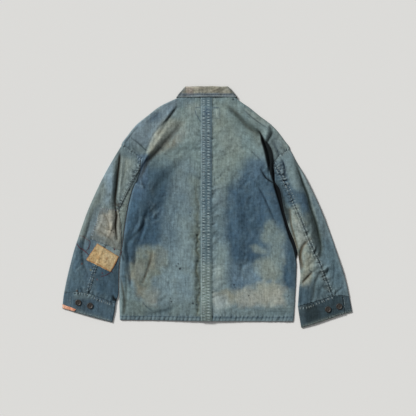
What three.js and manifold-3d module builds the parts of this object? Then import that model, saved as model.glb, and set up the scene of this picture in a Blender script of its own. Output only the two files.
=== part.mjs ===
// A patched work jacket laid flat on its front, back up. Millimetres, +Z up.
// Each cut piece of cloth is one closed solid: a wall of cloth built from sections,
// laid on the piece below with a small gap. Plan points are written in pattern units,
// measured from the picture's corner (x to the right, y down), and turned to mm by P().
import * as THREE from 'three';
import { mergeVertices } from 'three/addons/utils/BufferGeometryUtils.js';
import Module from 'manifold-3d';

const wasm = await Module();
wasm.setup();

// ---------------------------------------------------------------- driving dimensions
const UNIT = 3.2;          // mm for one pattern unit
const CX = 207.2, CY = 207.11; // pattern point that stands at the origin
const CLOTH = 1.4;         // wall of the cloth
const PATCH = 1.0;         // wall of a patch
const GAP = 0.4;           // clearance between lying pieces
const LAYER = CLOTH + GAP; // rise for each layer
const HEM_WALL = 2.6;      // turned hem
const BUTTON_D = 19.6;     // cuff button
const BUTTON_T = 3.4;
const HOLE_D = 1.9, HOLE_OFF = 1.9;  // the four sewing holes
const FRONT_BUTTON_D = 19.6;
const FRONT_BUTTON_T = 2.2;
const LAP_HALF = 20;       // half the overlap of the two fronts
const STRIP_L = 200.8, STRIP_R = 211.6; // centre seam lap, pattern units

const P = (x, y) => [(x - CX) * UNIT, (CY - y) * UNIT];
const lerp = (a, b, t) => a + (b - a) * t;
const ss = (a, b, x) => { const t = Math.min(1, Math.max(0, (x - a) / (b - a))); return t * t * (3 - 2 * t); };

// ---------------------------------------------------------------- folds
// Each fold: points [x, y, height mm], width on the left side and on the right side
// (pattern units), as seen going along the points downwards.
function foldSum(list, x, y) {
  let z = 0;
  for (const [pts, wa, wb] of list) {
    let best = 1e9, h = 0, side = 1;
    for (let i = 0; i + 1 < pts.length; i++) {
      const [ax, ay, ah] = pts[i], [bx, by, bh] = pts[i + 1];
      const dx = bx - ax, dy = by - ay, L = dx * dx + dy * dy;
      let t = ((x - ax) * dx + (y - ay) * dy) / L;
      t = Math.min(1, Math.max(0, t));
      const qx = ax + dx * t, qy = ay + dy * t;
      const d = Math.hypot(x - qx, y - qy);
      if (d < best) { best = d; h = lerp(ah, bh, t); side = dx * (y - ay) - dy * (x - ax); }
    }
    const w = side > 0 ? wa : wb;
    z += h * Math.exp(-(best / w) * (best / w));
  }
  return z;
}
const BODY_FOLDS = [
  [[[172, 112, 0], [166, 119, 1.5], [159.5, 127, 4], [155, 136, 5.5], [151, 145, 6], [147.5, 152, 5], [144.5, 159, 4], [142.8, 165, 3], [141, 172, 2], [138.8, 178, 1]], 3.5, 6],
  [[[250, 122, 0.5], [258, 133, 2.5], [262, 141, 4], [264, 149, 5], [267, 160, 5], [269.5, 172, 4.5], [272, 182, 4], [276, 196, 3], [282, 215, 2], [289, 238, 1]], 8, 9],
  [[[226, 104, -0.8], [233, 111, -1.2], [240, 118, -1.4], [247, 126, -1.2], [256, 132, -0.8]], 5, 5],
  [[[242.7, 109.2, 1], [252.2, 117.6, 1.6], [259.9, 123.4, 2], [266, 128, 2.6], [266.5, 134, 3], [265.5, 140, 2.6]], 5, 5],
  [[[147, 212, 1], [143, 228, 1.4], [137, 246, 1], [131, 276, 1.2]], 7, 8],
  [[[258, 186, 1], [267, 204, 1.3], [276, 223, 1]], 6, 8],
  [[[228, 250, 0.6], [236, 282, 1], [240, 306, 0.6]], 10, 10],
  [[[178, 160, 0.6], [172, 200, 1], [176, 250, 0.6]], 12, 12],
];
const SLEEVE_FOLDS_L = [
  [[[119.5, 153, -1.5], [118.4, 173, -2.2], [116, 195, -2], [115.4, 207, -1.2]], 4, 4],
  [[[112, 168, 1.2], [107, 190, 1.5], [104, 204, 1]], 5, 5],
  [[[101, 222, 1.4], [108, 232, 2], [116, 238, 1]], 8, 8],
  [[[87.5, 230, -0.8], [82.5, 252, -1.2], [88, 276, -0.8]], 4, 5],
];
const SLEEVE_FOLDS_R = [
  [[[295.2, 161.4, -1], [303.2, 184.6, -1.8], [310.7, 207.8, -2], [318.4, 233.3, -1.6], [320.6, 252, -0.8]], 4, 4],
  [[[289, 172, 0.8], [299, 197, 1.2], [307, 222, 1]], 5, 5],
  [[[297, 245, 1], [302, 262, 1.8], [306, 275, 1.5], [305, 290, 0.8]], 6, 6],
  [[[320, 273, -0.8], [314, 288, -1.2], [311, 302, -0.8]], 4, 4],
];

// Height of the middle of the back's cloth
const centreRise = (X) => 3.6 * (1 - ss(22, 150, Math.abs(X)));
const backZ = (x, y) => {
  const [X] = P(x, y);
  const d = Math.hypot(x - 207, y - 97), neck = 1.4 * (1 - ss(32, 47, d)), f = foldSum(BODY_FOLDS, x, y) * ss(94, 104, y);
  return 3.3 + Math.max(centreRise(X) * ss(98, 114, y), neck) + (f < 0 ? Math.max(-0.75, f) * ss(34, 46, d) : f);
};

// ---------------------------------------------------------------- solids from sections
// mid[r][c] = [x, y, z] of the middle of the wall; t = wall, number or function of (r, c)
function wall(mid, t) {
  const R = mid.length, C = mid[0].length;
  const T = typeof t === 'function' ? t : () => t;
  const pos = [];
  const nrm = [];
  const v = (p) => new THREE.Vector3(...p);
  for (let r = 0; r < R; r++) {
    for (let c = 0; c < C; c++) {
      const a = v(mid[Math.max(0, r - 1)][c]), b = v(mid[Math.min(R - 1, r + 1)][c]);
      const d = v(mid[r][Math.max(0, c - 1)]), e = v(mid[r][Math.min(C - 1, c + 1)]);
      // a face's own direction on each side of a sharp turn, averaged
      const n = new THREE.Vector3();
      const add = (p, q, s, u) => { const k = q.clone().sub(p).cross(u.clone().sub(s)); if (k.length() > 1e-9) n.add(k.normalize()); };
      const here = v(mid[r][c]);
      if (c > 0) add(a, b, v(mid[r][c - 1]), here);
      if (c < C - 1) add(a, b, here, v(mid[r][c + 1]));
      add(a, b, d, e);
      n.normalize();
      nrm.push(n);
    }
  }
  for (const s of [0.5, -0.5]) {
    for (let r = 0; r < R; r++) for (let c = 0; c < C; c++) {
      const n = nrm[r * C + c], h = T(r, c) * s;
      pos.push(mid[r][c][0] + n.x * h, mid[r][c][1] + n.y * h, mid[r][c][2] + n.z * h);
    }
  }
  const idx = [], N = R * C;
  for (let r = 0; r + 1 < R; r++) for (let c = 0; c + 1 < C; c++) {
    const a = r * C + c, b = a + 1, d = a + C, e = d + 1;
    idx.push(a, d, b, b, d, e);
    idx.push(N + a, N + b, N + d, N + b, N + e, N + d);
  }
  for (let c = 0; c + 1 < C; c++) {
    const a = c, b = c + 1, g = (R - 1) * C + c, h = g + 1;
    idx.push(a, b, N + a, b, N + b, N + a);
    idx.push(g, N + g, h, h, N + g, N + h);
  }
  for (let r = 0; r + 1 < R; r++) {
    const a = r * C, b = a + C, g = a + C - 1, h = g + C;
    idx.push(a, N + a, b, b, N + a, N + b);
    idx.push(g, h, N + g, h, N + h, N + g);
  }
  return orient(pos, idx);
}
function orient(pos, idx) {
  let vol = 0;
  for (let i = 0; i < idx.length; i += 3) {
    const [a, b, c] = [idx[i] * 3, idx[i + 1] * 3, idx[i + 2] * 3];
    vol += pos[a] * (pos[b + 1] * pos[c + 2] - pos[b + 2] * pos[c + 1])
      - pos[a + 1] * (pos[b] * pos[c + 2] - pos[b + 2] * pos[c])
      + pos[a + 2] * (pos[b] * pos[c + 1] - pos[b + 1] * pos[c]);
  }
  if (vol < 0) for (let i = 0; i < idx.length; i += 3) [idx[i], idx[i + 1]] = [idx[i + 1], idx[i]];
  const g = new THREE.BufferGeometry();
  g.setAttribute('position', new THREE.Float32BufferAttribute(pos, 3));
  g.setIndex(idx);
  return g;
}
// height of the top of a geometry's facets at a point in plan
function topOf(geos, X, Y) {
  let z = -1e9;
  for (const g of geos) {
    const p = g.attributes.position.array, ix = g.index.array;
    for (let i = 0; i < ix.length; i += 3) {
      const a = ix[i] * 3, b = ix[i + 1] * 3, c = ix[i + 2] * 3;
      const d = (p[b + 1] - p[c + 1]) * (p[a] - p[c]) + (p[c] - p[b]) * (p[a + 1] - p[c + 1]);
      if (Math.abs(d) < 1e-9) continue;
      const u = ((p[b + 1] - p[c + 1]) * (X - p[c]) + (p[c] - p[b]) * (Y - p[c + 1])) / d;
      const w = ((p[c + 1] - p[a + 1]) * (X - p[c]) + (p[a] - p[c]) * (Y - p[c + 1])) / d;
      const q = 1 - u - w;
      if (u < -1e-6 || w < -1e-6 || q < -1e-6) continue;
      z = Math.max(z, u * p[a + 2] + w * p[b + 2] + q * p[c + 2]);
    }
  }
  return z;
}
// cells between guide points: [[x,y],...] and counts -> points
function fill(guides, counts) {
  const out = [guides[0]];
  counts.forEach((n, k) => {
    for (let i = 1; i <= n; i++) out.push([lerp(guides[k][0], guides[k + 1][0], i / n), lerp(guides[k][1], guides[k + 1][1], i / n)]);
  });
  return out;
}
const unit = (a, b) => { const d = Math.hypot(b[0] - a[0], b[1] - a[1]); return [(b[0] - a[0]) / d, (b[1] - a[1]) / d]; };

// ---------------------------------------------------------------- the back
// rows: [y at the centre, edge x, edge y, roll 0..1]  (roll: the edge turns down round the fold)
const LEFT_ROWS = [
  [93.4, 181.4, 93.8, 0.2], [98.6, 177.3, 98.2, 0.3], [102.2, 172.2, 100.6, 1], [109, 160, 106.6, 1], [119, 148.2, 115.6, 1],
  [129, 136.4, 125.2, 1], [139, 127.9, 135.6, 1], [148, 121.6, 145.4, 1], [155, 131.7, 151.1, 0],
  [163, 141.2, 157.9, 0], [171, 142.2, 163.2, 0.4], [179, 140.9, 171, 1], [187, 137.8, 180.2, 1], [199, 132.6, 190.4, 1],
  [213, 128.7, 205, 1], [230, 125.9, 221, 1], [248, 123.2, 240, 1], [266, 120.5, 261, 1], [285, 119.6, 283, 1],
  [304, 119.6, 303, 1], [315.4, 119.9, 314, 1], [320.9, 120.2, 319.7, 1],
];
// rows on the right: centre y, lip, bottom of the deep fold, far lip, edge x y, roll, depth 0..1
const RIGHT_ROWS = [
  [93.4, 222, 93.4, 224, 93.4, 226, 93.5, 233.2, 94.1, 0.2, 0],
  [98.6, 222, 99, 224.2, 99, 226.6, 98.9, 237.0, 98.9, 0.3, 0],
  [102.6, 224.6, 103.6, 227, 103.4, 229.6, 102.8, 241.6, 102.6, 1, 0],
  [109, 229, 109.4, 231.5, 109, 234, 108.4, 248.6, 107.3, 1, 0],
  [118, 238, 118.7, 240.5, 118, 243, 117, 259.6, 116.2, 1, 0],
  [127, 247.5, 127.2, 250.5, 126.6, 254, 125, 270.4, 124.3, 1, 0.15],
  [134, 259, 133.7, 260.8, 133.2, 262.7, 132.6, 277.6, 131.7, 1, 0.75],
  [141, 261.6, 141.1, 263.8, 140.7, 266, 140.2, 284.1, 140.4, 1, 1],
  [149, 263.7, 148.7, 266.5, 148.3, 269.5, 147.8, 289.6, 148.7, 1, 1],
  [157, 265.9, 156.6, 269, 156.1, 272, 155.4, 280.1, 155.8, 0, 1],
  [165, 267.9, 164.6, 269.6, 164.2, 271.2, 163.6, 272.6, 162.9, 0.6, 1],
];
const RIGHT_EDGE = [ // centre y, edge x, edge y below the underarm
  [174, 270.7, 173.4], [183, 273, 182], [194, 276.8, 193.6], [207, 280.3, 206.4], [221, 284.2, 220.6],
  [236, 288.8, 235.6], [250, 293.8, 249], [266, 296.3, 265.4], [285, 295.6, 284.6], [304, 294.6, 303.8],
  [315.4, 293.8, 315.2], [321, 293.2, 321.4],
];
const HEM_ROWS = 2; // last rows are the turned hem

// three points that turn the edge down round the fold
function rollEdge(inner, edge, roll, zf) {
  const n = unit(inner, edge);
  const at = (d) => [edge[0] - n[0] * d / UNIT, edge[1] - n[1] * d / UNIT];
  const a = at(3.2), b = at(1.3), c = at(CLOTH / 2);
  const za = zf(a[0], a[1]);
  return [
    [...P(...a), za],
    [...P(...b), za - roll * Math.min(0.8, 0.25 * (za - 1.0))],
    [...P(...c), za - roll * (za - 1.05)],
  ];
}
function backLeft() {
  const last = LEFT_ROWS.length - 1;
  return wall(LEFT_ROWS.map(([yc, ex, ey, roll], r) => {
    const g0 = [STRIP_R - 1.1, yc], g1 = [STRIP_L - 0.4, yc], edge = [ex, ey];
    const lift = r > last - HEM_ROWS ? (HEM_WALL - CLOTH) / 2 : 0;
    const zf = (x, y) => backZ(x, y) + lift;
    const pts = fill([g0, g1], [2]);
    const K = 11, n = unit(g1, edge), L = Math.hypot(edge[0] - g1[0], edge[1] - g1[1]) - 1.6;
    for (let i = 1; i < K; i++) {
      const f = 1 - Math.pow(1 - i / K, 1.25);
      pts.push([g1[0] + n[0] * L * f, g1[1] + n[1] * L * f]);
    }
    return [...pts.map(([x, y]) => [...P(x, y), zf(x, y)]), ...rollEdge(g1, edge, roll, zf)];
  }), (r, c) => (r > last - HEM_ROWS && c < 14 ? HEM_WALL : CLOTH));
}
function backRight() {
  const rows = [];
  const strip = (yc, lift) => [[STRIP_L, yc], [(STRIP_L + STRIP_R) / 2, yc], [STRIP_R, yc], [STRIP_R + 1.7, yc]].map(([x, y], i) =>
    [...P(x, y), backZ(x, y) + (i < 3 ? (lift > 0 ? HEM_WALL + GAP : LAYER) : 0) + lift]);
  for (const [yc, lx, ly, bx, by, rx, ry, ex, ey, roll, deep] of RIGHT_ROWS) {
    const row = strip(yc, 0), g2 = [STRIP_R + 1.7, yc], lip = [lx, ly];
    for (const [x, y] of fill([g2, lip], [7]).slice(1)) row.push([...P(x, y), backZ(x, y)]);
    const zb = backZ(bx, by);
    row.push([...P(bx, by), lerp(zb, 2.6, deep)]);
    const far = [rx, ry], edge = [ex, ey], n = unit(far, edge), L = Math.hypot(ex - rx, ey - ry);
    const inset = Math.min(1.6, L * 0.55);
    for (const [x, y] of fill([far, [ex - n[0] * inset, ey - n[1] * inset]], [4]).slice(0, 4)) row.push([...P(x, y), backZ(x, y) - (deep > 0.9 ? 0.8 : 0)]);
    const k = Math.min(1, L / 1.9);
    const at = (d) => [ex - n[0] * d * k / UNIT, ey - n[1] * d * k / UNIT];
    const a = at(3.2), b = at(1.4), c = at(CLOTH / 2), za = backZ(...a) - (deep > 0.9 ? 0.8 : 0);
    row.push([...P(...a), za], [...P(...b), za - roll * Math.min(0.8, 0.25 * (za - 1.05))], [...P(...c), za - roll * (za - 1.05)]);
    rows.push(row);
  }
  const last = RIGHT_EDGE.length - 1;
  RIGHT_EDGE.forEach(([yc, ex, ey], r) => {
    const lift = r > last - HEM_ROWS ? (HEM_WALL - CLOTH) / 2 : 0;
    const row = strip(yc, lift), g2 = [STRIP_R + 1.7, yc], edge = [ex, ey], n = unit(g2, edge);
    const zf = (x, y) => backZ(x, y) + lift;
    const at = (d) => [ex - n[0] * d / UNIT, ey - n[1] * d / UNIT];
    for (const [x, y] of fill([g2, at(11)], [9]).slice(1)) row.push([...P(x, y), zf(x, y)]);
    // the last cells roll over the side fold
    const za = zf(...at(4));
    const zs = [[8.2, 0], [6.2, 0], [4.4, 0], [3.1, 0.06], [1.5, 0.25], [CLOTH / 2, 1]];
    for (const [d, f] of zs) row.push([...P(...at(d)), za - f * (za - 1.05)]);
    rows.push(row);
  });
  const R = rows.length, C = rows[0].length;
  for (const r of rows) if (r.length !== C) throw new Error('row length ' + r.length + ' ' + C);
  return wall(rows, (r, c) => (r > R - 1 - HEM_ROWS && c < C - 2 ? HEM_WALL : CLOTH));
}

// ---------------------------------------------------------------- the fronts (below)
// the neck raises them over the collar's fall, the middle over the buttons
const frontZ = (x, y, side) => {
  const [X] = P(x, y);
  const neck = 2.0 * (1 - ss(0.8, 1.2, Math.hypot((x - 207) / 37, (y - 97) / 37)));
  const mid = side < 0
    ? 2.6 * ss(-50, -24, X)                                    // laps on the buttons
    : (2.6 + LAYER) * (1 - ss(23, 52, X));
  return 0.7 + Math.max(mid, neck + (side > 0 && X < 22 ? LAYER : 0));
};
const FRONT_L = [ // centre y, neck-side guide x y, edge x y
  [119.6, 190, 114.6, 181.4, 101.0], [126, 186, 122.5, 172.6, 102.0], [134, 180, 128, 160.6, 107.9], [143, 176, 137, 148.8, 117],
  [151, 172, 144, 137.1, 126.5], [158, 170, 150, 128.7, 136.9], [164, 168, 156, 125.2, 147.4], [169, 168, 161, 131.9, 151.6],
  [174, 168, 166, 141.3, 158.6], [181, 168, 172, 143.0, 163.6], [188, 168, 180, 141.7, 171.4], [196, 167, 189, 138.6, 180.6], [206, 166, 200, 133.4, 191],
  [219, 165, 213, 129.5, 205.4], [236, 163, 230, 126.7, 221.4], [253, 162, 248, 124, 240.4], [270, 160, 266, 121.2, 261.2],
  [288, 160, 285, 120.4, 283], [304, 160, 303, 120.4, 303], [320.4, 160, 319.9, 121, 319.4],
];
const FRONT_R = [
  [119.6, 224, 114.6, 232.4, 101.2], [126, 228, 122.5, 239.4, 103.2], [134, 234, 128, 248, 108.6], [143, 240, 136, 258.8, 117.4],
  [151, 244, 142, 269.6, 125.5], [158, 246, 148, 276.8, 132.7], [164, 247, 154, 283.3, 141.3], [169, 248, 160, 286.6, 150.0],
  [174, 248, 166, 279.9, 156.3], [181, 248, 172, 272.4, 163.4], [188, 248, 180, 270, 173.8], [196, 250, 189, 272.3, 182.4], [206, 252, 200, 276, 193.9],
  [219, 254, 213, 279.5, 206.7], [236, 256, 230, 283.4, 220.9], [253, 258, 248, 288, 235.9], [270, 258, 266, 293, 249.3],
  [288, 258, 285, 295.5, 265.6], [304, 258, 303, 294, 303.8], [320.6, 258, 320.6, 292.5, 320.9],
];
function front(rowsIn, side) {
  const lap = LAP_HALF / UNIT;
  return wall(rowsIn.map(([yc, gx, gy, ex, ey]) => {
    const c0 = 207 - side * lap, c1 = 207 + side * (lap + 1.3), c2 = 207 + side * 16.6;
    const pts = fill([[c0, yc], [c1, yc], [c2, yc - (yc < 130 ? 3.2 : 1.5)], [gx, gy], [ex, ey]], [2, 2, 1, 3]);
    return pts.map(([x, y]) => [...P(x, y), frontZ(x, y, side)]);
  }), CLOTH);
}

// ---------------------------------------------------------------- sleeves
// rows of plan points across the flattened tube: outer fold O, a point M, the back seam S, inner fold I
const SLEEVE_L = [
  [[121.1, 146.2], [131.2, 151.7], [140.7, 158.6], [141.5, 163.2]],
  [[113.5, 158.8], [126, 163.2], [138.8, 167.5], [140.2, 171]],
  [[107.2, 169.8], [121, 172.6], [134.6, 175.3], [137.1, 180.2]],
  [[101.5, 180.6], [116, 182.4], [130, 184.2], [132.1, 189.4]],
  [[95.6, 193], [110, 194], [124.6, 195], [129.6, 199]],
  [[91, 203.2], [105, 204.4], [119.4, 205.6], [127.4, 208.6]],
  [[86.5, 214], [101, 214.8], [115.8, 215.6], [125.7, 218]],
  [[82, 226.6], [96.5, 227.3], [111, 228], [124, 229.4]],
  [[78, 238.6], [92, 239.6], [106, 240.6], [122.2, 241.8]],
  [[74.1, 250.6], [87.5, 251.5], [101, 252.4], [120.4, 253.6]],
  [[70.8, 263.1], [83.5, 263.8], [96.2, 264.6], [119.2, 266.5]],
  [[67.6, 276], [80, 276], [92.4, 276], [118.6, 279.5]],
  [[65.2, 287.4], [77, 286], [89.4, 287], [118.5, 292.5]],
  [[64.2, 292.6], [76, 291], [88, 292.6], [115.9, 302.6]],
];
const SLEEVE_R = [
  [[289.9, 149.6], [280.5, 156.6], [274.4, 163.4], [272.9, 164.8]],
  [[295.3, 159.8], [286.5, 165], [277.6, 170.5], [274.6, 172.6]],
  [[301.2, 169.8], [291.5, 174], [281.8, 178.2], [276.4, 180.3]],
  [[307.3, 181.2], [297, 184.4], [286.4, 187.6], [279.8, 189.4]],
  [[313, 192.7], [302, 195.4], [291, 198.2], [282.2, 200.6]],
  [[317.6, 202.6], [306.5, 205], [295.4, 207.4], [283.9, 210]],
  [[322.4, 213.6], [311, 215.3], [299.6, 217], [286.4, 219.5]],
  [[327.2, 225.6], [315.8, 227.2], [304.4, 228.8], [290, 230.6]],
  [[331.6, 237.6], [320.3, 238.9], [309, 240.2], [294.4, 241.5]],
  [[335.7, 249.6], [324.8, 250.8], [314, 251.9], [297.6, 252.8]],
  [[339.7, 261.8], [329.5, 261.9], [319.2, 262], [299.4, 264.5]],
  [[343.6, 273.4], [333.9, 273.9], [324.2, 274.4], [300.3, 275.5]],
  [[346.6, 284.6], [337.6, 285], [328.6, 285.4], [299.1, 288]],
  [[349, 296.2], [341, 294.6], [332.2, 296], [297.8, 306.2]],
];
const SEAM_UNDER = 0.62; // hidden seam below, as a part of the way from O to I
function pathOf(row) {
  const q = row.map(([x, y]) => P(x, y));
  const cum = [0];
  for (let i = 1; i < q.length; i++) cum.push(cum[i - 1] + Math.hypot(q[i][0] - q[i - 1][0], q[i][1] - q[i - 1][1]));
  const total = cum[cum.length - 1];
  const at = (s) => {
    s = Math.min(total, Math.max(0, s));
    let i = 1; while (i < q.length - 1 && s > cum[i]) i++;
    const f = (s - cum[i - 1]) / (cum[i] - cum[i - 1]);
    return [lerp(q[i - 1][0], q[i][0], f), lerp(q[i - 1][1], q[i][1], f)];
  };
  return { at, total, seam: cum[2] };
}
const toPattern = ([X, Y]) => [X / UNIT + CX, CY - Y / UNIT];
const BOTTOM = 0.7;
// middle height of the top wall at distance s along a row
function sleeveTop(rows, folds, r, s, path) {
  const [x, y] = toPattern(path.at(s));
  const f = s / path.total, R = rows.length - 1;
  const start = Math.max(0, 1 - r / 2), end = Math.max(0, 1 - (R - r) / 2);
  const puff = Math.sqrt(Math.max(0, 4 * f * (1 - f)));
  const free = 3.3 + 2.4 * puff + Math.max(-2, foldSum(folds, x, y)) * (1 - start) * (1 - end);
  const atBody = Math.min(backZ(x, y), 4.6), atCuff = 4.3 + 0.6 * puff;
  return Math.max(3.1, free * (1 - start) * (1 - end) + atBody * start + atCuff * end);
}
function sleevePanel(rows, folds, upper) {
  return wall(rows.map((row, r) => {
    const path = pathOf(row), L = path.total, F = L * SEAM_UNDER, S = path.seam, half = CLOTH / 2;
    const z = (s) => sleeveTop(rows, folds, r, s, path);
    const out = [];
    const put = (s, h) => out.push([...path.at(s), h]);
    if (upper) {
      const S1 = S - 0.25, top = z(3), R = Math.min((top - BOTTOM) / 2, 2.2);
      for (const f of [0, 0.33, 0.66, 1]) put(lerp(F - 0.25, half + R + 1.2, f), BOTTOM);
      put(half + R * 0.35, BOTTOM + R * 0.35); put(half, (BOTTOM + top) / 2); put(half + R * 0.35, top - R * 0.35);
      for (const f of [0, 0.2, 0.4, 0.6, 0.8, 1]) { const s = lerp(half + R + 1.2, S1, f); put(s, z(s)); }
    } else {
      const S0 = S + 0.25, room = L - S0, top = z(L - 3), R = Math.min((top - BOTTOM) / 2, 2.2, room * 0.3);
      for (const f of [0, 0.5, 1]) put(lerp(F + 0.25, L - half - R - Math.min(1.2, room * 0.1), f), BOTTOM);
      put(L - half - R * 0.35, BOTTOM + R * 0.35); put(L - half, (BOTTOM + top) / 2); put(L - half - R * 0.35, top - R * 0.35);
      for (const f of [0, 0.33, 0.66, 1]) { const s = lerp(L - half - R - Math.min(1.2, room * 0.1), S0, f); put(s, z(s)); }
    }
    return out;
  }), CLOTH);
}

// ---------------------------------------------------------------- cuffs
// rows from the sleeve to the edge; each: outer fold, inner fold, lap end
const CUFF_L = [
  [[64.0, 293.2], [76, 291.7], [88, 293.3], [115.7, 303.2]],
  [[63.2, 299.4], [76, 299.4], [90, 301.9], [115.0, 309.9]],
  [[62.4, 308.3], [74.1, 311.7], [93.3, 317.2], [112.5, 322.3]],
];
const CUFF_R = [
  [[349.2, 296.8], [341, 295.3], [332.2, 296.7], [297.9, 306.9]],
  [[350.7, 304.6], [341, 304.3], [325.5, 308.6], [299.1, 315.4]],
  [[352, 311.7], [341, 314.6], [320.6, 321.9], [301.2, 327.8]],
];
const LAP_END = [9.4, 7.4, 9.8]; // pattern units from the outer fold, left and right
function cuff(rows, lapAt) {
  return wall(rows.map((row) => {
    const path = pathOf(row), L = path.total, half = CLOTH / 2;
    const out = [];
    const put = (s, h) => out.push([...path.at(s), h]);
    const lap = lapAt * UNIT, under = lap + 16;
    const zLap = 5.1, zUnder = 3.3, zIn = 4.0;
    for (const f of [0, 0.2, 0.4, 0.6, 0.8, 1]) { const s = lerp(lap, L - 3.2, f); put(s, lerp(zLap, zIn, ss(0.3, 1, f))); }
    put(L - half - 0.6, zIn - 0.6); put(L - half, (zIn + BOTTOM) / 2); put(L - half - 0.6, BOTTOM + 0.6);
    for (const f of [0, 0.33, 0.66, 1]) put(lerp(L - 3.2, 3.2, f), BOTTOM);
    put(half + 0.5, BOTTOM + 0.5); put(half, (zUnder + BOTTOM) / 2); put(half + 0.5, zUnder - 0.5);
    for (const f of [0, 0.5, 1]) put(lerp(3.2, under, f), zUnder);
    return out;
  }), CLOTH);
}

// ---------------------------------------------------------------- collar
// loops round the neck, from the stand's lower edge, over the fold, to the fall's edge
// each: y at the back, x of the left turn and of the right turn, z behind, z in front,
// y of the front at the centre, half opening in front (pattern units)
const LOOPS = [
  [92.9, 181.6, 233.0, 4.45, 2.6, 117.0, 2.2],
  [90.2, 183.0, 231.6, 4.45, 2.6, 111.5, 2.2],
  [87.9, 184.4, 230.2, 4.6, 2.5, 108.5, 2.3],
  [86.65, 184.8, 229.9, 5.6, 1.6, 107.0, 2.4],
  [87.7, 183.6, 231.1, 6.6, 0.75, 108.5, 3.0],
  [90.5, 181.4, 233.4, 6.65, 0.7, 112.5, 4.5],
  [94.0, 178.6, 236.1, 6.65, 0.7, 119.0, 7.0],
  [97.3, 176.2, 238.4, 6.65, 0.7, 127.0, 11.0],
];
function collar() {
  return wall(LOOPS.map(([yb, xl, xr, zb, zf, yf, open]) => {
    const out = [], xc = 207;
    const put = (x, y, z) => out.push([...P(x, y), z]);
    const r = (zb - zf) / 2, zc = (zb + zf) / 2, k = Math.max(0.3, r * 0.5) / UNIT;
    const frontY = (x) => { const f = (x - xc) / (x < xc ? xc - xl : xr - xc); return lerp(yf, yb + 0.5, Math.pow(Math.abs(f), 1.7)); };
    const h = CLOTH / 2 / UNIT;
    for (const f of [0, 0.3, 0.55, 0.78, 0.92, 1]) { const x = lerp(xc - open, xl + k + h, f); put(x, frontY(x), zf); }
    put(xl + h + k * 0.25, yb + 0.4, zc - r * 0.62); put(xl + h, yb + 0.25, zc); put(xl + h + k * 0.25, yb + 0.1, zc + r * 0.62);
    // the fall rises over the lapped centre seam
    const over = (x) => (zb > 6 ? 1.7 * Math.min(1 - ss(STRIP_L - 1, STRIP_L - 8, x), 1 - ss(STRIP_R + 3, STRIP_R + 10, x)) : 0);
    for (const x of [xl + k + h, 188.5, 193.5, 198.8, 206.2, 214.2, 219.5, 224.5, xr - k - h]) put(x, yb, zb + over(x));
    put(xr - h - k * 0.25, yb + 0.1, zc + r * 0.62); put(xr - h, yb + 0.25, zc); put(xr - h - k * 0.25, yb + 0.4, zc - r * 0.62);
    for (const f of [1, 0.92, 0.78, 0.55, 0.3, 0]) { const x = lerp(xc + open, xr - k - h, f); put(x, frontY(x), zf); }
    return out;
  }), CLOTH);
}

// ---------------------------------------------------------------- patches
// four edges given by guide points; the solid lies on the cloth below it
function patch(topPts, botPts, nu, nv, under, t, lift = GAP) {
  const along = (pts, f) => {
    const s = f * (pts.length - 1), i = Math.min(pts.length - 2, Math.floor(s));
    return [lerp(pts[i][0], pts[i + 1][0], s - i), lerp(pts[i][1], pts[i + 1][1], s - i)];
  };
  const mid = [];
  for (let r = 0; r <= nv; r++) {
    const row = [];
    for (let c = 0; c <= nu; c++) {
      const a = along(topPts, c / nu), b = along(botPts, c / nu);
      const [X, Y] = P(lerp(a[0], b[0], r / nv), lerp(a[1], b[1], r / nv));
      let z = -1e9;
      for (const [dx, dy] of [[0, 0], [3, 0], [-3, 0], [0, 3], [0, -3], [5, 5], [-5, 5], [5, -5], [-5, -5]]) z = Math.max(z, topOf(under, X + dx, Y + dy));
      row.push([X, Y, z + lift + t / 2]);
    }
    mid.push(row);
  }
  return wall(mid, t);
}

// ---------------------------------------------------------------- buttons
const solidOf = (g) => new wasm.Manifold(new wasm.Mesh({
  numProp: 3, vertProperties: new Float32Array(g.attributes.position.array), triVerts: new Uint32Array(g.index.array),
}));
const bare = (g) => { g.deleteAttribute('normal'); g.deleteAttribute('uv'); return mergeVertices(g, 1e-4); };
// a rimmed button with a dished face, drilled with four holes
function button(d, t, under) {
  const r = d / 2, N = 16;
  // rings: outer wall, rim and dish, drawn as a turned profile with the holes left to the face
  const prof = [[0, 0], [r * 0.82, 0], [r, t * 0.3], [r, t * 0.75], [r * 0.93, t], [r * 0.74, t], [r * 0.62, t * 0.72], [0, t * 0.72]];
  const pos = [], idx = [];
  const ring = [];
  for (const [pr, pz] of prof) {
    if (pr === 0) { ring.push([pos.length / 3]); pos.push(0, 0, pz); continue; }
    const ids = [];
    for (let i = 0; i < N; i++) { const a = (i / N) * Math.PI * 2; ids.push(pos.length / 3); pos.push(pr * Math.cos(a), pr * Math.sin(a), pz); }
    ring.push(ids);
  }
  for (let k = 0; k + 1 < ring.length; k++) {
    const A = ring[k], B = ring[k + 1];
    for (let i = 0; i < N; i++) {
      const j = (i + 1) % N;
      if (A.length === 1) idx.push(A[0], B[j], B[i]);
      else if (B.length === 1) idx.push(A[i], A[j], B[0]);
      else idx.push(A[i], A[j], B[j], A[i], B[j], B[i]);
    }
  }
  let s = solidOf(orient(pos, idx));
  for (const [sx, sy] of [[1, 1], [1, -1], [-1, 1], [-1, -1]]) {
    const hole = bare(new THREE.CylinderGeometry(HOLE_D / 2, HOLE_D / 2, t * 3, 6));
    hole.rotateX(Math.PI / 2);
    hole.translate(sx * HOLE_OFF, sy * HOLE_OFF, t / 2);
    s = s.subtract(solidOf(hole));
  }
  const m = s.getMesh(), v = [];
  for (let i = 0; i < m.numVert; i++) v.push(...[0, 1, 2].map((k) => m.vertProperties[i * m.numProp + k]));
  return orient(v, [...m.triVerts]);
}

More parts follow.
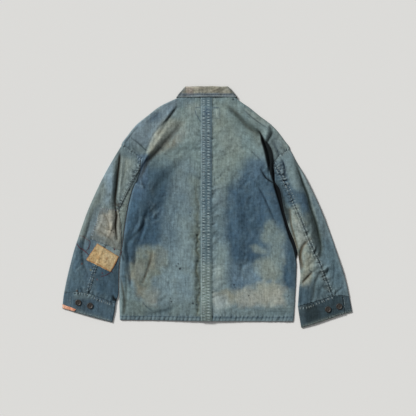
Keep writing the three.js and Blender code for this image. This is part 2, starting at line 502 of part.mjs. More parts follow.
// ---------------------------------------------------------------- the jacket
const mat = (color, roughness, metalness = 0) => new THREE.MeshStandardMaterial({ color, roughness, metalness });
const INDIGO = mat(0x63798a, 0.95), COLLAR = mat(0x9b9a8c, 0.95), PALE = mat(0xa9a898, 0.95), TAN = mat(0xcdb488, 0.95);
const SALMON = mat(0xe0a283, 0.95), HORN = mat(0x2c2926, 0.5);
const jacket = new THREE.Group();
const add = (name, geo, m, x = 0, y = 0, z = 0) => {
  const mesh = new THREE.Mesh(geo, m);
  mesh.name = name;
  mesh.position.set(x, y, z);
  jacket.add(mesh);
  return geo;
};
const bl = add('back_left', backLeft(), INDIGO);
const br = add('back_right', backRight(), INDIGO);
add('front_left', front(FRONT_L, -1), INDIGO);
add('front_right', front(FRONT_R, 1), INDIGO);
add('collar', collar(), COLLAR);
const ul = add('upper_sleeve_left', sleevePanel(SLEEVE_L, SLEEVE_FOLDS_L, true), INDIGO);
const nl = add('under_sleeve_left', sleevePanel(SLEEVE_L, SLEEVE_FOLDS_L, false), INDIGO);
add('upper_sleeve_right', sleevePanel(SLEEVE_R, SLEEVE_FOLDS_R, true), INDIGO);
add('under_sleeve_right', sleevePanel(SLEEVE_R, SLEEVE_FOLDS_R, false), INDIGO);
const cl = add('cuff_left', cuff(CUFF_L, LAP_END[0]), INDIGO);
const cr = add('cuff_right', cuff(CUFF_R, LAP_END[1]), INDIGO);
add('elbow_patch', patch(
  [[100.2, 207.6], [97.6, 217.5], [94.6, 226], [91.6, 232.4], [90.9, 238.4]],
  [[118.2, 209.8], [120.2, 220], [120.8, 230], [120.6, 239.5], [119.6, 249.6]], 7, 6, [ul, nl], PATCH), PALE);
add('tan_patch', patch(
  [[97.6, 243.9], [86.3, 259.8]], [[117.6, 255.8], [110.5, 272]], 4, 5, [ul, nl], PATCH), TAN);
add('cuff_edge_patch', patch(
  [[63.5, 304.3], [63.0, 307.7]], [[76.1, 309.2], [74.4, 310.8]], 1, 10, [cl], PATCH), SALMON);
const sew = (name, x, y, under) => {
  const [X, Y] = P(x, y);
  let z = -1e9;
  for (let a = 0; a < 12; a++) for (const q of [0, 5, 9.6]) z = Math.max(z, topOf(under, X + q * Math.cos(a * Math.PI / 6), Y + q * Math.sin(a * Math.PI / 6)));
  add(name, button(BUTTON_D, BUTTON_T), HORN, X, Y, z + 0.3);
};
sew('cuff_button_left_1', 78.4, 302.5, [cl]);
sew('cuff_button_left_2', 90.2, 305.6, [cl]);
sew('cuff_button_right_1', 327.8, 309.3, [cr]);
sew('cuff_button_right_2', 339, 306.3, [cr]);
[127, 165, 203, 241, 279].forEach((y, i) => {
  const [X, Y] = P(207, y);
  const g = button(FRONT_BUTTON_D, FRONT_BUTTON_T);
  g.rotateX(Math.PI); g.translate(0, 0, FRONT_BUTTON_T);
  add(`front_button_${i + 1}`, g, HORN, X, Y, 0);
});
export default jacket;
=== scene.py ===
# A patched boro work jacket laid flat on its front, back up: its looks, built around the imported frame.
# Plan points are in pattern units (3.2 mm, x to the right, y down), heights in mm, objects in metres.
import math

import bpy
import numpy as np
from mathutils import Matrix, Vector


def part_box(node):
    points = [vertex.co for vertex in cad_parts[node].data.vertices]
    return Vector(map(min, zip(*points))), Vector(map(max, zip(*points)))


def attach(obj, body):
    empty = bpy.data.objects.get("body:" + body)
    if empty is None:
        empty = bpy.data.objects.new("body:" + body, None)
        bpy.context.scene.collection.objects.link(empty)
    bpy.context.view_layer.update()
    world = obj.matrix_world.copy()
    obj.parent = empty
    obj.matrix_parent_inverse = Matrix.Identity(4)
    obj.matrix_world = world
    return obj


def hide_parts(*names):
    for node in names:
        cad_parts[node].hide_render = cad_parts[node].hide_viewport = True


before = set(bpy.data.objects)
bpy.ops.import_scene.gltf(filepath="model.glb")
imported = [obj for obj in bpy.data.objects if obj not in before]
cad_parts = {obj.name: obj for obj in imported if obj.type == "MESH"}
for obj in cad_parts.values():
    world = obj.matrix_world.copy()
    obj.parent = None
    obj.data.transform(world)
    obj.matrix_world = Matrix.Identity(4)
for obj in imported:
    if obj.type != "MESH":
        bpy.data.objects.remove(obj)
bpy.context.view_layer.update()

UNIT = 3.2
CX, CY = 207.2, 207.11
STRIP_L, STRIP_R = 200.8, 211.6
CLOTH = 1.2


# ------------------------------------------------------------------ numbers
def ss(a, b, x):
    t = np.clip((np.asarray(x, float) - a) / (b - a), 0, 1)
    return t * t * (3 - 2 * t)


def to_mm(x, y):
    return (x - CX) * UNIT, (CY - y) * UNIT


def to_px(X, Y):
    return X / UNIT + CX, CY - Y / UNIT


def lin(c):
    c = np.asarray(c, float) / 255
    return np.where(c <= 0.04045, c / 12.92, ((c + 0.055) / 1.055) ** 2.4)


_lattice = {}


def noise(x, y, seed):
    """Smooth value noise, -1 to 1, on a seeded lattice."""
    g = _lattice.get(seed)
    if g is None:
        g = np.random.RandomState(4000 + seed).rand(256, 256) * 2 - 1
        _lattice[seed] = g
    a = 0.6 + seed * 0.37
    x, y = x * math.cos(a) - y * math.sin(a) + 71.3, x * math.sin(a) + y * math.cos(a) + 33.7
    xi, yi = np.floor(x).astype(int), np.floor(y).astype(int)
    fx, fy = x - xi, y - yi
    u, v = fx * fx * fx * (fx * (fx * 6 - 15) + 10), fy * fy * fy * (fy * (fy * 6 - 15) + 10)
    p, q, r, s = g[xi & 255, yi & 255], g[(xi + 1) & 255, yi & 255], g[xi & 255, (yi + 1) & 255], g[(xi + 1) & 255, (yi + 1) & 255]
    return (p * (1 - u) + q * u) * (1 - v) + (r * (1 - u) + s * u) * v


def fbm(x, y, seed, n=3, gain=0.55):
    z, a, t = 0.0, 1.0, 0.0
    for k in range(n):
        z = z + a * noise(x * 2 ** k, y * 2 ** k, seed + 17 * k)
        t += a
        a *= gain
    return z / t


def pchip(xs, ys, x):
    """Monotone cubic through rows of values ys (n, k) at xs."""
    xs, ys, x = np.asarray(xs, float), np.asarray(ys, float), np.asarray(x, float)
    one = ys.ndim == 1
    if one:
        ys = ys[:, None]
    h = np.diff(xs)
    d = np.diff(ys, axis=0) / h[:, None]
    m = np.zeros_like(ys)
    m[0], m[-1] = d[0], d[-1]
    for i in range(1, len(xs) - 1):
        w1, w2 = 2 * h[i] + h[i - 1], h[i] + 2 * h[i - 1]
        ok = d[i - 1] * d[i] > 0
        with np.errstate(divide="ignore", invalid="ignore"):
            m[i] = np.where(ok, (w1 + w2) / (w1 / d[i - 1] + w2 / d[i]), 0)
    i = np.clip(np.searchsorted(xs, x) - 1, 0, len(xs) - 2)
    t = ((x - xs[i]) / h[i])[:, None]
    hh = h[i][:, None]
    out = (
        ys[i] * (2 * t ** 3 - 3 * t ** 2 + 1)
        + m[i] * hh * (t ** 3 - 2 * t ** 2 + t)
        + ys[i + 1] * (3 * t ** 2 - 2 * t ** 3)
        + m[i + 1] * hh * (t ** 3 - t ** 2)
    )
    return out[:, 0] if one else out


def smooth_line(pts, k=5):
    """A rounder line through the points (Catmull-Rom), every value carried along."""
    p = np.asarray(pts, float)
    if len(p) < 3:
        return p
    q = np.vstack([2 * p[0] - p[1], p, 2 * p[-1] - p[-2]])
    out = []
    for i in range(1, len(q) - 2):
        for j in range(k):
            t = j / k
            a, b, c, d = q[i - 1], q[i], q[i + 1], q[i + 2]
            out.append(0.5 * (2 * b + (c - a) * t + (2 * a - 5 * b + 4 * c - d) * t * t + (3 * b - a - 3 * c + d) * t ** 3))
    out.append(p[-1])
    return np.array(out)


def near(x, y, pts):
    """For points near a line: distance, side (+1 = right of it going down), way along, carried value."""
    best = np.full(x.shape, 1e9)
    side = np.zeros(x.shape)
    way = np.zeros(x.shape)
    val = np.zeros(x.shape)
    acc = 0.0
    for i in range(len(pts) - 1):
        ax, ay, av = pts[i]
        bx, by, bv = pts[i + 1]
        dx, dy = bx - ax, by - ay
        L2 = dx * dx + dy * dy
        if L2 < 1e-12:
            continue
        t = np.clip(((x - ax) * dx + (y - ay) * dy) / L2, 0, 1)
        d = np.hypot(x - ax - dx * t, y - ay - dy * t)
        m = d < best
        best[m] = d[m]
        side[m] = -np.sign(dx * (y - ay) - dy * (x - ax))[m]
        way[m] = (acc + t * math.sqrt(L2))[m]
        val[m] = (av + (bv - av) * t)[m]
        acc += math.sqrt(L2)
    return best, side, way, val


def reach_of(x, y, pts, r):
    return np.nonzero((x > pts[:, 0].min() - r) & (x < pts[:, 0].max() + r) & (y > pts[:, 1].min() - r) & (y < pts[:, 1].max() + r))[0]


def line_of(pts):
    """Points with a strength: given, or rising from each end to the middle."""
    if len(pts[0]) == 2:
        n = len(pts) - 1
        pts = [(p[0], p[1], min(1.0, 0.25 + 1.6 * min(i, n - i) / n)) for i, p in enumerate(pts)]
    return smooth_line(pts)


DEPTH = 1.55  # every listed crease is this much deeper than its table says


class Crease:
    """A fold line: h mm high (or deep), widths left and right; its colour is blended toward `tint` by `dark` over `wd`:
    painted shade, with dirt, in the fold, and a painted highlight instead where the tint is pale.
    """

    def __init__(self, pts, h, wl, wr, dark=0.0, wd=1.2, off=0.0, tint=(52, 50, 46), wild=0.0):
        self.pts, self.h, self.wl, self.wr = line_of(pts), h, wl, wr
        self.dark, self.wd, self.off, self.tint, self.wild = dark, wd, off, tint, wild

    def relief(self, x, y, z):
        r = 2.6 * max(self.wl, self.wr)
        i = reach_of(x, y, self.pts, r)
        if self.h == 0 or not len(i):
            return
        d, s, _, v = near(x[i], y[i], self.pts)
        w = np.where(s > 0, self.wr, self.wl)
        z[i] += DEPTH * self.h * v * np.exp(-((d / w) ** 2))

    def paint(self, x, y, col):
        if self.dark == 0:
            return
        r = 2.6 * self.wd + abs(self.off)
        i = reach_of(x, y, self.pts, r)
        if not len(i):
            return
        xi, yi = x[i], y[i]
        if self.wild:
            xi = xi + self.wild * noise(xi / 2.2, yi / 2.2, 61)
            yi = yi + self.wild * noise(xi / 2.2, yi / 2.2, 62)
        d, s, _, v = near(xi, yi, self.pts)
        # painted shade along the fold; a painted highlight where the tint is pale
        k = np.clip(1.18 * abs(self.dark) * v * np.exp(-(((d * s - self.off) / self.wd) ** 2)), 0, 1)[:, None]
        col[i] = col[i] * (1 - k) + lin(self.tint) * k


def poly_sd(x, y, poly):
    """Signed distance to a closed outline, positive inside."""
    p = smooth_line(list(poly) + [poly[0]], 3) if len(poly) > 4 else np.array(list(poly) + [poly[0]], float)
    best = np.full(x.shape, 1e9)
    inside = np.zeros(x.shape, bool)
    for i in range(len(p) - 1):
        (ax, ay), (bx, by) = p[i][:2], p[i + 1][:2]
        dx, dy = bx - ax, by - ay
        L2 = dx * dx + dy * dy
        if L2 < 1e-12:
            continue
        t = np.clip(((x - ax) * dx + (y - ay) * dy) / L2, 0, 1)
        best = np.minimum(best, np.hypot(x - ax - dx * t, y - ay - dy * t))
        cross = (ay > y) != (by > y)
        if abs(dy) > 1e-12:
            inside ^= cross & (x < ax + dx * (y - ay) / dy)
    return np.where(inside, best, -best)


def zone(x, y, col, poly, colour, k=1.0, soft=5.0, warp=2.5, grain=0.0, seed=5):
    """Blends a colour in over an outline with a soft, uneven edge."""
    poly = np.asarray(poly, float)
    i = reach_of(x, y, poly, soft + warp + 2)
    if not len(i):
        return
    xi, yi = x[i], y[i]
    sd = poly_sd(xi, yi, poly) + warp * fbm(xi / 7.0, yi / 7.0, seed, 3)
    m = ss(-soft, soft, sd) * k
    if grain:
        m = np.clip(m * (1 + grain * fbm(xi / 2.4, yi / 2.4, seed + 3, 2)), 0, 1)
    m = m[:, None]
    col[i] = col[i] * (1 - m) + lin(colour) * m


def spot(x, y, col, cx, cy, r, colour, k=1.0, ry=None, ang=0.0, rough=0.25):
    i = reach_of(x, y, np.array([[cx, cy]]), 2.5 * max(r, ry or r) + 1)
    if not len(i):
        return
    a = math.radians(ang)
    u, v = x[i] - cx, y[i] - cy
    p, q = u * math.cos(a) + v * math.sin(a), -u * math.sin(a) + v * math.cos(a)
    d = np.hypot(p / r, q / (ry or r)) + rough * noise(x[i] / max(0.6, 0.5 * r), y[i] / max(0.6, 0.5 * r), 77)
    m = (np.exp(-(d ** 4)) * k)[:, None]
    col[i] = col[i] * (1 - m) + lin(colour) * m


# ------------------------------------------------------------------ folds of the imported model
BODY_FOLDS = [
    ([(172, 112, 0), (166, 119, 1.5), (159.5, 127, 4), (155, 136, 5.5), (151, 145, 6), (147.5, 152, 5), (144.5, 159, 4), (142.8, 165, 3), (141, 172, 2), (138.8, 178, 1)], 3.5, 6),
    ([(250, 122, 0.5), (258, 133, 2.5), (262, 141, 4), (264, 149, 5), (267, 160, 5), (269.5, 172, 4.5), (272, 182, 4), (276, 196, 3), (282, 215, 2), (289, 238, 1)], 8, 9),
    ([(226, 104, -0.8), (233, 111, -1.2), (240, 118, -1.4), (247, 126, -1.2), (256, 132, -0.8)], 5, 5),
    ([(242.7, 109.2, 1), (252.2, 117.6, 1.6), (259.9, 123.4, 2), (266, 128, 2.6), (266.5, 134, 3), (265.5, 140, 2.6)], 5, 5),
    ([(147, 212, 1), (143, 228, 1.4), (137, 246, 1), (131, 276, 1.2)], 7, 8),
    ([(258, 186, 1), (267, 204, 1.3), (276, 223, 1)], 6, 8),
    ([(228, 250, 0.6), (236, 282, 1), (240, 306, 0.6)], 10, 10),
    ([(178, 160, 0.6), (172, 200, 1), (176, 250, 0.6)], 12, 12),
]
SLEEVE_FOLDS_L = [
    ([(119.5, 153, -1.5), (118.4, 173, -2.2), (116, 195, -2), (115.4, 207, -1.2)], 4, 4),
    ([(112, 168, 1.2), (107, 190, 1.5), (104, 204, 1)], 5, 5),
    ([(101, 222, 1.4), (108, 232, 2), (116, 238, 1)], 8, 8),
    ([(87.5, 230, -0.8), (82.5, 252, -1.2), (88, 276, -0.8)], 4, 5),
]
SLEEVE_FOLDS_R = [
    ([(295.2, 161.4, -1), (303.2, 184.6, -1.8), (310.7, 207.8, -2), (318.4, 233.3, -1.6), (320.6, 252, -0.8)], 4, 4),
    ([(289, 172, 0.8), (299, 197, 1.2), (307, 222, 1)], 5, 5),
    ([(297, 245, 1), (302, 262, 1.8), (306, 275, 1.5), (305, 290, 0.8)], 6, 6),
    ([(320, 273, -0.8), (314, 288, -1.2), (311, 302, -0.8)], 4, 4),
]


def fold_sum(folds, x, y):
    z = np.zeros(x.shape)
    for pts, wl, wr in folds:
        d, s, _, v = near(x, y, smooth_line(pts))
        w = np.where(s > 0, wr, wl)
        z += v * np.exp(-((d / w) ** 2))
    return z


def back_base(x, y):
    """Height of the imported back's cloth."""
    X, _ = to_mm(x, y)
    d = np.hypot(x - 207, y - 97)
    neck = 1.4 * (1 - ss(32, 47, d))
    rise = 3.6 * (1 - ss(22, 150, np.abs(X))) * ss(98, 114, y)
    f = fold_sum(BODY_FOLDS, x, y) * ss(94, 104, y)
    return 3.3 + np.maximum(rise, neck) + np.where(f < 0, np.maximum(-0.75, f) * ss(34, 46, d), f)


# ------------------------------------------------------------------ creases, listed one by one
C = Crease
BROWN, DEEP, INK = (58, 52, 44), (26, 30, 30), (30, 42, 54)
# each crease's colour mark is painted shade in its hollow, or a painted highlight where its tint is pale
BODY_CREASES = [
    # left shoulder: a fold that leans over to the left, with its hollow on the right
    C([(176, 120, 0.2), (168, 128, 0.6), (160, 139, 1), (153, 149, 1), (147, 157, 0.9), (143.8, 164, 0.7), (141.5, 171, 0.4)], 2.6, 2.0, 3.4),
    C([(184, 120, 0.2), (176, 130, 0.6), (168, 140, 0.9), (158, 150, 1), (150, 158, 1), (145.5, 165, 0.9), (142.5, 172, 0.8), (138.5, 179, 0.5)], -3.4, 2.2, 4.5, 0.62, 2.3, 0.2, (62, 62, 58)),
    C([(163, 122, 0.2), (157.5, 130, 0.5), (153, 136.5, 0.6), (150, 143, 0.7), (147, 149.5, 0.9), (144.8, 156, 1), (143, 163, 1), (141, 170, 1), (138.5, 177, 0.9), (136.8, 181, 0.5)], -1.6, 2.4, 1.0, 0.55, 0.9, -0.7, (48, 60, 70)),
    C([(178, 106.5, 0.3), (173, 113, 1), (168.5, 119, 1), (165, 124, 0.3)], -1.8, 2.2, 1.6, 0.7, 1.1, 0, (50, 56, 54)),
    C([(175, 106.5, 0.4), (170.5, 112.5, 1), (166.5, 118.5, 1), (160, 126, 0.5)], 1.5, 1.8, 1.6),
    C([(131.8, 138.4, 0.5), (138.5, 143.4, 1), (145.9, 150.2, 0.8)], -1.5, 2.2, 1.4, 0.75, 0.75, 0, (46, 56, 58)),
    C([(141, 134, 0.2), (131, 134.5, 1), (126, 142, 0.3)], 1.2, 3, 3),
    C([(137.5, 127.3, 0.5), (129.5, 136.8, 1), (125.7, 142.2, 0.6)], -1.2, 1.6, 1.6, 0.62, 0.9, 0, (46, 58, 62)),
    C([(160, 113, 0.4), (155, 118, 1), (150, 121.6, 0.6)], -1.0, 1.6, 3.2, 0.4, 1.6, 0, (66, 84, 98)),
    C([(150, 124, 0.4), (140, 130, 1), (132, 136, 0.4)], 0.9, 4, 4),
    # right shoulder
    C([(226, 105, 0.4), (233, 110.6, 0.9), (239, 116.7, 1), (246, 125, 1), (252, 130, 0.9), (259, 133, 0.8)], -2.3, 2.6, 4.2, 0.6, 2.3, 0, (62, 62, 54)),
    C([(221, 108, 0.3), (230, 116, 0.8), (238, 125, 1), (246, 132, 0.8), (254, 137, 0.4)], 1.6, 4.5, 3.5),
    C([(253, 127, 0.4), (260, 133, 1)], -1.3, 1.2, 1.4, 0.55, 1.0, 0, (46, 50, 46)),
    C([(242.7, 109.2, 0.4), (252.2, 117.6, 1), (259.9, 123.4, 1), (265.6, 127.2, 0.8)], -1.2, 1.0, 2.0, 0.62, 0.65, 0, (52, 64, 68)),
    C([(240, 106.5, 0.3), (252, 115, 1), (262, 122, 1), (268, 126.6, 0.8)], 1.2, 2.0, 1.6),
    C([(267.5, 127, 0.7), (267.4, 131, 1), (265.4, 137, 1), (264.8, 141, 0.8)], 2.0, 1.5, 2.2),
    C([(269.8, 127.6, 0.4), (271.6, 133.5, 1), (268.6, 139.5, 1), (267, 142.5, 0.8)], -2.3, 1.8, 1.6, 0.7, 1.5, 0, (50, 56, 54)),
    C([(273, 142, 0.5), (277, 150, 1), (279.5, 156, 0.8)], -1.7, 1.6, 2.4, 0.62, 1.2, 0, (54, 66, 74)),
    C([(276.5, 134, 0.3), (280, 142, 1), (285, 149, 0.5)], 0.9, 2.5, 3.0),
    C([(260.6, 170.4, 0.5), (262, 167.2, 1), (263.2, 164.6, 0.4)], -0.5, 1.4, 1.5, 0.45, 1.5, 0, (44, 60, 72)),
    C([(260.8, 169.9, 0.7), (263.2, 174.2, 1), (266.5, 178.6, 1), (272.5, 182.6, 1)], -2.0, 1.3, 2.2, 0.9, 0.95, 0, (16, 24, 30)),
    C([(258, 166.5, 0.3), (262, 173.5, 1), (267, 180.5, 0.6)], 1.4, 2.6, 1.4),
    C([(243, 143, 0.4), (255.4, 155.2, 1), (263, 162.8, 0.7)], -0.8, 1.2, 1.8, 0.42, 0.7, 0, (60, 72, 76)),
    C([(257, 185, 0.5), (263, 195.4, 1), (267.4, 204.3, 1), (275.6, 222.7, 0.6)], -1.5, 1.1, 2.6, 0.6, 0.65, 0, (34, 48, 60)),
    C([(255, 186, 0.3), (261.5, 197, 1), (266, 207, 1), (273, 224, 0.4)], 1.2, 3.2, 1.6),
    # shadowed folds down the middle of each half
    C([(190, 147, 0.4), (184, 150, 1), (174, 154.5, 0.6)], -0.8, 2.0, 1.6, 0.28, 1.4, 0, (76, 90, 92)),
    C([(183, 161, 0.4), (172, 171, 0.9), (163, 180, 1), (155, 192, 0.6)], -1.4, 4.0, 3.0, 0.26, 3.0, 0, (58, 74, 80)),
    C([(176, 159, 0.3), (164, 168, 1), (154, 181, 0.8), (149, 196, 0.4)], 1.3, 4.5, 4.5),
    C([(171, 196, 0.3), (158, 206, 1), (147, 214, 0.8), (139, 226, 0.4)], -1.0, 3.5, 2.4, 0.3, 2.2, 0, (46, 64, 78)),
    C([(161.3, 205.9, 0.7), (156.4, 209, 1), (153, 213, 0.4)], -0.9, 1.2, 1.4, 0.45, 0.8, 0, INK),
    C([(138.6, 212.1, 0.5), (137.7, 220.2, 1), (134.1, 226.9, 1), (130.1, 235.8, 1), (126.1, 240.3, 0.7)], -2.0, 2.6, 1.7, 0.62, 1.3, 0, (40, 58, 72)),
    C([(142.5, 214, 0.4), (141.3, 222, 1), (138, 230, 1), (134, 240, 0.7), (129.5, 250, 0.4)], 1.8, 1.8, 1.8),
    C([(147.2, 208, 0.4), (146.4, 214, 0.9), (144.4, 221, 1), (143, 228.2, 1), (140.4, 235.8, 1), (136.8, 244.7, 0.5)], -2.4, 1.9, 2.6, 0.75, 1.35, 0, (30, 46, 58)),
    C([(124.3, 239.4, 1), (125.2, 246, 1), (126, 254, 1), (127, 264, 1), (127.9, 273, 0.7), (130.5, 284, 0.4)], -2.2, 1.8, 2.2, 0.72, 1.25, 0, (38, 52, 62)),
    C([(131, 243, 0.5), (131, 253, 1), (130.5, 266, 0.7)], 1.2, 2.2, 2.4),
    C([(137, 243, 0.3), (135, 252, 1), (134.5, 263, 0.5)], -1.2, 1.8, 2.4, 0.4, 1.4, 0, (52, 72, 86)),
    C([(131.9, 271.9, 0.4), (130.4, 277, 1), (129.9, 283, 0.4)], -1.0, 1.2, 1.6, 0.4, 0.9, 0, (74, 66, 56)),
    C([(152.6, 253, 0.3), (150, 262, 1), (147.4, 270.4, 1), (144.8, 277.5, 1), (142.8, 282.4, 0.5)], -1.7, 1.5, 2.0, 0.58, 1.15, 0, (74, 66, 54)),
    C([(157, 250, 0.3), (154, 262, 1), (150, 273, 0.5)], 0.9, 2.6, 2.6),
    C([(121, 279.6, 0.7), (122.8, 288.3, 1), (124.5, 301, 1), (124, 311.8, 0.7)], -1.7, 1.4, 1.7, 0.66, 1.15, 0, (66, 66, 58)),
    C([(128, 284, 0.3), (129, 296, 1), (128.5, 309, 0.5)], 0.9, 2.4, 3.0),
    C([(119.6, 277.4, 0.7), (123.5, 276.8, 1), (127.8, 278.6, 0.5)], -0.7, 0.9, 0.9, 0.5, 0.6, 0, (52, 62, 66)),
    C([(143.2, 302.3, 0.7), (146.7, 306.6, 1), (151.8, 310.7, 0.6)], -0.6, 0.9, 0.9, 0.5, 0.5, 0, (64, 78, 84)),
    C([(141, 312.4, 0.3), (152, 313, 0.8), (160, 312, 1), (168, 310, 0.8), (174, 308.4, 0.3)], -0.5, 1.6, 1.6, 0.42, 1.8, 0, (62, 74, 76)),
    # painted brown shade along a pull line left of the lapped seam, and a soft band of painted shade beside it
    C([(197.5, 180, 0.2), (196, 196, 0.5), (199, 206, 0.6), (197, 219, 0.5), (199.6, 230, 0.8), (197.2, 238, 1), (199.6, 244, 1), (196.4, 250, 1), (199.4, 256, 0.8), (198, 263, 0.7), (196.2, 270, 1), (199.2, 280, 1), (200.2, 291, 1), (197.4, 299.5, 1), (199.4, 305, 0.9), (197, 315, 0.7)], -1.2, 1.5, 1.1, 0.62, 0.85, 0, (74, 70, 54), 0.35),
    C([(196.6, 182, 0.3), (197.6, 215, 0.6), (198.2, 245, 1), (198, 280, 1), (198.6, 314, 0.7)], 0, 1, 1, 0.42, 3.0, 0, (88, 94, 80), 0.8),
    C([(194, 236, 0.4), (195, 260, 1), (194, 286, 0.8), (195, 310, 0.4)], 0.8, 1.6, 1.6),
    C([(213, 189, 0.5), (217.5, 185.6, 1), (222, 183, 0.5)], -0.6, 0.8, 0.9, 0.34, 0.6, 0, (76, 92, 98)),
    C([(213.5, 170, 0.4), (215, 179, 1), (214, 188, 0.4)], -0.6, 0.8, 0.9, 0.3, 0.6, 0, (76, 92, 98)),
    C([(213.4, 180.5, 0.6), (218, 178.5, 1), (222.5, 174, 0.4)], -0.5, 0.8, 0.8, 0.28, 0.6, 0, (76, 92, 98)),
    C([(213, 238, 0.5), (215, 233, 1), (219, 230, 0.4)], -0.5, 0.8, 0.8, 0.3, 0.6, 0, (72, 88, 96)),
    # broad soft troughs in the dark cloth on the right
    C([(233, 178, 0.3), (229.5, 195, 0.9), (229, 215, 1), (232, 240, 1), (233, 262, 0.8), (232, 282, 0.4)], -1.3, 3.5, 4.5, 0.26, 3.2, 0, (52, 74, 92)),
    C([(241, 190, 0.3), (244, 212, 1), (248, 236, 0.9), (252, 256, 0.5)], -1.1, 3.0, 4.0, 0.22, 2.6, 0, (50, 72, 90)),
    C([(236.5, 196, 0.3), (238, 222, 1), (241, 248, 0.7)], 1.0, 3.0, 3.0),
    C([(261, 190, 0.2), (262, 214, 1), (262, 236, 0.5)], -0.8, 3.0, 3.5, 0.16, 2.6, 0, (50, 72, 90)),
    C([(222, 118, 0.3), (230, 129, 1), (236, 142, 0.4)], -0.6, 3.0, 3.0, 0.12, 2.4, 0, (104, 112, 100)),
    C([(284, 224, 0.3), (289, 240, 1), (291, 262, 0.8), (291, 292, 0.3)], 1.0, 2.6, 2.2),
    C([(288, 262, 0.3), (286.5, 276, 1), (289, 292, 0.4)], -0.9, 2.2, 2.2, 0.2, 1.6, 0, (52, 76, 92)),
    C([(158, 222, 0.3), (164, 236, 1), (168, 252, 0.4)], -0.8, 3.5, 3.5, 0.12, 3.0, 0, (66, 86, 98)),
    C([(183, 196, 0.3), (184, 226, 1), (186, 262, 0.8), (186, 296, 0.3)], 0.8, 4.5, 5.0),
    C([(176, 210, 0.3), (174, 244, 1), (172, 276, 0.4)], -0.7, 3.5, 4.0, 0.1, 3.0, 0, (86, 102, 108)),
    C([(219, 252, 0.3), (219, 280, 1), (220, 306, 0.3)], 0.8, 4.0, 4.0),
    C([(276, 306.5, 0.3), (284, 305.6, 1), (294, 306, 0.6)], -0.5, 0.7, 0.7, 0.3, 0.6, 0, (84, 96, 96)),
    C([(274, 309.4, 0.3), (284, 308.6, 1), (294, 309, 0.6)], -0.5, 0.7, 0.7, 0.3, 0.6, 0, (84, 96, 96)),
    C([(262, 312, 0.3), (276, 311.8, 1), (293, 312, 0.6)], -0.4, 0.7, 0.7, 0.26, 0.6, 0, (84, 96, 96)),
]
# each crease's colour mark is painted shade in its hollow, or a painted highlight where its tint is pale
SLEEVE_CREASES_L = [
    C([(119.5, 150.6, 0.6), (119.4, 160, 1), (118, 173.4, 1), (116.7, 186.8, 1), (115.4, 198, 1), (115.2, 207.5, 0.8), (117.2, 212.7, 0.6), (116.3, 222, 0.7), (116.3, 231, 0.7), (117.2, 239, 0.3)], -3.0, 2.2, 1.8, 0.9, 1.4, 0, (54, 52, 44)),
    C([(122.6, 153, 0.5), (122, 172, 1), (119.6, 194, 1), (118.6, 206, 0.5)], 1.4, 1.6, 2.6),
    C([(114.5, 160, 0.3), (113.6, 176, 1), (111.5, 194, 0.9), (109, 204, 0.4)], 1.4, 3.0, 2.6),
    C([(106, 180, 0.3), (102, 196, 1), (97, 212, 0.8), (90, 230, 0.4)], -0.9, 2.4, 3.0, 0.24, 2.4, 0, (92, 98, 92)),
    C([(99, 190, 0.3), (91, 208, 1), (85, 224, 0.5)], 0.9, 2.0, 2.4),
    C([(92, 214, 0.3), (87.5, 230.5, 1), (83.7, 241.5, 1), (82.3, 253.5, 1), (83.7, 263.1, 0.9), (86.1, 270.2, 0.7), (88.5, 276.5, 0.3)], -1.9, 1.6, 1.8, 0.6, 1.1, 0, (44, 54, 56)),
    C([(88.5, 240, 0.3), (86.6, 252, 1), (88.5, 265, 0.7)], 1.0, 1.6, 2.6),
    C([(79.5, 246, 0.3), (78, 262, 1), (78, 280, 0.4)], 0.8, 2.6, 2.4),
    C([(108, 176, 0.3), (106, 190, 1), (103, 204, 0.4)], 0.7, 1.8, 1.8),
    C([(113, 296, 0.8), (114.5, 299.6, 1), (117, 301, 1)], -1.6, 1.4, 1.4, 0.9, 1.2, 0, (24, 30, 32)),
    C([(104, 276, 0.3), (107, 287, 1), (112, 297, 0.7)], -0.9, 1.8, 1.8, 0.25, 1.4, 0, (58, 72, 80)),
    C([(117, 262, 0.5), (117.4, 278, 1), (117, 292, 0.8)], -0.8, 1.6, 1.4, 0.4, 1.8, 0, (50, 68, 80)),
    C([(127, 158, 0.3), (125, 172, 1), (121, 188, 0.5)], -0.7, 1.4, 1.4, 0.18, 1.4, 0, (108, 112, 100)),
    C([(104, 272.5, 0.3), (110, 280, 1), (113, 290, 0.4)], 0.7, 2.0, 2.0),
    C([(96, 276, 0.3), (99, 286, 1), (102, 297, 0.4)], 0.6, 1.8, 1.8),
    C([(70, 272, 0.3), (70, 284, 1), (71, 296, 0.5)], -0.7, 1.4, 1.8, 0.16, 1.6, 0, (66, 84, 94)),
    C([(80, 282, 0.4), (81, 289, 1)], -0.6, 0.9, 0.9, 0.2, 0.8, 0, (60, 76, 84)),
]
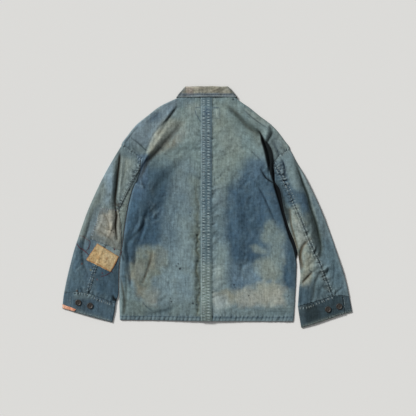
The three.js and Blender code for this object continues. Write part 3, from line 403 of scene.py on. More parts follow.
# each crease's colour mark is painted shade in its hollow, or a painted highlight where its tint is pale
SLEEVE_CREASES_R = [
    C([(293, 156, 0.4), (295.2, 161.4, 0.8), (299.6, 173.5, 1), (303.2, 184.6, 1), (307.7, 195, 1), (310.7, 207.8, 1), (315.3, 220.5, 1), (318.4, 233.3, 1), (320.9, 246, 0.9), (320.4, 256, 0.4)], -2.6, 3.4, 1.5, 0.8, 1.8, 0, (58, 66, 62)),
    C([(298, 160, 0.4), (304, 176, 1), (309.5, 190, 1), (314.5, 206, 1), (319.4, 222, 1), (322.8, 238, 0.8), (324, 252, 0.4)], 1.5, 1.6, 3.0),
    C([(287.4, 158, 0.3), (293, 172, 1), (299, 188, 1), (305, 206, 0.8), (311, 226, 0.4)], 1.2, 3.0, 3.0),
    C([(280, 157, 0.7), (283, 163, 1), (284.2, 170, 1), (286.6, 179, 0.7)], -1.5, 1.3, 1.5, 0.66, 1.0, 0, (42, 58, 72)),
    C([(277.6, 161, 0.4), (279.6, 166.5, 1), (281.2, 172, 0.5)], 0.9, 1.2, 1.2),
    C([(289.8, 209.8, 0.6), (291.3, 224.6, 1), (294.8, 238, 1), (297.6, 248, 0.8)], -1.8, 1.2, 1.7, 0.66, 1.0, 0, (88, 78, 60)),
    C([(293.6, 210, 0.4), (297, 226, 1), (301, 240, 0.6)], 1.2, 1.8, 3.0),
    C([(309.7, 239.4, 0.5), (305, 243.6, 0.9), (301.5, 248.6, 1), (300.4, 256.2, 1), (302.4, 266.4, 0.8)], -2.4, 1.8, 2.6, 0.72, 1.6, 0, (94, 82, 64)),
    C([(309, 247, 0.4), (306, 253, 1), (306, 262, 0.8), (309, 270, 0.3)], 1.5, 2.0, 2.6),
    C([(309, 269.6, 0.7), (311.8, 271.8, 1), (316, 269.4, 0.8), (318.6, 266.4, 0.3)], -1.2, 1.0, 1.2, 0.6, 0.8, 0, (44, 52, 54)),
    C([(311.4, 273.0, 0.7), (307.4, 277, 1), (303, 281.6, 0.8)], -1.8, 1.2, 1.5, 0.72, 0.95, 0, (86, 76, 60)),
    C([(302, 268, 0.4), (303.5, 274, 1), (300.4, 279.6, 0.6)], 1.2, 1.5, 1.8),
    C([(320.6, 272.4, 0.6), (316.8, 278.6, 1), (314.6, 286, 1), (313.4, 295, 1), (311.2, 303, 0.6)], -1.9, 1.6, 1.6, 0.58, 1.25, 0, (62, 72, 74)),
    C([(317, 259, 0.3), (311.5, 262.4, 1), (306.6, 267.4, 0.5)], -1.1, 1.3, 1.5, 0.4, 1.0, 0, (92, 92, 80)),
    C([(308, 283, 0.4), (306, 292, 1), (306, 303, 0.6)], 1.3, 2.0, 2.4),
    C([(325, 281, 0.5), (320.6, 289, 1), (319, 298, 0.6)], -1.1, 1.2, 1.4, 0.42, 1.0, 0, (62, 76, 82)),
    C([(316.5, 283, 0.3), (317, 291, 1), (315.4, 299, 0.5)], 1.0, 1.4, 1.4),
    C([(333.8, 262.6, 0.3), (334.4, 270, 1), (333, 278, 1), (329.2, 282.4, 0.7)], -1.4, 1.3, 1.8, 0.5, 1.0, 0, (64, 80, 88)),
    C([(330, 264, 0.3), (330, 272, 1), (328.4, 278, 0.4)], 0.9, 1.4, 1.6),
    C([(343, 287, 0.4), (339, 290, 1), (334.6, 294, 0.8)], -1.2, 1.1, 1.3, 0.5, 0.8, 0, (50, 64, 74)),
    C([(324, 256, 0.3), (327, 262, 1), (325, 268, 0.4)], -0.9, 1.2, 1.2, 0.35, 0.8, 0, (70, 86, 92)),
    C([(311.4, 250, 0.5), (310.6, 256, 1), (307.6, 261, 0.5)], -0.8, 1.0, 1.0, 0.36, 0.8, 0, (112, 104, 84)),
    C([(300, 286, 0.4), (301, 296, 1), (300, 305, 0.5)], -1.0, 1.6, 1.8, 0.35, 1.6, 0, (52, 70, 82)),
    C([(336, 250, 0.2), (340, 264, 1), (344, 280, 0.3)], 0.8, 2.4, 2.0),
    C([(324, 220, 0.2), (329, 238, 1), (332, 254, 0.3)], -0.6, 2.4, 2.4, 0.12, 2.0, 0, (96, 112, 116)),
    C([(313, 190, 0.2), (320, 208, 1), (327, 228, 0.3)], 0.7, 2.2, 2.0),
    C([(281.5, 192, 0.3), (283.6, 203, 1), (287.5, 214, 0.5)], -0.9, 1.8, 1.6, 0.4, 1.8, 0, (54, 62, 62)),
    C([(304, 219, 0.3), (306, 224, 1), (305, 230, 0.4)], -0.5, 0.9, 0.9, 0.25, 0.8, 0, (98, 100, 90)),
]


def gathers(path, n, length, seed, sides=(-1, 1), h=0.8, dark=0.34, lean=0.35, tint=(58, 72, 80), w=0.9, rim=0.32):
    """Short folds running off a sewn line, drawn up by its thread: n seeded places, length in photo pixels."""
    rng = np.random.default_rng(seed)
    p = line_of([(a, b, 1) for a, b in path])
    px, py = np.asarray(p, float)[:, 0], np.asarray(p, float)[:, 1]
    c = np.concatenate([[0], np.cumsum(np.hypot(np.diff(px), np.diff(py)))])
    out = []
    for _ in range(n):
        at = rng.uniform(0, c[-1])
        x0, y0 = np.interp(at, c, px), np.interp(at, c, py)
        x1, y1 = np.interp(min(at + 1.5, c[-1]), c, px), np.interp(min(at + 1.5, c[-1]), c, py)
        xb, yb = np.interp(max(at - 1.5, 0), c, px), np.interp(max(at - 1.5, 0), c, py)
        g = math.atan2(y1 - yb, x1 - xb)
        side = sides[int(rng.integers(len(sides)))]
        a = g + side * math.pi / 2 + rng.normal(0, 0.28) + side * lean
        m = length * rng.uniform(0.45, 1.25)
        b = a + rng.normal(0, 0.35)
        mid = (x0 + math.cos(a) * m * 0.45, y0 + math.sin(a) * m * 0.45)
        tip = (mid[0] + math.cos(b) * m * 0.55, mid[1] + math.sin(b) * m * 0.55)
        k = rng.uniform(0.6, 1.2)
        wd = w * rng.uniform(0.7, 1.3)
        # painted shade in the fold's hollow
        out.append(Crease([(x0, y0, 1), (mid[0], mid[1], 0.8), (tip[0], tip[1], 0.0)], -h * k, wd, wd * 1.2, dark * k, wd * 0.75, 0, tint))
        off = rng.choice([-1, 1]) * wd * 1.7
        ox, oy = -math.sin(a) * off, math.cos(a) * off
        # painted highlight on the ridge beside the fold (`rim`)
        out.append(Crease([(x0 + ox, y0 + oy, 0.8), (mid[0] + ox, mid[1] + oy, 0.8), (tip[0] + ox, tip[1] + oy, 0.0)], h * k * 0.8, wd, wd, dark * rim * k, wd * 0.7, 0, (146, 159, 160)))
    return out


ARM_L = [(121.5, 146), (127, 147.5), (131.7, 151.1), (136.5, 154.4), (141, 158)]
ARM_R = [(289.5, 149), (285, 152.3), (280, 155.8), (276.5, 159.6), (273.4, 163.2)]
BACKSEAM_L = [(140.7, 158.6), (138.8, 167.5), (134.6, 175.3), (130, 184.2), (124.6, 195), (119.4, 205.6), (115.8, 215.6)]
BACKSEAM_L2 = [(96.2, 264.6), (92.4, 276), (89.4, 290)]
BACKSEAM_R = [(274.4, 163.4), (277.6, 170.5), (281.8, 178.2), (286.4, 187.6), (291, 198.2), (295.4, 207.4), (299.6, 217), (304.4, 228.8), (309, 240.2)]
BACKSEAM_R2 = [(304.4, 228.8), (309, 240.2), (314, 251.9), (319.2, 262), (324.2, 274.4), (328.6, 285.4), (331.6, 294)]
SLEEVE_CREASES_L += gathers(ARM_L, 16, 6.0, 11, (1,), 0.7, 0.36)
SLEEVE_CREASES_L += gathers(BACKSEAM_L, 30, 4.5, 12, (-1, 1), 0.5, 0.2, 0.35, (58, 72, 80), 1.0, 0.15)
SLEEVE_CREASES_L += gathers([(122, 200), (117.5, 209), (115.5, 217)], 22, 8.0, 13, (-1, 1), 0.9, 0.5, 0.2, (62, 58, 48))
SLEEVE_CREASES_L += gathers(BACKSEAM_L2, 14, 5.0, 14, (-1, 1), 0.5, 0.2, 0.3, (50, 66, 76), 1.1, 0.1)
SLEEVE_CREASES_L += gathers([(66, 293), (76, 291.7), (88, 293), (101, 298), (114, 303)], 26, 6.5, 15, (-1,), 0.6, 0.3, 0.0)
SLEEVE_CREASES_L += gathers([(84, 236), (80, 252), (76, 270)], 12, 8.0, 16, (-1, 1), 0.5, 0.2, 0.9)
SLEEVE_CREASES_R += gathers(ARM_R, 16, 5.0, 21, (-1,), 0.7, 0.4)
SLEEVE_CREASES_R += gathers([(279, 158), (281, 166), (283.5, 174), (287, 182)], 18, 5.5, 22, (-1, 1), 0.8, 0.4, 0.3, (44, 60, 74), 1.0, 0.2)
SLEEVE_CREASES_R += gathers(BACKSEAM_R, 26, 4.5, 23, (-1, 1), 0.5, 0.2, 0.3, (48, 62, 70), 1.1, 0.1)
SLEEVE_CREASES_R += gathers(BACKSEAM_R2, 30, 12.0, 24, (-1,), 1.1, 0.26, 0.5, (62, 74, 76), 1.7, 0.2)
SLEEVE_CREASES_R += gathers(BACKSEAM_R2, 24, 9.0, 25, (1,), 1.1, 0.28, 0.5, (66, 70, 64), 1.5, 0.2)
SLEEVE_CREASES_R += gathers([(298, 306.5), (308, 305.6), (316, 302.4), (326, 298.2), (340, 294.4)], 26, 7.0, 26, (-1,), 0.7, 0.34, 0.0)
BODY_CREASES += gathers(ARM_L, 14, 6.0, 31, (-1,), 0.6, 0.3)
BODY_CREASES += gathers(ARM_R, 14, 5.0, 32, (1,), 0.6, 0.3)
BODY_CREASES += gathers([(122, 315.4), (160, 315.6), (200, 316.6)], 30, 5.0, 33, (-1,), 0.4, 0.22, 0.0)
BODY_CREASES += gathers([(212, 316.8), (250, 316.8), (292, 316.4)], 34, 5.0, 34, (-1,), 0.4, 0.22, 0.0)
BODY_CREASES += gathers([(200.4, 104), (200.4, 210), (200.4, 300)], 50, 3.2, 35, (1,), 0.5, 0.26, 0.2)
BODY_CREASES += gathers([(212.4, 104), (212.4, 210), (212.4, 300)], 60, 4.0, 36, (-1,), 0.5, 0.26, 0.2)
BODY_CREASES += gathers([(212.6, 150), (212.6, 240), (212.6, 300)], 26, 15.0, 41, (-1,), 0.55, 0.16, 0.5, (64, 80, 88), 1.7)
BODY_CREASES += gathers([(200.2, 130), (200.2, 220), (200.2, 300)], 26, 13.0, 42, (1,), 0.55, 0.16, 0.4, (64, 78, 82), 1.6)
BODY_CREASES += gathers([(197.5, 225), (197, 270), (198, 314)], 26, 4.5, 43, (-1, 1), 0.8, 0.3, 0.9, (60, 68, 62), 1.2, 0.3)
BODY_CREASES += gathers([(140, 180), (152, 200), (150, 226)], 20, 12.0, 44, (-1, 1), 0.7, 0.2, 0.9, (44, 60, 70), 1.5)
BODY_CREASES += gathers([(160, 150), (190, 150), (230, 146), (252, 150)], 24, 12.0, 45, (-1, 1), 0.5, 0.14, 0.9, (84, 96, 96), 1.7)
BODY_CREASES += gathers([(160, 250), (170, 280), (160, 304)], 20, 12.0, 46, (-1, 1), 0.5, 0.14, 0.9, (84, 98, 102), 1.7)
BODY_CREASES += gathers([(240, 180), (250, 220), (240, 280)], 24, 13.0, 47, (-1, 1), 0.6, 0.16, 0.9, (48, 66, 78), 1.7)
BODY_CREASES += [
    C([(145, 224, 0.4), (137, 233, 1), (128, 242, 0.9), (124.6, 252, 0.4)], -2.2, 1.8, 2.2, 0.55, 1.5, 0, (34, 48, 56)),
    C([(149, 226, 0.3), (142, 236, 1), (136, 246, 0.4)], 1.4, 2.0, 2.4),
    C([(124.4, 236, 0.5), (127, 250, 1), (129, 266, 1), (130.6, 284, 0.5)], -1.8, 1.4, 2.0, 0.5, 1.2, 0, (36, 50, 58)),
    C([(131, 240, 0.4), (133, 254, 1), (133, 266, 0.4)], 1.2, 1.6, 2.0),
    C([(143, 302.4, 0.8), (147, 307, 1), (152.6, 310.6, 0.5)], -0.3, 0.8, 0.9, 0.3, 0.5, 0, (40, 56, 70)),
    C([(150, 312.4, 0.3), (162, 311.6, 1), (172, 308.6, 1), (180, 303.4, 0.3)], -0.9, 1.8, 2.2, 0.28, 2.2, 0, (72, 88, 92)),
    C([(125.8, 270, 0.4), (126.4, 288, 1), (125.8, 306, 1), (123.8, 314, 0.6)], -1.2, 1.0, 1.4, 0.5, 0.9, 0, (60, 66, 60)),
    C([(122.8, 278, 0.4), (123, 296, 1), (122, 312, 0.6)], 1.0, 1.0, 1.2),
]
# painted shade on the crisp dark side of the long fold down the right sleeve and in other folds of it, with a painted
# highlight on the long fold's lit side
SLEEVE_CREASES_R += [
    C([(294.5, 160, 0.4), (298.8, 172, 0.9), (302.6, 183.6, 1), (306.8, 194.5, 1), (310.2, 207.8, 1), (314.6, 220.5, 1), (317.8, 233.3, 1), (320.2, 246, 0.8), (319.8, 256, 0.3)], -0.8, 1.4, 0.9, 0.8, 1.15, 0, (34, 42, 40)),
    C([(297.4, 161, 0.3), (301.2, 172, 1), (305.2, 183.6, 1), (309.6, 194.5, 1), (313.2, 207.8, 0.8), (317.4, 220.5, 0.5)], 0.6, 0.9, 1.6, 0.35, 0.9, 0, (140, 150, 146)),
    C([(303.2, 246, 0.4), (300.6, 252, 1), (299.6, 260, 1), (301, 269, 0.6)], -1.2, 1.2, 1.6, 0.7, 1.2, 0, (70, 62, 50)),
    C([(311.2, 273, 0.7), (306.6, 278, 1), (302.6, 282.4, 0.6)], -0.8, 1.0, 1.2, 0.7, 0.9, 0, (64, 58, 48)),
    C([(280.4, 158, 0.8), (283.4, 163.4, 1), (284.8, 170, 1), (284.2, 176, 0.6)], -0.9, 1.0, 1.1, 0.8, 0.85, 0, (24, 36, 46)),
    C([(277.4, 163, 0.5), (279.4, 170, 1), (281.6, 176, 0.8)], -0.6, 0.9, 0.9, 0.55, 0.8, 0, (34, 48, 60)),
]
# painted shade on the crisp dark side of the crease down the left sleeve (with a painted highlight on its lit side),
# and painted shade in the dark folds beside the arms
SLEEVE_CREASES_L += [
    C([(119.6, 152, 0.5), (119.2, 160, 1), (117.8, 173.4, 1), (116.4, 186.8, 1), (115.2, 198, 1), (115.4, 207.5, 1), (117.0, 212.7, 0.9), (116.4, 222, 0.9), (116.4, 231, 0.9), (117.2, 239, 0.4)], -0.6, 1.0, 0.9, 0.85, 0.85, 0, (22, 24, 22)),
    C([(122.4, 156, 0.4), (121.4, 172, 1), (119.4, 190, 0.9), (118.4, 200, 0.4)], 0.7, 0.9, 1.4, 0.35, 1.0, 0, (150, 156, 148)),
    C([(113.4, 297.6, 1), (115.2, 299.2, 1), (117.2, 299.8, 1)], -0.8, 1.2, 1.2, 0.95, 1.1, 0, (8, 10, 12)),
]
BODY_CREASES += [
    C([(224, 106, 0.2), (232, 112, 0.8), (242, 119, 1), (252, 127, 1), (260, 134, 0.8)], -0.9, 2.0, 1.6, 0.42, 1.9, 0, (58, 70, 68)),
    C([(119.8, 249, 0.6), (121.6, 254, 1), (123.8, 260, 0.6)], -0.9, 1.0, 1.4, 0.8, 1.0, 0, (14, 20, 24)),
    C([(176.6, 107.6, 0.8), (172, 113, 1), (167, 119.6, 0.9), (161, 126, 0.3)], -0.8, 1.2, 1.2, 0.5, 1.0, 0, (52, 62, 62)),
]

# painted shade, dark blue, at the end of the shoulder fold with a painted highlight on its ridge, and painted shade and
# highlights in the drawn-up cloth round both armholes
BODY_CREASES += [
    C([(149, 156.6, 0.5), (145.4, 161, 1), (141.6, 168, 1), (138.2, 176.4, 0.8), (136.6, 181, 0.3)], -0.9, 0.9, 1.2, 0.78, 1.0, 0, (22, 38, 56)),
    C([(143.6, 157.4, 0.4), (140.8, 162, 1), (138.4, 169, 0.8)], 0.6, 1.0, 1.2, 0.35, 0.9, 0, (120, 142, 156)),
]
SLEEVE_CREASES_L += gathers([(125, 150.6), (132, 154.6), (138, 159.6), (137, 167.6), (133, 176)], 34, 4.8, 51, (-1, 1), 1.1, 0.72, 0.35, (40, 56, 68), 0.8, 0.5)
SLEEVE_CREASES_R += gathers([(276, 161), (279, 167), (281.4, 173), (285, 181), (289, 190)], 32, 4.6, 52, (-1, 1), 1.1, 0.66, 0.3, (32, 46, 58), 0.8, 0.55)


# ------------------------------------------------------------------ the worn colours, as outlines of fading, shade and stain
def body_colour(x, y):
    col = np.tile(lin((107, 123, 129)), (len(x), 1))
    z = lambda *a, **k: zone(x, y, col, *a, **k)
    # yoke and upper centre, faded green-grey
    z([(120, 84), (300, 84), (300, 150), (262, 158), (246, 172), (234, 186), (226, 200), (190, 190), (172, 172), (150, 168), (120, 160)], (115, 130, 130), 1.0, 8, 4, 0.1)
    z([(180, 104), (232, 104), (252, 140), (244, 158), (226, 176), (196, 170), (184, 150)], (118, 134, 133), 0.8, 7, 4, 0.1)
    z([(140, 100), (178, 96), (176, 110), (160, 128), (146, 148), (120, 142), (118, 120)], (108, 121, 128), 0.95, 4, 2)
    z([(150, 112), (162, 112), (160, 121), (148, 122)], (92, 108, 120), 0.7, 3, 2)
    z([(150, 100), (168, 98), (160, 108), (140, 120), (126, 136), (120, 132), (134, 116)], (124, 136, 136), 0.7, 3, 1.5)
    z([(131, 139), (146, 150), (142, 160), (124, 150)], (104, 116, 118), 0.8, 3, 1.5)
    z([(118, 140), (132, 144), (140, 156), (124, 152)], (96, 110, 114), 0.8, 3, 1.5)
    z([(182, 96), (195, 96), (193, 104), (178, 108)], (100, 117, 125), 0.7, 4, 3, 0.2)
    z([(186, 104), (200, 103), (199, 117), (187, 116)], (128, 134, 128), 0.6, 5, 3, 0.2)
    z([(211, 112), (224, 112), (224, 130), (213, 132)], (132, 138, 129), 0.7, 5, 3, 0.2)
    z([(214, 128), (240, 128), (238, 152), (216, 158)], (126, 136, 129), 0.6, 6, 4, 0.2)
    z([(226, 100), (242, 104), (262, 120), (268, 132), (250, 126), (232, 110)], (114, 126, 124), 0.6, 4, 3, 0.2)
    z([(244, 108), (262, 117), (274, 127), (268, 128), (252, 118)], (134, 143, 138), 0.75, 2.5, 1)
    z([(266, 128), (284, 140), (290, 150), (280, 156), (270, 146)], (108, 119, 120), 0.85, 3.5, 2)
    z([(274, 128), (286, 144), (291, 150), (284, 148), (276, 136)], (124, 134, 132), 0.7, 2.5, 1)
    z([(252, 128), (262, 134), (264, 148), (254, 144)], (104, 112, 106), 0.6, 4, 2)
    # the leaning fold at the left shoulder: stained, paler on its lit slope (painted highlight) and brown in its hollow
    # (stain and painted shade)
    z([(168, 118), (182, 124), (172, 140), (160, 150), (150, 158), (147, 156), (152, 140), (158, 130)], (134, 138, 130), 0.9, 5, 2.5, 0.15)
    z([(156, 132), (164, 130), (158, 144), (150, 154), (148, 150)], (158, 157, 143), 0.7, 3.0, 1.5, 0.2)
    z([(182, 124), (186, 134), (172, 150), (156, 154), (168, 142)], (116, 108, 92), 0.6, 4.5, 3, 0.3)
    z([(176, 112), (192, 112), (196, 124), (180, 132)], (124, 133, 127), 0.6, 5, 3, 0.2)
    # left half: dark unfaded cloth
    z([(142, 160), (160, 162), (176, 160), (172, 176), (170, 200), (166, 216), (163, 232), (158, 246), (146, 250), (134, 252), (126, 262), (118, 262), (120, 240), (124, 214), (130, 188), (138, 172)], (66, 86, 100), 0.96, 8, 6, 0.22)
    z([(152, 168), (168, 172), (166, 196), (160, 212), (148, 222), (140, 214), (144, 192)], (52, 70, 82), 0.72, 7, 5, 0.3)
    z([(132, 188), (142, 186), (138, 208), (130, 228), (122, 244), (122, 224)], (70, 95, 114), 0.85, 4, 2)
    z([(146, 214), (158, 218), (160, 240), (148, 244), (140, 238)], (62, 84, 100), 0.8, 5, 3, 0.2)
    z([(146, 156), (178, 148), (190, 156), (176, 168), (150, 168)], (104, 117, 116), 0.6, 6, 3)
    z([(176, 160), (196, 162), (198, 204), (180, 214), (170, 196)], (106, 120, 124), 0.7, 7, 4)
    z([(166, 200), (182, 196), (184, 240), (176, 262), (164, 250)], (100, 118, 126), 0.75, 7, 5, 0.15)
    z([(176, 214), (196, 216), (195, 262), (178, 258)], (118, 133, 135), 0.75, 7, 5, 0.1)
    z([(160, 248), (192, 248), (194, 302), (162, 300), (156, 276)], (118, 134, 138), 0.85, 7, 5, 0.1)
    z([(176, 262), (196, 258), (196, 316), (178, 314)], (114, 130, 134), 0.6, 6, 4)
    # painted shade: a soft greenish-brown band left of the lapped seam
    z([(190, 176), (200, 176), (200, 236), (192, 236)], (108, 118, 112), 0.6, 4.5, 3, 0.2)
    z([(192, 232), (201, 232), (201, 318), (193, 318)], (98, 108, 102), 0.5, 3, 2.5, 0.3)
    z([(119, 240), (129, 240), (133, 284), (128, 290), (119, 280)], (84, 104, 114), 0.9, 3, 1.5)
    z([(128, 243), (134, 243), (136, 262), (129, 266)], (80, 105, 124), 0.8, 2.5, 1)
    # left stain
    z([(138, 247), (150, 246), (160, 248), (165, 254), (168, 262), (163, 270), (156, 276), (152, 284), (154, 296), (146, 301), (138, 298), (134, 288), (131, 278), (128, 268), (133, 258)], (113, 120, 112), 0.9, 4.6, 4, 0.35)
    z([(131, 262), (142, 262), (140, 276), (136, 284), (130, 280)], (122, 116, 103), 0.4, 5, 4, 0.4)
    z([(148, 252), (158, 252), (156, 268), (149, 272)], (118, 113, 98), 0.5, 3, 2)
    z([(137, 286), (146, 288), (142, 298), (134, 296)], (126, 119, 104), 0.5, 3.4, 2.5, 0.4)
    z([(151, 297), (157, 297), (157, 303), (150, 303)], (138, 122, 103), 0.55, 1.8, 1)
    z([(146, 290), (156, 286), (160, 294), (158, 302), (148, 300)], (120, 130, 130), 0.7, 2.5, 1.5)
    z([(119, 286), (132, 284), (140, 300), (158, 306), (190, 302), (198, 314), (160, 316), (119, 316)], (107, 122, 122), 0.85, 4, 3)
    z([(122, 300), (144, 302), (150, 310), (142, 315), (122, 314)], (104, 115, 110), 0.6, 3, 2)
    z([(156, 306), (176, 303), (192, 306), (188, 314), (160, 315)], (108, 122, 124), 0.55, 3, 2)
    # right half: dark unfaded cloth and paler bays
    z([(212, 100), (226, 104), (236, 130), (242, 152), (234, 170), (222, 188), (212, 190)], (124, 135, 130), 0.7, 6, 4)
    z([(240, 172), (250, 162), (262, 162), (270, 172), (276, 190), (282, 208), (286, 222), (280, 232), (268, 224), (262, 236), (264, 246), (258, 262), (252, 276), (248, 290), (232, 290), (229, 268), (224, 246), (224, 222), (226, 200), (233, 184)], (70, 91, 106), 0.97, 9, 7, 0.2)
    z([(236, 196), (250, 200), (262, 224), (262, 244), (246, 236), (238, 218)], (58, 79, 95), 0.6, 7, 5, 0.3)
    z([(232, 236), (248, 240), (262, 256), (252, 272), (238, 270)], (58, 78, 93), 0.7, 6, 4, 0.3)
    z([(250, 160), (264, 162), (266, 172), (256, 178), (246, 172)], (86, 106, 120), 0.7, 4, 2)
    z([(262, 166), (268, 168), (273, 180), (266, 178)], (74, 94, 106), 0.7, 2, 1)
    z([(268, 182), (276, 190), (284, 214), (276, 214)], (66, 86, 102), 0.7, 3, 2)
    z([(212, 186), (224, 184), (226, 208), (214, 212)], (108, 121, 124), 0.7, 4, 2)
    z([(212, 206), (224, 206), (224, 238), (213, 240)], (100, 116, 120), 0.7, 4, 3)
    z([(212, 240), (226, 244), (229, 262), (226, 292), (213, 294)], (122, 137, 137), 0.9, 7, 5, 0.15)
    z([(213, 264), (222, 264), (223, 290), (213, 292)], (140, 151, 149), 0.8, 6, 4, 0.15)
    z([(283, 226), (292, 240), (297, 256), (296, 296), (285, 292), (282, 268), (286, 250)], (64, 84, 98), 0.95, 4.2, 3, 0.2)
    z([(262, 262), (276, 274), (274, 286), (256, 284), (250, 276)], (98, 118, 132), 0.6, 4, 3)
    z([(232, 270), (250, 276), (250, 292), (232, 292)], (94, 114, 128), 0.7, 4, 3)
    # right stain: peak, arms and the wide pale foot
    z([(266, 224), (270, 220.5), (275, 223), (280, 229), (285.5, 233), (285, 239), (281, 243), (280.5, 254), (282, 266), (280, 280), (272, 281), (262, 278), (254, 272), (252.5, 264), (258, 259), (266, 257), (271, 252), (270, 244), (262, 240), (260.5, 234), (264, 231)], (114, 127, 126), 0.95, 3.4, 3.2, 0.25)
    z([(250, 246), (256, 244.6), (262, 248), (267, 252.6), (262, 254), (254, 251)], (116, 127, 124), 0.85, 2.2, 1.6)
    z([(280.5, 248), (283.5, 250), (286, 264), (283, 266)], (118, 130, 130), 0.7, 1.6, 0.8)
    z([(256, 262), (270, 258), (278, 270), (272, 280), (258, 274)], (132, 137, 127), 0.6, 4, 2.5)
    z([(236, 290), (252, 286), (262, 282), (278, 282), (284, 290), (284, 302), (270, 306), (252, 306), (236, 304), (214, 304), (213, 292)], (141, 145, 137), 0.92, 5.2, 4.2, 0.25)
    z([(258, 284), (274, 284), (280, 294), (272, 303), (256, 301)], (146, 150, 140), 0.75, 5, 3.5, 0.3)
    z([(220, 290), (231, 290), (234, 302), (222, 303)], (134, 134, 121), 0.7, 4, 3, 0.3)
    z([(213, 293), (222, 293), (222, 302), (213, 302)], (146, 147, 134), 0.6, 2.4, 1.5)
    z([(212, 303), (226, 303), (226, 315), (212, 315)], (138, 150, 148), 0.8, 3, 2)
    z([(226, 306), (260, 308), (294, 304), (294, 316), (226, 316)], (112, 126, 127), 0.85, 3, 2)
    z([(256, 312), (294, 308), (294, 316), (256, 316)], (94, 110, 114), 0.6, 2.4, 1.5)
    z([(282, 290), (294, 288), (294, 304), (284, 304)], (110, 125, 128), 0.7, 3, 2)
    # hem
    z([(118, 316), (296, 317), (296, 324), (118, 322)], (78, 95, 104), 0.85, 0.7, 0.3)
    # last corrections, small and soft
    z([(212, 296), (226, 294), (230, 306), (214, 308)], (152, 160, 158), 0.7, 4, 3, 0.2)
    z([(236, 292), (284, 288), (284, 304), (240, 306)], (155, 154, 144), 0.6, 5, 3, 0.25)
    z([(226, 264), (262, 262), (258, 282), (228, 284)], (106, 124, 134), 0.5, 5, 3, 0.2)
    z([(134, 262), (146, 262), (144, 278), (136, 278)], (128, 132, 124), 0.6, 4, 3, 0.2)
    z([(154, 250), (166, 250), (164, 268), (156, 266)], (122, 132, 132), 0.6, 4, 3, 0.2)
    z([(142, 292), (158, 292), (156, 306), (144, 306)], (132, 137, 131), 0.6, 4, 3, 0.2)
    z([(124, 232), (134, 236), (134, 262), (126, 262)], (56, 75, 88), 0.8, 2.5, 2, 0.2)
    z([(144, 309), (170, 307), (166, 317), (146, 317)], (88, 104, 110), 0.35, 3, 2, 0.2)
    z([(220, 132), (246, 132), (240, 150), (222, 150)], (132, 142, 138), 0.4, 6, 4, 0.2)
    z([(176, 128), (200, 126), (200, 142), (178, 142)], (130, 142, 141), 0.5, 5, 4, 0.2)
    z([(144, 150), (158, 158), (176, 162), (172, 184), (150, 186), (140, 178)], (74, 92, 100), 0.35, 6, 4, 0.3)
    z([(138, 157), (147, 156), (148, 176), (144, 190), (134, 188), (136, 172)], (84, 104, 122), 0.8, 2.4, 1.8, 0.2)
    z([(136, 180), (146, 180), (146, 196), (132, 200), (132, 188)], (78, 99, 117), 0.6, 4, 3, 0.2)
    return col


def strip_colour(x, y):
    """The lapped centre seam."""
    col = np.tile(lin((95, 112, 117)), (len(x), 1))
    z = lambda *a, **k: zone(x, y, col, *a, **k)
    z([(198, 90), (214, 90), (214, 112), (198, 112)], (100, 117, 123), 0.9, 6, 2)
    z([(198, 112), (214, 112), (214, 170), (198, 170)], (97, 112, 118), 0.8, 8, 3)
    z([(198, 170), (214, 170), (214, 212), (198, 212)], (84, 102, 110), 0.8, 8, 3)
    z([(198, 228), (214, 228), (214, 262), (198, 262)], (92, 108, 112), 0.7, 6, 3)
    z([(198, 262), (214, 262), (214, 324), (198, 324)], (118, 130, 124), 0.85, 6, 3)
    z([(198, 306), (214, 306), (214, 324), (198, 324)], (106, 116, 110), 0.6, 5, 2)
    return col


def sleeve_left_colour(x, y):
    col = np.tile(lin((120, 132, 132)), (len(x), 1))
    z = lambda *a, **k: zone(x, y, col, *a, **k)
    z([(116, 146), (142, 152), (138, 176), (128, 196), (120, 210), (112, 208), (112, 168)], (118, 131, 131), 0.9, 5, 3, 0.2)
    z([(122, 158), (134, 158), (130, 176), (122, 192)], (134, 141, 134), 0.7, 5, 3, 0.3)
    z([(104, 166), (114, 160), (112, 196), (104, 204), (98, 200)], (122, 138, 146), 0.9, 4, 2)
    z([(96, 186), (106, 182), (104, 206), (98, 212), (90, 206)], (116, 126, 124), 0.8, 4, 2)
    z([(86, 206), (100, 196), (98, 222), (90, 240), (78, 238), (80, 222)], (110, 119, 115), 0.85, 4, 3)
    z([(94, 208), (102, 204), (98, 222), (92, 238), (86, 236)], (98, 112, 120), 0.8, 3, 2)
    z([(126, 190), (134, 188), (130, 216), (124, 244), (118, 244), (119, 214)], (122, 132, 127), 0.85, 3, 2, 0.2)
    z([(114, 236), (124, 236), (123, 252), (114, 254)], (122, 132, 130), 0.7, 3, 2)
    z([(118, 142), (128, 144), (144, 154), (142, 166), (134, 160), (126, 156), (116, 154)], (92, 106, 112), 0.85, 3.5, 2.5, 0.3)
    # painted shade along the deep groove down the sleeve
    z([(115, 150), (124, 148), (123, 176), (119, 204), (117, 236), (113, 236), (113, 200)], (74, 82, 80), 0.5, 2.5, 1.5, 0.2)
    # forearm, bluer and darker
    z([(70, 240), (92, 240), (100, 262), (120, 258), (124, 300), (112, 312), (60, 300), (64, 270)], (69, 88, 99), 0.95, 5, 3, 0.2)
    z([(72, 244), (82, 246), (82, 270), (74, 296), (60, 300), (66, 268)], (80, 99, 109), 0.8, 4, 2, 0.2)
    z([(84, 240), (96, 242), (92, 262), (84, 256)], (88, 104, 114), 0.7, 3, 2)
    z([(96, 266), (116, 268), (118, 298), (98, 294)], (62, 82, 95), 0.7, 4, 3, 0.2)
    z([(84, 262), (94, 264), (90, 288), (84, 288)], (82, 100, 112), 0.5, 3, 2)
    z([(108, 280), (120, 278), (120, 304), (108, 300)], (66, 85, 98), 0.75, 3, 2)
    return col


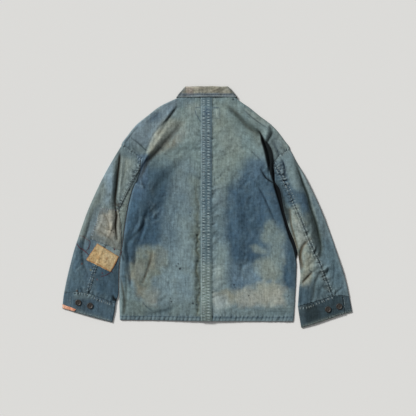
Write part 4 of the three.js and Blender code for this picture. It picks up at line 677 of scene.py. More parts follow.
def cuff_left_colour(x, y):
    col = np.tile(lin((72, 88, 98)), (len(x), 1))
    z = lambda *a, **k: zone(x, y, col, *a, **k)
    z([(60, 292), (74, 290), (74, 312), (60, 310)], (88, 107, 117), 0.8, 3, 2)
    z([(74, 290), (94, 292), (94, 299), (74, 299)], (104, 118, 120), 0.7, 2.5, 1.5)
    z([(92, 300), (114, 306), (112, 322), (92, 316)], (82, 102, 114), 0.8, 3, 2)
    z([(76, 308), (94, 314), (112, 320), (112, 324), (92, 319), (74, 313)], (98, 112, 116), 0.6, 1.2, 1, 0.3)
    col *= 0.84
    return col


def sleeve_right_colour(x, y):
    col = np.tile(lin((104, 120, 125)), (len(x), 1))
    z = lambda *a, **k: zone(x, y, col, *a, **k)
    z([(272, 150), (290, 150), (292, 166), (282, 178), (272, 168)], (100, 114, 120), 0.85, 3.5, 2)
    z([(272, 166), (286, 176), (296, 196), (292, 210), (280, 196), (274, 182)], (68, 86, 97), 0.9, 3.5, 2, 0.2)
    z([(284, 158), (294, 160), (302, 182), (300, 194), (292, 186)], (117, 132, 134), 0.95, 3, 2)
    z([(291, 190), (304, 192), (312, 216), (306, 224), (298, 206)], (72, 91, 103), 0.9, 3.5, 2, 0.2)
    z([(300, 196), (308, 198), (312, 214), (306, 212)], (78, 98, 114), 0.6, 2.5, 1.5)
    # painted shade in the band beside the long fold
    z([(302, 214), (314, 212), (320, 242), (318, 258), (308, 240)], (84, 94, 94), 0.9, 4, 2.5, 0.2)
    z([(298, 162), (312, 186), (324, 212), (336, 246), (346, 280), (350, 296), (336, 294), (330, 262), (322, 238), (314, 208), (304, 184)], (93, 110, 117), 0.9, 3, 2)
    z([(300, 164), (306, 172), (316, 194), (312, 196), (304, 180)], (124, 134, 132), 0.7, 2, 1)
    z([(312, 196), (322, 212), (330, 236), (324, 240), (316, 216)], (114, 128, 131), 0.6, 3, 2)
    z([(322, 240), (336, 246), (344, 276), (334, 288), (324, 268)], (88, 107, 115), 0.8, 4, 3, 0.2)
    # under side, faded to cream
    z([(286, 210), (296, 206), (304, 222), (311, 242), (316, 258), (318, 268), (306, 286), (300, 284), (298, 262), (292, 240), (286, 222)], (122, 130, 124), 0.96, 4, 3, 0.2)
    z([(293, 214), (301, 224), (307, 240), (302, 248), (298, 240)], (152, 157, 150), 0.85, 3, 2, 0.2)
    z([(304, 252), (312, 254), (312, 270), (304, 276)], (146, 146, 132), 0.7, 3, 2)
    z([(300, 274), (312, 272), (310, 288), (301, 290)], (136, 135, 122), 0.7, 3, 2)
    # painted shade at the edge of the gap
    z([(282, 206), (290, 210), (288, 224), (283, 216)], (76, 82, 78), 0.85, 2, 1)
    z([(298, 286), (312, 284), (313, 304), (298, 306)], (70, 87, 96), 0.95, 4, 3, 0.2)
    z([(313, 280), (332, 286), (334, 297), (314, 302)], (78, 94, 100), 0.85, 4, 3, 0.3)
    z([(316, 262), (324, 264), (330, 282), (320, 280)], (108, 120, 122), 0.6, 3, 2)
    # painted shade down the gap side of the sleeve and beside the long fold
    z([(273, 180), (279, 184), (284, 198), (290, 214), (286, 222), (278, 204)], (46, 58, 62), 0.75, 2.5, 1.5, 0.2)
    z([(316, 216), (322, 236), (323, 254), (317, 254), (312, 236), (310, 218)], (58, 68, 68), 0.6, 3, 2, 0.2)
    z([(306, 198), (314, 204), (318, 218), (311, 216)], (52, 66, 72), 0.6, 3, 2, 0.2)
    return col


def cuff_right_colour(x, y):
    col = np.tile(lin((66, 80, 87)), (len(x), 1))
    z = lambda *a, **k: zone(x, y, col, *a, **k)
    # painted shadow on the cuff
    z([(304, 304), (316, 303), (321, 316), (306, 322), (302, 314)], (50, 62, 66), 0.85, 3.4, 2, 0.2)
    z([(296, 306), (304, 304), (306, 324), (298, 328)], (82, 97, 104), 0.8, 2.4, 1.5)
    z([(320, 300), (346, 294), (352, 312), (336, 318), (322, 322)], (64, 80, 87), 0.75, 3, 2)
    z([(340, 292), (352, 292), (354, 314), (342, 314)], (84, 99, 107), 0.7, 2.4, 1)
    z([(300, 325), (320, 319), (352, 309), (353, 314), (320, 325), (302, 331)], (96, 106, 104), 0.6, 0.9, 0.8, 0.3)
    col *= 0.67
    return col


def collar_colour(x, y):
    col = np.tile(lin((141, 141, 130)), (len(x), 1))
    z = lambda *a, **k: zone(x, y, col, *a, **k)
    z([(170, 93.2), (245, 93.2), (245, 130), (170, 130)], (105, 118, 126), 0.9, 0.9, 0.7)
    z([(176, 84), (186, 84), (184, 92), (174, 102), (170, 96)], (116, 124, 126), 0.7, 2.2, 1)
    z([(226, 84), (246, 84), (246, 104), (232, 94)], (112, 118, 114), 0.7, 2.2, 1)
    z([(186, 86.5), (193, 86.5), (193, 94), (187, 94)], (140, 128, 124), 0.6, 1.8, 1)
    z([(209, 88), (226, 88.6), (225, 92), (211, 91.6)], (122, 122, 112), 0.6, 1.4, 1.4)
    # painted highlight along the collar's top edge
    z([(194, 86), (206, 86), (205, 90), (195, 90.5)], (150, 149, 137), 0.6, 1.4, 1)
    return col


def elbow_colour(x, y):
    col = np.tile(lin((130, 136, 130)), (len(x), 1))
    z = lambda *a, **k: zone(x, y, col, *a, **k)
    z([(96, 214), (112, 212), (114, 234), (104, 242), (92, 236)], (154, 156, 147), 0.85, 4, 3, 0.3)
    z([(106, 216), (115, 214), (116, 236), (108, 240)], (158, 156, 144), 0.6, 3, 2, 0.3)
    z([(112, 208), (121, 212), (121, 226), (114, 222)], (126, 130, 122), 0.7, 3, 2)
    z([(88, 228), (97, 230), (106, 238), (122, 243), (122, 254), (106, 250), (88, 242)], (104, 117, 120), 0.85, 3.5, 3, 0.25)
    z([(90, 208), (101, 206), (99, 222), (94, 236), (88, 238)], (104, 117, 120), 0.8, 3.5, 2, 0.2)
    z([(106, 240), (121, 238), (121, 252), (110, 250)], (132, 134, 124), 0.5, 3, 2, 0.2)
    z([(98, 207), (110, 208), (108, 213), (97, 215)], (108, 120, 124), 0.85, 2.4, 1.6, 0.2)
    return col


def tan_colour(x, y):
    col = np.tile(lin((186, 164, 124)), (len(x), 1))
    z = lambda *a, **k: zone(x, y, col, *a, **k)
    z([(104, 250), (117, 257), (112, 268), (104, 262)], (199, 180, 142), 0.7, 3, 1.5)
    z([(88, 256), (96, 248), (100, 256), (92, 263)], (176, 148, 104), 0.7, 2.4, 1.5)
    for cx, cy, r, k in ((95.2, 250.4, 0.8, 0.75), (98.6, 257.6, 1.5, 0.45), (103.4, 253.6, 0.7, 0.5), (107, 258.4, 1.3, 0.6), (105.8, 262, 1.0, 0.4), (91.6, 258.8, 0.7, 0.6), (100, 262, 0.6, 0.6), (110.5, 263.6, 0.6, 0.5), (97, 254, 0.5, 0.6), (113.4, 256.4, 0.5, 0.4), (102, 259, 0.5, 0.5), (106.5, 267.6, 0.6, 0.5), (93.8, 255, 0.45, 0.6)):
        spot(x, y, col, cx, cy, r, (134, 92, 52), k, ry=r * 1.4, ang=30)
    k = np.clip(fbm(x / 0.9, y / 0.9, 31, 2) * 2 - 0.55, 0, 0.6)[:, None]
    col[:] = col * (1 - k) + lin((150, 116, 74)) * k
    return col


def salmon_colour(x, y):
    col = np.tile(lin((205, 150, 124)), (len(x), 1))
    zone(x, y, col, [(62, 303), (67, 304.5), (66, 309), (61, 308)], (222, 176, 152), 0.7, 1.4, 0.8)
    zone(x, y, col, [(73, 307), (78, 308), (77, 312), (73, 311)], (186, 122, 98), 0.6, 1.4, 0.8)
    return col


SPOTS = [(178.4, 263.5, 0.6, 0.7), (176.5, 266, 0.8, 0.55), (180, 268.6, 1.05, 0.85), (170.6, 298.5, 0.6, 0.7), (171.4, 301.3, 0.6, 0.7), (193.1, 303.1, 0.9, 0.85), (196.6, 304.6, 0.7, 0.85), (234, 284.7, 0.75, 0.85), (234.8, 287.2, 0.5, 0.6), (248.6, 295.4, 0.65, 0.95), (250, 290.8, 0.6, 0.35), (287.6, 296.9, 0.6, 0.8), (288.6, 295.4, 0.5, 0.6), (190.5, 212.3, 0.6, 0.5), (190.5, 216.3, 0.6, 0.55), (213.3, 222, 0.5, 0.6), (218, 215.5, 0.5, 0.5), (242.7, 179.5, 0.45, 0.85), (233.4, 99.4, 0.8, 0.95)]
SLEEVE_SPOTS = [(82, 263.8, 0.9, 0.85, (104, 62, 44)), (93.3, 267.1, 0.8, 0.9, (30, 30, 32)), (90.9, 269.8, 0.9, 0.7, (132, 118, 66)), (97.3, 279.3, 0.7, 0.75, (108, 58, 48)), (102.6, 273.1, 0.7, 0.85, (84, 40, 44)), (114.6, 249.2, 0.7, 0.8, (100, 44, 48)), (111.5, 230.5, 0.6, 0.7, (52, 50, 46)), (113.8, 232.3, 0.7, 0.7, (52, 50, 46)), (77, 290.5, 1.0, 0.75, (88, 66, 44)), (77.2, 310.2, 0.8, 0.6, (150, 70, 54)), (113.6, 299.8, 1.4, 0.9, (16, 20, 22))]


# ------------------------------------------------------------------ seams: puckers and rows of wear along a line
def pucker(x, y, z, col, pts, pitch, amp, w, dark=0.25, light=0.25, edge=0.0, cloth=None):
    """Gathers across a seam: crests stand `amp` mm over hollows, w wide; crests are painted paler by `light` (rubbed
    wear and painted highlight) and hollows darker by `dark` (painted shade); edge is a painted dark seam line.
    """
    line = line_of(pts)
    i = reach_of(x, y, line, 3 * w)
    if not len(i):
        return
    d, s, way, v = near(x[i], y[i], line)
    jit = 0.9 * noise(way / (2.4 * pitch), d * 0, 91) + 0.35 * noise(x[i] / 1.6, y[i] / 1.6, 92)
    ph = np.cos(2 * math.pi * (way / pitch + jit))
    m = np.exp(-((d / w) ** 2)) * v * (0.65 + 0.35 * noise(way / (1.7 * pitch), d * 0, 93))
    z[i] += 1.5 * amp * ph * m
    dark, light = min(0.85, 1.9 * dark), 2.1 * light
    up, down = np.clip(ph * m, 0, 1)[:, None], np.clip(-ph * m, 0, 1)[:, None]
    c = col[i]
    # painted highlight and wear on the crests, painted shade in the hollows
    c = c * (1 + light * up) + 0.05 * light * up
    c = c * (1 - dark * down)
    if edge:
        k = (edge * v * np.exp(-((d / 0.5) ** 2)))[:, None]
        c = c * (1 - k)
    col[i] = c


def cloth_grain(x, y, z, col, amp=1.0, seed=0, mott=1.0):
    """Small crumples of washed cotton, their crests painted paler and hollows darker with the same noise that raises
    them (rubbed wear and painted highlight and shade), and uneven fading.
    """
    a, b, c = fbm(x / 17, y / 21, 101 + seed, 2), fbm(x / 6.5, y / 7.5, 102 + seed, 3), fbm(x / 2.3, y / 2.6, 103 + seed, 2)
    folds = 1 - np.abs(fbm((x + 0.5 * y) / 9, (y - 0.3 * x) / 15, 108 + seed, 3)) * 3.2  # thin crossing wrinkles
    folds = np.clip(folds, 0, 1) ** 2
    z += amp * (1.0 * a + 1.0 * b + 0.42 * c + 0.5 * folds)
    # colour follows the relief: painted highlight on crests, painted shade in hollows, with uneven dye
    m = 1 + mott * (0.10 * b + 0.15 * c + 0.15 * noise(x / 0.9, y / 9, 104 + seed) + 0.07 * noise(x / 9, y / 0.9, 107 + seed) + 0.09 * fbm(x / 10, y / 13, 105 + seed, 2) + 0.17 * noise(x / 0.95, y / 0.95, 106 + seed) + 0.07 * (folds - 0.4))
    col *= m[:, None]
    tint = (0.035 * mott * fbm(x / 8, y / 9, 107 + seed, 2))[:, None]
    col *= 1 + tint * np.array([1.0, 0.2, -1.0])


def paint_creases(x, y, col, creases):
    for c in creases:
        c.paint(x, y, col)


def relief(x, y, creases):
    z = np.zeros(x.shape)
    for c in creases:
        c.relief(x, y, z)
    return z


# ------------------------------------------------------------------ meshes
def add_mesh(name, verts_mm, faces, col, mat, smooth=True):
    me = bpy.data.meshes.new(name)
    v = (np.asarray(verts_mm, float) * 0.001).astype(np.float32)
    f = np.asarray(faces, np.int32)
    me.vertices.add(len(v))
    me.vertices.foreach_set("co", v.ravel())
    n = f.shape[1]
    me.loops.add(f.size)
    me.loops.foreach_set("vertex_index", f.ravel())
    me.polygons.add(len(f))
    me.polygons.foreach_set("loop_start", np.arange(0, f.size, n, dtype=np.int32))
    me.update(calc_edges=True)
    if smooth:
        me.polygons.foreach_set("use_smooth", np.ones(len(f), bool))
    at = me.color_attributes.new("Col", "FLOAT_COLOR", "POINT")
    c = np.ones((len(v), 4), np.float32)
    c[:, :3] = np.clip(col, 0.002, 0.95)
    at.data.foreach_set("color", c.ravel())
    me.materials.append(mat)
    me.validate()
    o = bpy.data.objects.new(name, me)
    bpy.context.scene.collection.objects.link(o)
    return o


def normals_of(mid):
    du = np.empty_like(mid)
    du[:, 1:-1] = mid[:, 2:] - mid[:, :-2]
    du[:, 0], du[:, -1] = mid[:, 1] - mid[:, 0], mid[:, -1] - mid[:, -2]
    dv = np.empty_like(mid)
    dv[1:-1] = mid[2:] - mid[:-2]
    dv[0], dv[-1] = mid[1] - mid[0], mid[-1] - mid[-2]
    n = np.cross(du, dv)
    k = np.linalg.norm(n, axis=2, keepdims=True)
    return n / np.maximum(k, 1e-9)


FADE = np.array([1.0, 1.065, 1.095])  # the worn indigo is a little cooler than its painted zones


def shell(name, mid, col, mat, wall=CLOTH, inner=(46, 62, 78), face=None, up=1):
    """A closed thin shell about the grid `mid` (rows, columns, 3), its outer side up over the columns `face`."""
    R, K = mid.shape[:2]
    n = normals_of(mid)
    part = n if face is None else n[face[0]:face[1], face[2]:face[3]]
    if part[..., 2].mean() * up < 0:
        n = -n
    w = np.broadcast_to(np.asarray(wall, float), (R, K))[..., None]
    top, bot = mid + n * w / 2, mid - n * w / 2
    verts = np.vstack([top.reshape(-1, 3), bot.reshape(-1, 3)])
    idx = np.arange(R * K).reshape(R, K)
    a, b, c, d = idx[:-1, :-1].ravel(), idx[:-1, 1:].ravel(), idx[1:, 1:].ravel(), idx[1:, :-1].ravel()
    N = R * K
    q_top = np.stack([a, d, c, b], 1)
    q_bot = np.stack([a, b, c, d], 1) + N
    ring = np.concatenate([idx[0, :-1], idx[:-1, -1], idx[-1, :0:-1], idx[:0:-1, 0]])
    nxt = np.roll(ring, -1)
    q_rim = np.stack([ring, nxt, nxt + N, ring + N], 1)
    faces = np.vstack([q_top, q_bot, q_rim])
    # faces out: test one top face against its normal
    f0 = q_top[len(q_top) // 2]
    p = verts[f0]
    if np.dot(np.cross(p[1] - p[0], p[3] - p[0]), n.reshape(-1, 3)[f0[0]]) < 0:
        faces = faces[:, ::-1]
    c_top = col.reshape(-1, 3) * (FADE if mat is DENIM else 1.0)
    under = np.tile(lin(inner), (N, 1)) * (1 + 0.12 * noise(mid[..., 0].ravel() / 9, mid[..., 1].ravel() / 30, 8))[:, None]
    o = add_mesh(name, verts, faces, np.vstack([c_top, under]), mat)
    return o, top


class Ground:
    """What lies on the cloth finds its height here: rays down on the outer faces."""

    def __init__(self):
        self.v, self.f, self.n = [], [], 0

    def add(self, top):
        R, K = top.shape[:2]
        idx = np.arange(R * K).reshape(R, K) + self.n
        self.v += top.reshape(-1, 3).tolist()
        a, b, c, d = idx[:-1, :-1].ravel(), idx[:-1, 1:].ravel(), idx[1:, 1:].ravel(), idx[1:, :-1].ravel()
        self.f += np.stack([a, b, c, d], 1).tolist()
        self.n += R * K
        self.tree = None

    def z(self, X, Y, default=3.0):
        from mathutils import Vector
        from mathutils.bvhtree import BVHTree
        if self.tree is None:
            self.tree = BVHTree.FromPolygons(self.v, self.f)
        out = np.full(len(X), float(default))
        down = Vector((0, 0, -1))
        for i, (p, q) in enumerate(zip(X, Y)):
            hit = self.tree.ray_cast(Vector((p, q, 200)), down)[0]
            if hit is not None:
                out[i] = hit.z
        return out


# ------------------------------------------------------------------ materials
def node(nt, kind, x, y, **props):
    n = nt.nodes.new(kind)
    n.location = (x, y)
    for k, v in props.items():
        setattr(n, k, v)
    return n


def cloth_material(name, pitch=0.0011, weave=0.10, streak=0.10, mottle=0.12, bump=0.35, rough=0.93, sheen=0.02):
    m = bpy.data.materials.new(name)
    m.use_nodes = True
    nt = m.node_tree
    nt.nodes.clear()
    L = nt.links.new
    out = node(nt, "ShaderNodeOutputMaterial", 900, 0)
    b = node(nt, "ShaderNodeBsdfPrincipled", 600, 0)
    L(b.outputs["BSDF"], out.inputs["Surface"])
    b.inputs["Specular IOR Level"].default_value = 0.10
    b.inputs["Sheen Weight"].default_value = sheen
    b.inputs["Sheen Roughness"].default_value = 0.6
    at = node(nt, "ShaderNodeAttribute", -900, 200, attribute_name="Col")
    co = node(nt, "ShaderNodeTexCoord", -1500, -200)
    # twill: fine diagonal ribs broken up by a little noise
    mp = node(nt, "ShaderNodeMapping", -1200, -200)
    mp.inputs["Rotation"].default_value = (0, 0, 0.5)
    wv = node(nt, "ShaderNodeTexWave", -900, -200, wave_type="BANDS", bands_direction="X", wave_profile="SIN")
    wv.inputs["Scale"].default_value = 1.0 / pitch / 6.28 * 2
    wv.inputs["Distortion"].default_value = 1.6
    wv.inputs["Detail"].default_value = 2.0
    wv.inputs["Detail Scale"].default_value = 2.0
    L(co.outputs["Object"], mp.inputs["Vector"])
    L(mp.outputs["Vector"], wv.inputs["Vector"])
    # slub: long uneven warp threads
    ms = node(nt, "ShaderNodeMapping", -1200, -500)
    ms.inputs["Scale"].default_value = (520, 46, 200)
    ns = node(nt, "ShaderNodeTexNoise", -900, -500)
    ns.inputs["Scale"].default_value = 1.0
    ns.inputs["Detail"].default_value = 3.0
    L(co.outputs["Object"], ms.inputs["Vector"])
    L(ms.outputs["Vector"], ns.inputs["Vector"])
    # mottle: washed, uneven dye
    nm = node(nt, "ShaderNodeTexNoise", -900, -800)
    nm.inputs["Scale"].default_value = 230.0
    nm.inputs["Detail"].default_value = 4.0
    nm.inputs["Roughness"].default_value = 0.65
    L(co.outputs["Object"], nm.inputs["Vector"])

    def about_one(src, k, x, y):
        r = node(nt, "ShaderNodeMapRange", x, y)
        r.inputs["From Min"].default_value, r.inputs["From Max"].default_value = 0.25, 0.75
        r.inputs["To Min"].default_value, r.inputs["To Max"].default_value = 1 - k, 1 + k
        L(src, r.inputs["Value"])
        return r.outputs["Result"]

    m1 = node(nt, "ShaderNodeMath", -300, -300, operation="MULTIPLY")
    m2 = node(nt, "ShaderNodeMath", -100, -300, operation="MULTIPLY")
    L(about_one(wv.outputs["Fac"], weave, -600, -200), m1.inputs[0])
    L(about_one(ns.outputs["Fac"], streak, -600, -500), m1.inputs[1])
    L(m1.outputs[0], m2.inputs[0])
    L(about_one(nm.outputs["Fac"], mottle, -600, -800), m2.inputs[1])
    sc = node(nt, "ShaderNodeVectorMath", 200, 100, operation="SCALE")
    L(at.outputs["Color"], sc.inputs[0])
    L(m2.outputs[0], sc.inputs["Scale"])
    L(sc.outputs["Vector"], b.inputs["Base Color"])
    rr = node(nt, "ShaderNodeMapRange", 200, -500)
    rr.inputs["To Min"].default_value, rr.inputs["To Max"].default_value = rough - 0.06, min(1.0, rough + 0.06)
    L(nm.outputs["Fac"], rr.inputs["Value"])
    L(rr.outputs["Result"], b.inputs["Roughness"])
    bs = node(nt, "ShaderNodeMath", -100, -900, operation="MULTIPLY_ADD")
    bs.inputs[1].default_value = 0.8
    L(ns.outputs["Fac"], bs.inputs[0])
    L(wv.outputs["Fac"], bs.inputs[2])
    ba = node(nt, "ShaderNodeMath", 100, -900, operation="MULTIPLY_ADD")
    ba.inputs[1].default_value = 1.6
    L(nm.outputs["Fac"], ba.inputs[0])
    L(bs.outputs[0], ba.inputs[2])
    bu = node(nt, "ShaderNodeBump", 350, -700)
    bu.inputs["Strength"].default_value = bump
    bu.inputs["Distance"].default_value = 0.0006
    L(ba.outputs[0], bu.inputs["Height"])
    L(bu.outputs["Normal"], b.inputs["Normal"])
    return m


def thread_material(name, rough=0.75):
    m = bpy.data.materials.new(name)
    m.use_nodes = True
    nt = m.node_tree
    b = nt.nodes["Principled BSDF"]
    at = node(nt, "ShaderNodeAttribute", -700, 200, attribute_name="Col")
    co = node(nt, "ShaderNodeTexCoord", -1100, -100)
    nz = node(nt, "ShaderNodeTexNoise", -800, -100)
    nz.inputs["Scale"].default_value = 1800.0
    nz.inputs["Detail"].default_value = 2.0
    nt.links.new(co.outputs["Object"], nz.inputs["Vector"])
    r = node(nt, "ShaderNodeMapRange", -500, -100)
    r.inputs["To Min"].default_value, r.inputs["To Max"].default_value = 0.72, 1.25
    nt.links.new(nz.outputs["Fac"], r.inputs["Value"])
    s = node(nt, "ShaderNodeVectorMath", -250, 100, operation="SCALE")
    nt.links.new(at.outputs["Color"], s.inputs[0])
    nt.links.new(r.outputs["Result"], s.inputs["Scale"])
    nt.links.new(s.outputs["Vector"], b.inputs["Base Color"])
    b.inputs["Roughness"].default_value = rough
    b.inputs["Specular IOR Level"].default_value = 0.25
    bu = node(nt, "ShaderNodeBump", -250, -300)
    bu.inputs["Strength"].default_value = 0.4
    bu.inputs["Distance"].default_value = 0.0002
    nt.links.new(nz.outputs["Fac"], bu.inputs["Height"])
    nt.links.new(bu.outputs["Normal"], b.inputs["Normal"])
    return m


DENIM = cloth_material("worn_indigo")
COTTON = cloth_material("collar_cotton", pitch=0.0009, weave=0.07, streak=0.07, mottle=0.10, bump=0.3)
PALE = cloth_material("pale_patch_cotton", pitch=0.0010, weave=0.08, streak=0.06, mottle=0.12, bump=0.4)
TANM = cloth_material("tan_patch_twill", pitch=0.0013, weave=0.08, streak=0.05, mottle=0.12, bump=0.4)
SALM = cloth_material("salmon_patch_cotton", pitch=0.0010, weave=0.07, streak=0.05, mottle=0.14, bump=0.4)
THREAD = thread_material("sewing_thread")


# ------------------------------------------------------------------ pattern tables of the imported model
LEFT_ROWS = [
    (93.4, 181.4, 93.8, 0.2), (98.6, 177.3, 98.2, 0.3), (102.2, 172.2, 100.6, 1), (109, 160, 106.6, 1), (119, 148.2, 115.6, 1),
    (129, 136.4, 125.2, 1), (139, 127.9, 135.6, 1), (148, 121.6, 145.4, 1), (155, 131.7, 151.1, 0),
    (163, 141.2, 157.9, 0.05), (171, 141.0, 163.4, 0.15), (179, 138.8, 171.4, 0.3), (187, 136.0, 180.4, 0.5), (199, 132.4, 190.4, 0.8),
    (213, 128.7, 205, 1), (230, 125.9, 221, 1), (248, 123.2, 240, 1), (266, 120.5, 261, 1), (285, 119.6, 283, 1),
    (304, 119.6, 303, 1), (315.4, 119.9, 314, 1), (320.9, 120.2, 319.7, 1),
]
RIGHT_ROWS = [
    (93.4, 222, 93.4, 224, 93.4, 226, 93.5, 233.2, 94.1, 0.2, 0),
    (98.6, 222, 99, 224.2, 99, 226.6, 98.9, 237.0, 98.9, 0.3, 0),
    (102.6, 224.6, 103.6, 227, 103.4, 229.6, 102.8, 241.6, 102.6, 1, 0),
    (109, 229, 109.4, 231.5, 109, 234, 108.4, 248.6, 107.3, 1, 0),
    (118, 238, 118.7, 240.5, 118, 243, 117, 259.6, 116.2, 1, 0),
    (127, 247.5, 127.2, 250.5, 126.6, 254, 125, 270.4, 124.3, 1, 0.1),
    (134, 259.6, 133.4, 260.8, 133.2, 262.0, 132.8, 277.6, 131.7, 1, 0.8),
    (141, 261.4, 141.1, 263.4, 140.7, 265.4, 140.2, 284.1, 140.4, 1, 1),
    (149, 263.7, 148.7, 266.4, 148.3, 269.1, 147.8, 289.6, 148.7, 1, 1),
    (157, 265.6, 156.6, 268.7, 156.1, 271.8, 155.4, 280.1, 155.8, 0, 1),
    (165, 267.6, 164.6, 269.6, 164.2, 271.6, 163.6, 272.9, 162.9, 0.6, 1),
]
RIGHT_EDGE = [
    (165, 272.9, 162.9), (169, 273.0, 167.6), (174, 273.1, 173), (179, 273.3, 178.2), (184, 273.8, 183.4), (194, 276.5, 193.6), (207, 280.2, 206.4), (221, 284.2, 220.6),
    (236, 288.8, 235.6), (250, 293.8, 249), (266, 296.3, 265.4), (285, 295.6, 284.6), (304, 294.6, 303.8),
    (315.4, 293.8, 315.2), (321, 293.2, 321.4),
]
FRONT_L = [
    (119.6, 190, 114.6, 181.4, 101.0), (126, 186, 122.5, 172.6, 102.0), (134, 180, 128, 160.6, 107.9), (143, 176, 137, 148.8, 117),
    (151, 172, 144, 137.1, 126.5), (158, 170, 150, 128.7, 136.9), (164, 168, 156, 125.2, 147.4), (169, 168, 161, 131.9, 151.6),
    (174, 168, 166, 141.3, 158.6), (181, 168, 172, 143.0, 163.6), (188, 168, 180, 141.7, 171.4), (196, 167, 189, 138.6, 180.6), (206, 166, 200, 133.4, 191),
    (219, 165, 213, 129.5, 205.4), (236, 163, 230, 126.7, 221.4), (253, 162, 248, 124, 240.4), (270, 160, 266, 121.2, 261.2),
    (288, 160, 285, 120.4, 283), (304, 160, 303, 120.4, 303), (320.4, 160, 319.9, 121, 319.4),
]
FRONT_R = [
    (119.6, 224, 114.6, 232.4, 101.2), (126, 228, 122.5, 239.4, 103.2), (134, 234, 128, 248, 108.6), (143, 240, 136, 258.8, 117.4),
    (151, 244, 142, 269.6, 125.5), (158, 246, 148, 276.8, 132.7), (164, 247, 154, 283.3, 141.3), (169, 248, 160, 286.6, 150.0),
    (174, 248, 166, 280.5, 156.3), (181, 248, 172, 277.4, 163.4), (188, 248, 180, 279, 173.8), (196, 250, 189, 281.5, 182.4), (206, 252, 200, 284.4, 193.9),
    (219, 254, 213, 287.2, 206.7), (236, 256, 230, 290.6, 220.9), (253, 258, 248, 295.6, 235.9), (270, 258, 266, 297.6, 249.3),
    (288, 258, 285, 295.5, 265.6), (304, 258, 303, 294, 303.8), (320.6, 258, 320.6, 292.5, 320.9),
]
SLEEVE_L = [
    ((121.1, 146.2), (131.2, 151.7), (140.7, 158.6), (141.5, 163.2)), ((113.5, 158.8), (126, 163.2), (138.8, 167.5), (140.2, 171)),
    ((107.2, 169.8), (121, 172.6), (134.6, 175.3), (137.1, 180.2)), ((101.5, 180.6), (116, 182.4), (130, 184.2), (132.1, 189.4)),
    ((95.6, 193), (110, 194), (124.6, 195), (129.6, 199)), ((91, 203.2), (105, 204.4), (119.4, 205.6), (127.4, 208.6)),
    ((86.5, 214), (101, 214.8), (115.8, 215.6), (125.7, 218)), ((82, 226.6), (96.5, 227.3), (111, 228), (124, 229.4)),
    ((78, 238.6), (92, 239.6), (106, 240.6), (122.2, 241.8)), ((74.1, 250.6), (87.5, 251.5), (101, 252.4), (120.4, 253.6)),
    ((70.8, 263.1), (83.5, 263.8), (96.2, 264.6), (119.2, 266.5)), ((67.6, 276), (80, 276), (92.4, 276), (118.6, 279.5)),
    ((65.2, 287.4), (77, 286), (89.4, 287), (118.5, 292.5)), ((64.2, 292.6), (76, 291), (88, 292.6), (115.9, 302.6)),
]
SLEEVE_R = [
    ((289.9, 149.6), (280.5, 156.6), (274.4, 163.4), (272.9, 164.8)), ((295.3, 159.8), (286.5, 165), (277.6, 170.5), (274.6, 172.6)),
    ((301.2, 169.8), (291.5, 174), (281.8, 178.2), (274.9, 181.0)), ((307.3, 181.2), (297, 184.4), (286.4, 187.6), (279.8, 189.4)),
    ((313, 192.7), (302, 195.4), (291, 198.2), (282.2, 200.6)), ((317.6, 202.6), (306.5, 205), (295.4, 207.4), (283.9, 210)),
    ((322.4, 213.6), (311, 215.3), (299.6, 217), (286.4, 219.5)), ((327.2, 225.6), (315.8, 227.2), (304.4, 228.8), (290, 230.6)),
    ((331.6, 237.6), (320.3, 238.9), (309, 240.2), (294.4, 241.5)), ((335.7, 249.6), (324.8, 250.8), (314, 251.9), (297.6, 252.8)),
    ((339.7, 261.8), (329.5, 261.9), (319.2, 262), (299.4, 264.5)), ((343.6, 273.4), (333.9, 273.9), (324.2, 274.4), (300.3, 275.5)),
    ((346.6, 284.6), (337.6, 285), (328.6, 285.4), (299.1, 288)), ((349, 296.2), (341, 294.6), (332.2, 296), (297.8, 306.2)),
]
CUFF_L = [((64.0, 293.2), (76, 291.7), (88, 293.3), (115.7, 303.2)), ((63.2, 299.4), (76, 299.4), (90, 301.9), (115.0, 309.9)), ((62.4, 308.3), (74.1, 311.7), (93.3, 317.2), (112.5, 322.3))]
CUFF_R = [((349.2, 296.8), (341, 295.3), (332.2, 296.7), (297.9, 306.9)), ((350.7, 304.6), (341, 304.3), (325.5, 308.6), (299.1, 315.4)), ((352, 311.7), (341, 314.6), (320.6, 321.9), (301.2, 327.8))]
LOOPS = [
    (92.9, 181.6, 232.0, 4.45, 2.6, 117.0, 2.2), (90.2, 183.0, 230.3, 4.45, 2.6, 111.5, 2.2), (87.9, 184.6, 228.7, 4.6, 2.5, 108.5, 2.3), (86.65, 185.2, 228.2, 5.6, 1.6, 107.0, 2.4),
    (87.7, 184.0, 229.5, 6.6, 0.75, 108.5, 3.0), (90.5, 181.6, 232.0, 6.65, 0.7, 112.5, 4.5), (94.0, 178.6, 234.9, 6.65, 0.7, 119.0, 7.0), (97.3, 176.2, 237.3, 6.65, 0.7, 127.0, 11.0),
]
SEAM_L = [(121.5, 146), (127, 147.5), (131.7, 151.1), (136.5, 154.4), (141, 158)]
SEAM_R = [(289.5, 149), (285, 152.3), (280, 155.8), (276.5, 159.6), (273.4, 163.2)]
GAP = [(259.2, 131.2), (260.4, 136), (261, 141), (263.2, 147.5), (265, 155), (266.8, 163), (268.8, 169), (271.6, 178), (273.4, 182), (273.6, 185.6), (275.8, 193), (279.3, 204), (283.8, 220), (288.3, 235), (292.8, 246), (295.6, 256), (297, 268),
       (299.0, 268), (297.8, 256), (295.4, 246), (291.2, 236), (286.4, 222), (283.6, 210), (282.2, 198), (280.6, 191), (277.6, 186.4), (274.2, 182), (274.4, 178), (274.2, 170), (273.4, 159), (271.6, 150), (268.2, 144), (265.2, 141), (263, 137)]


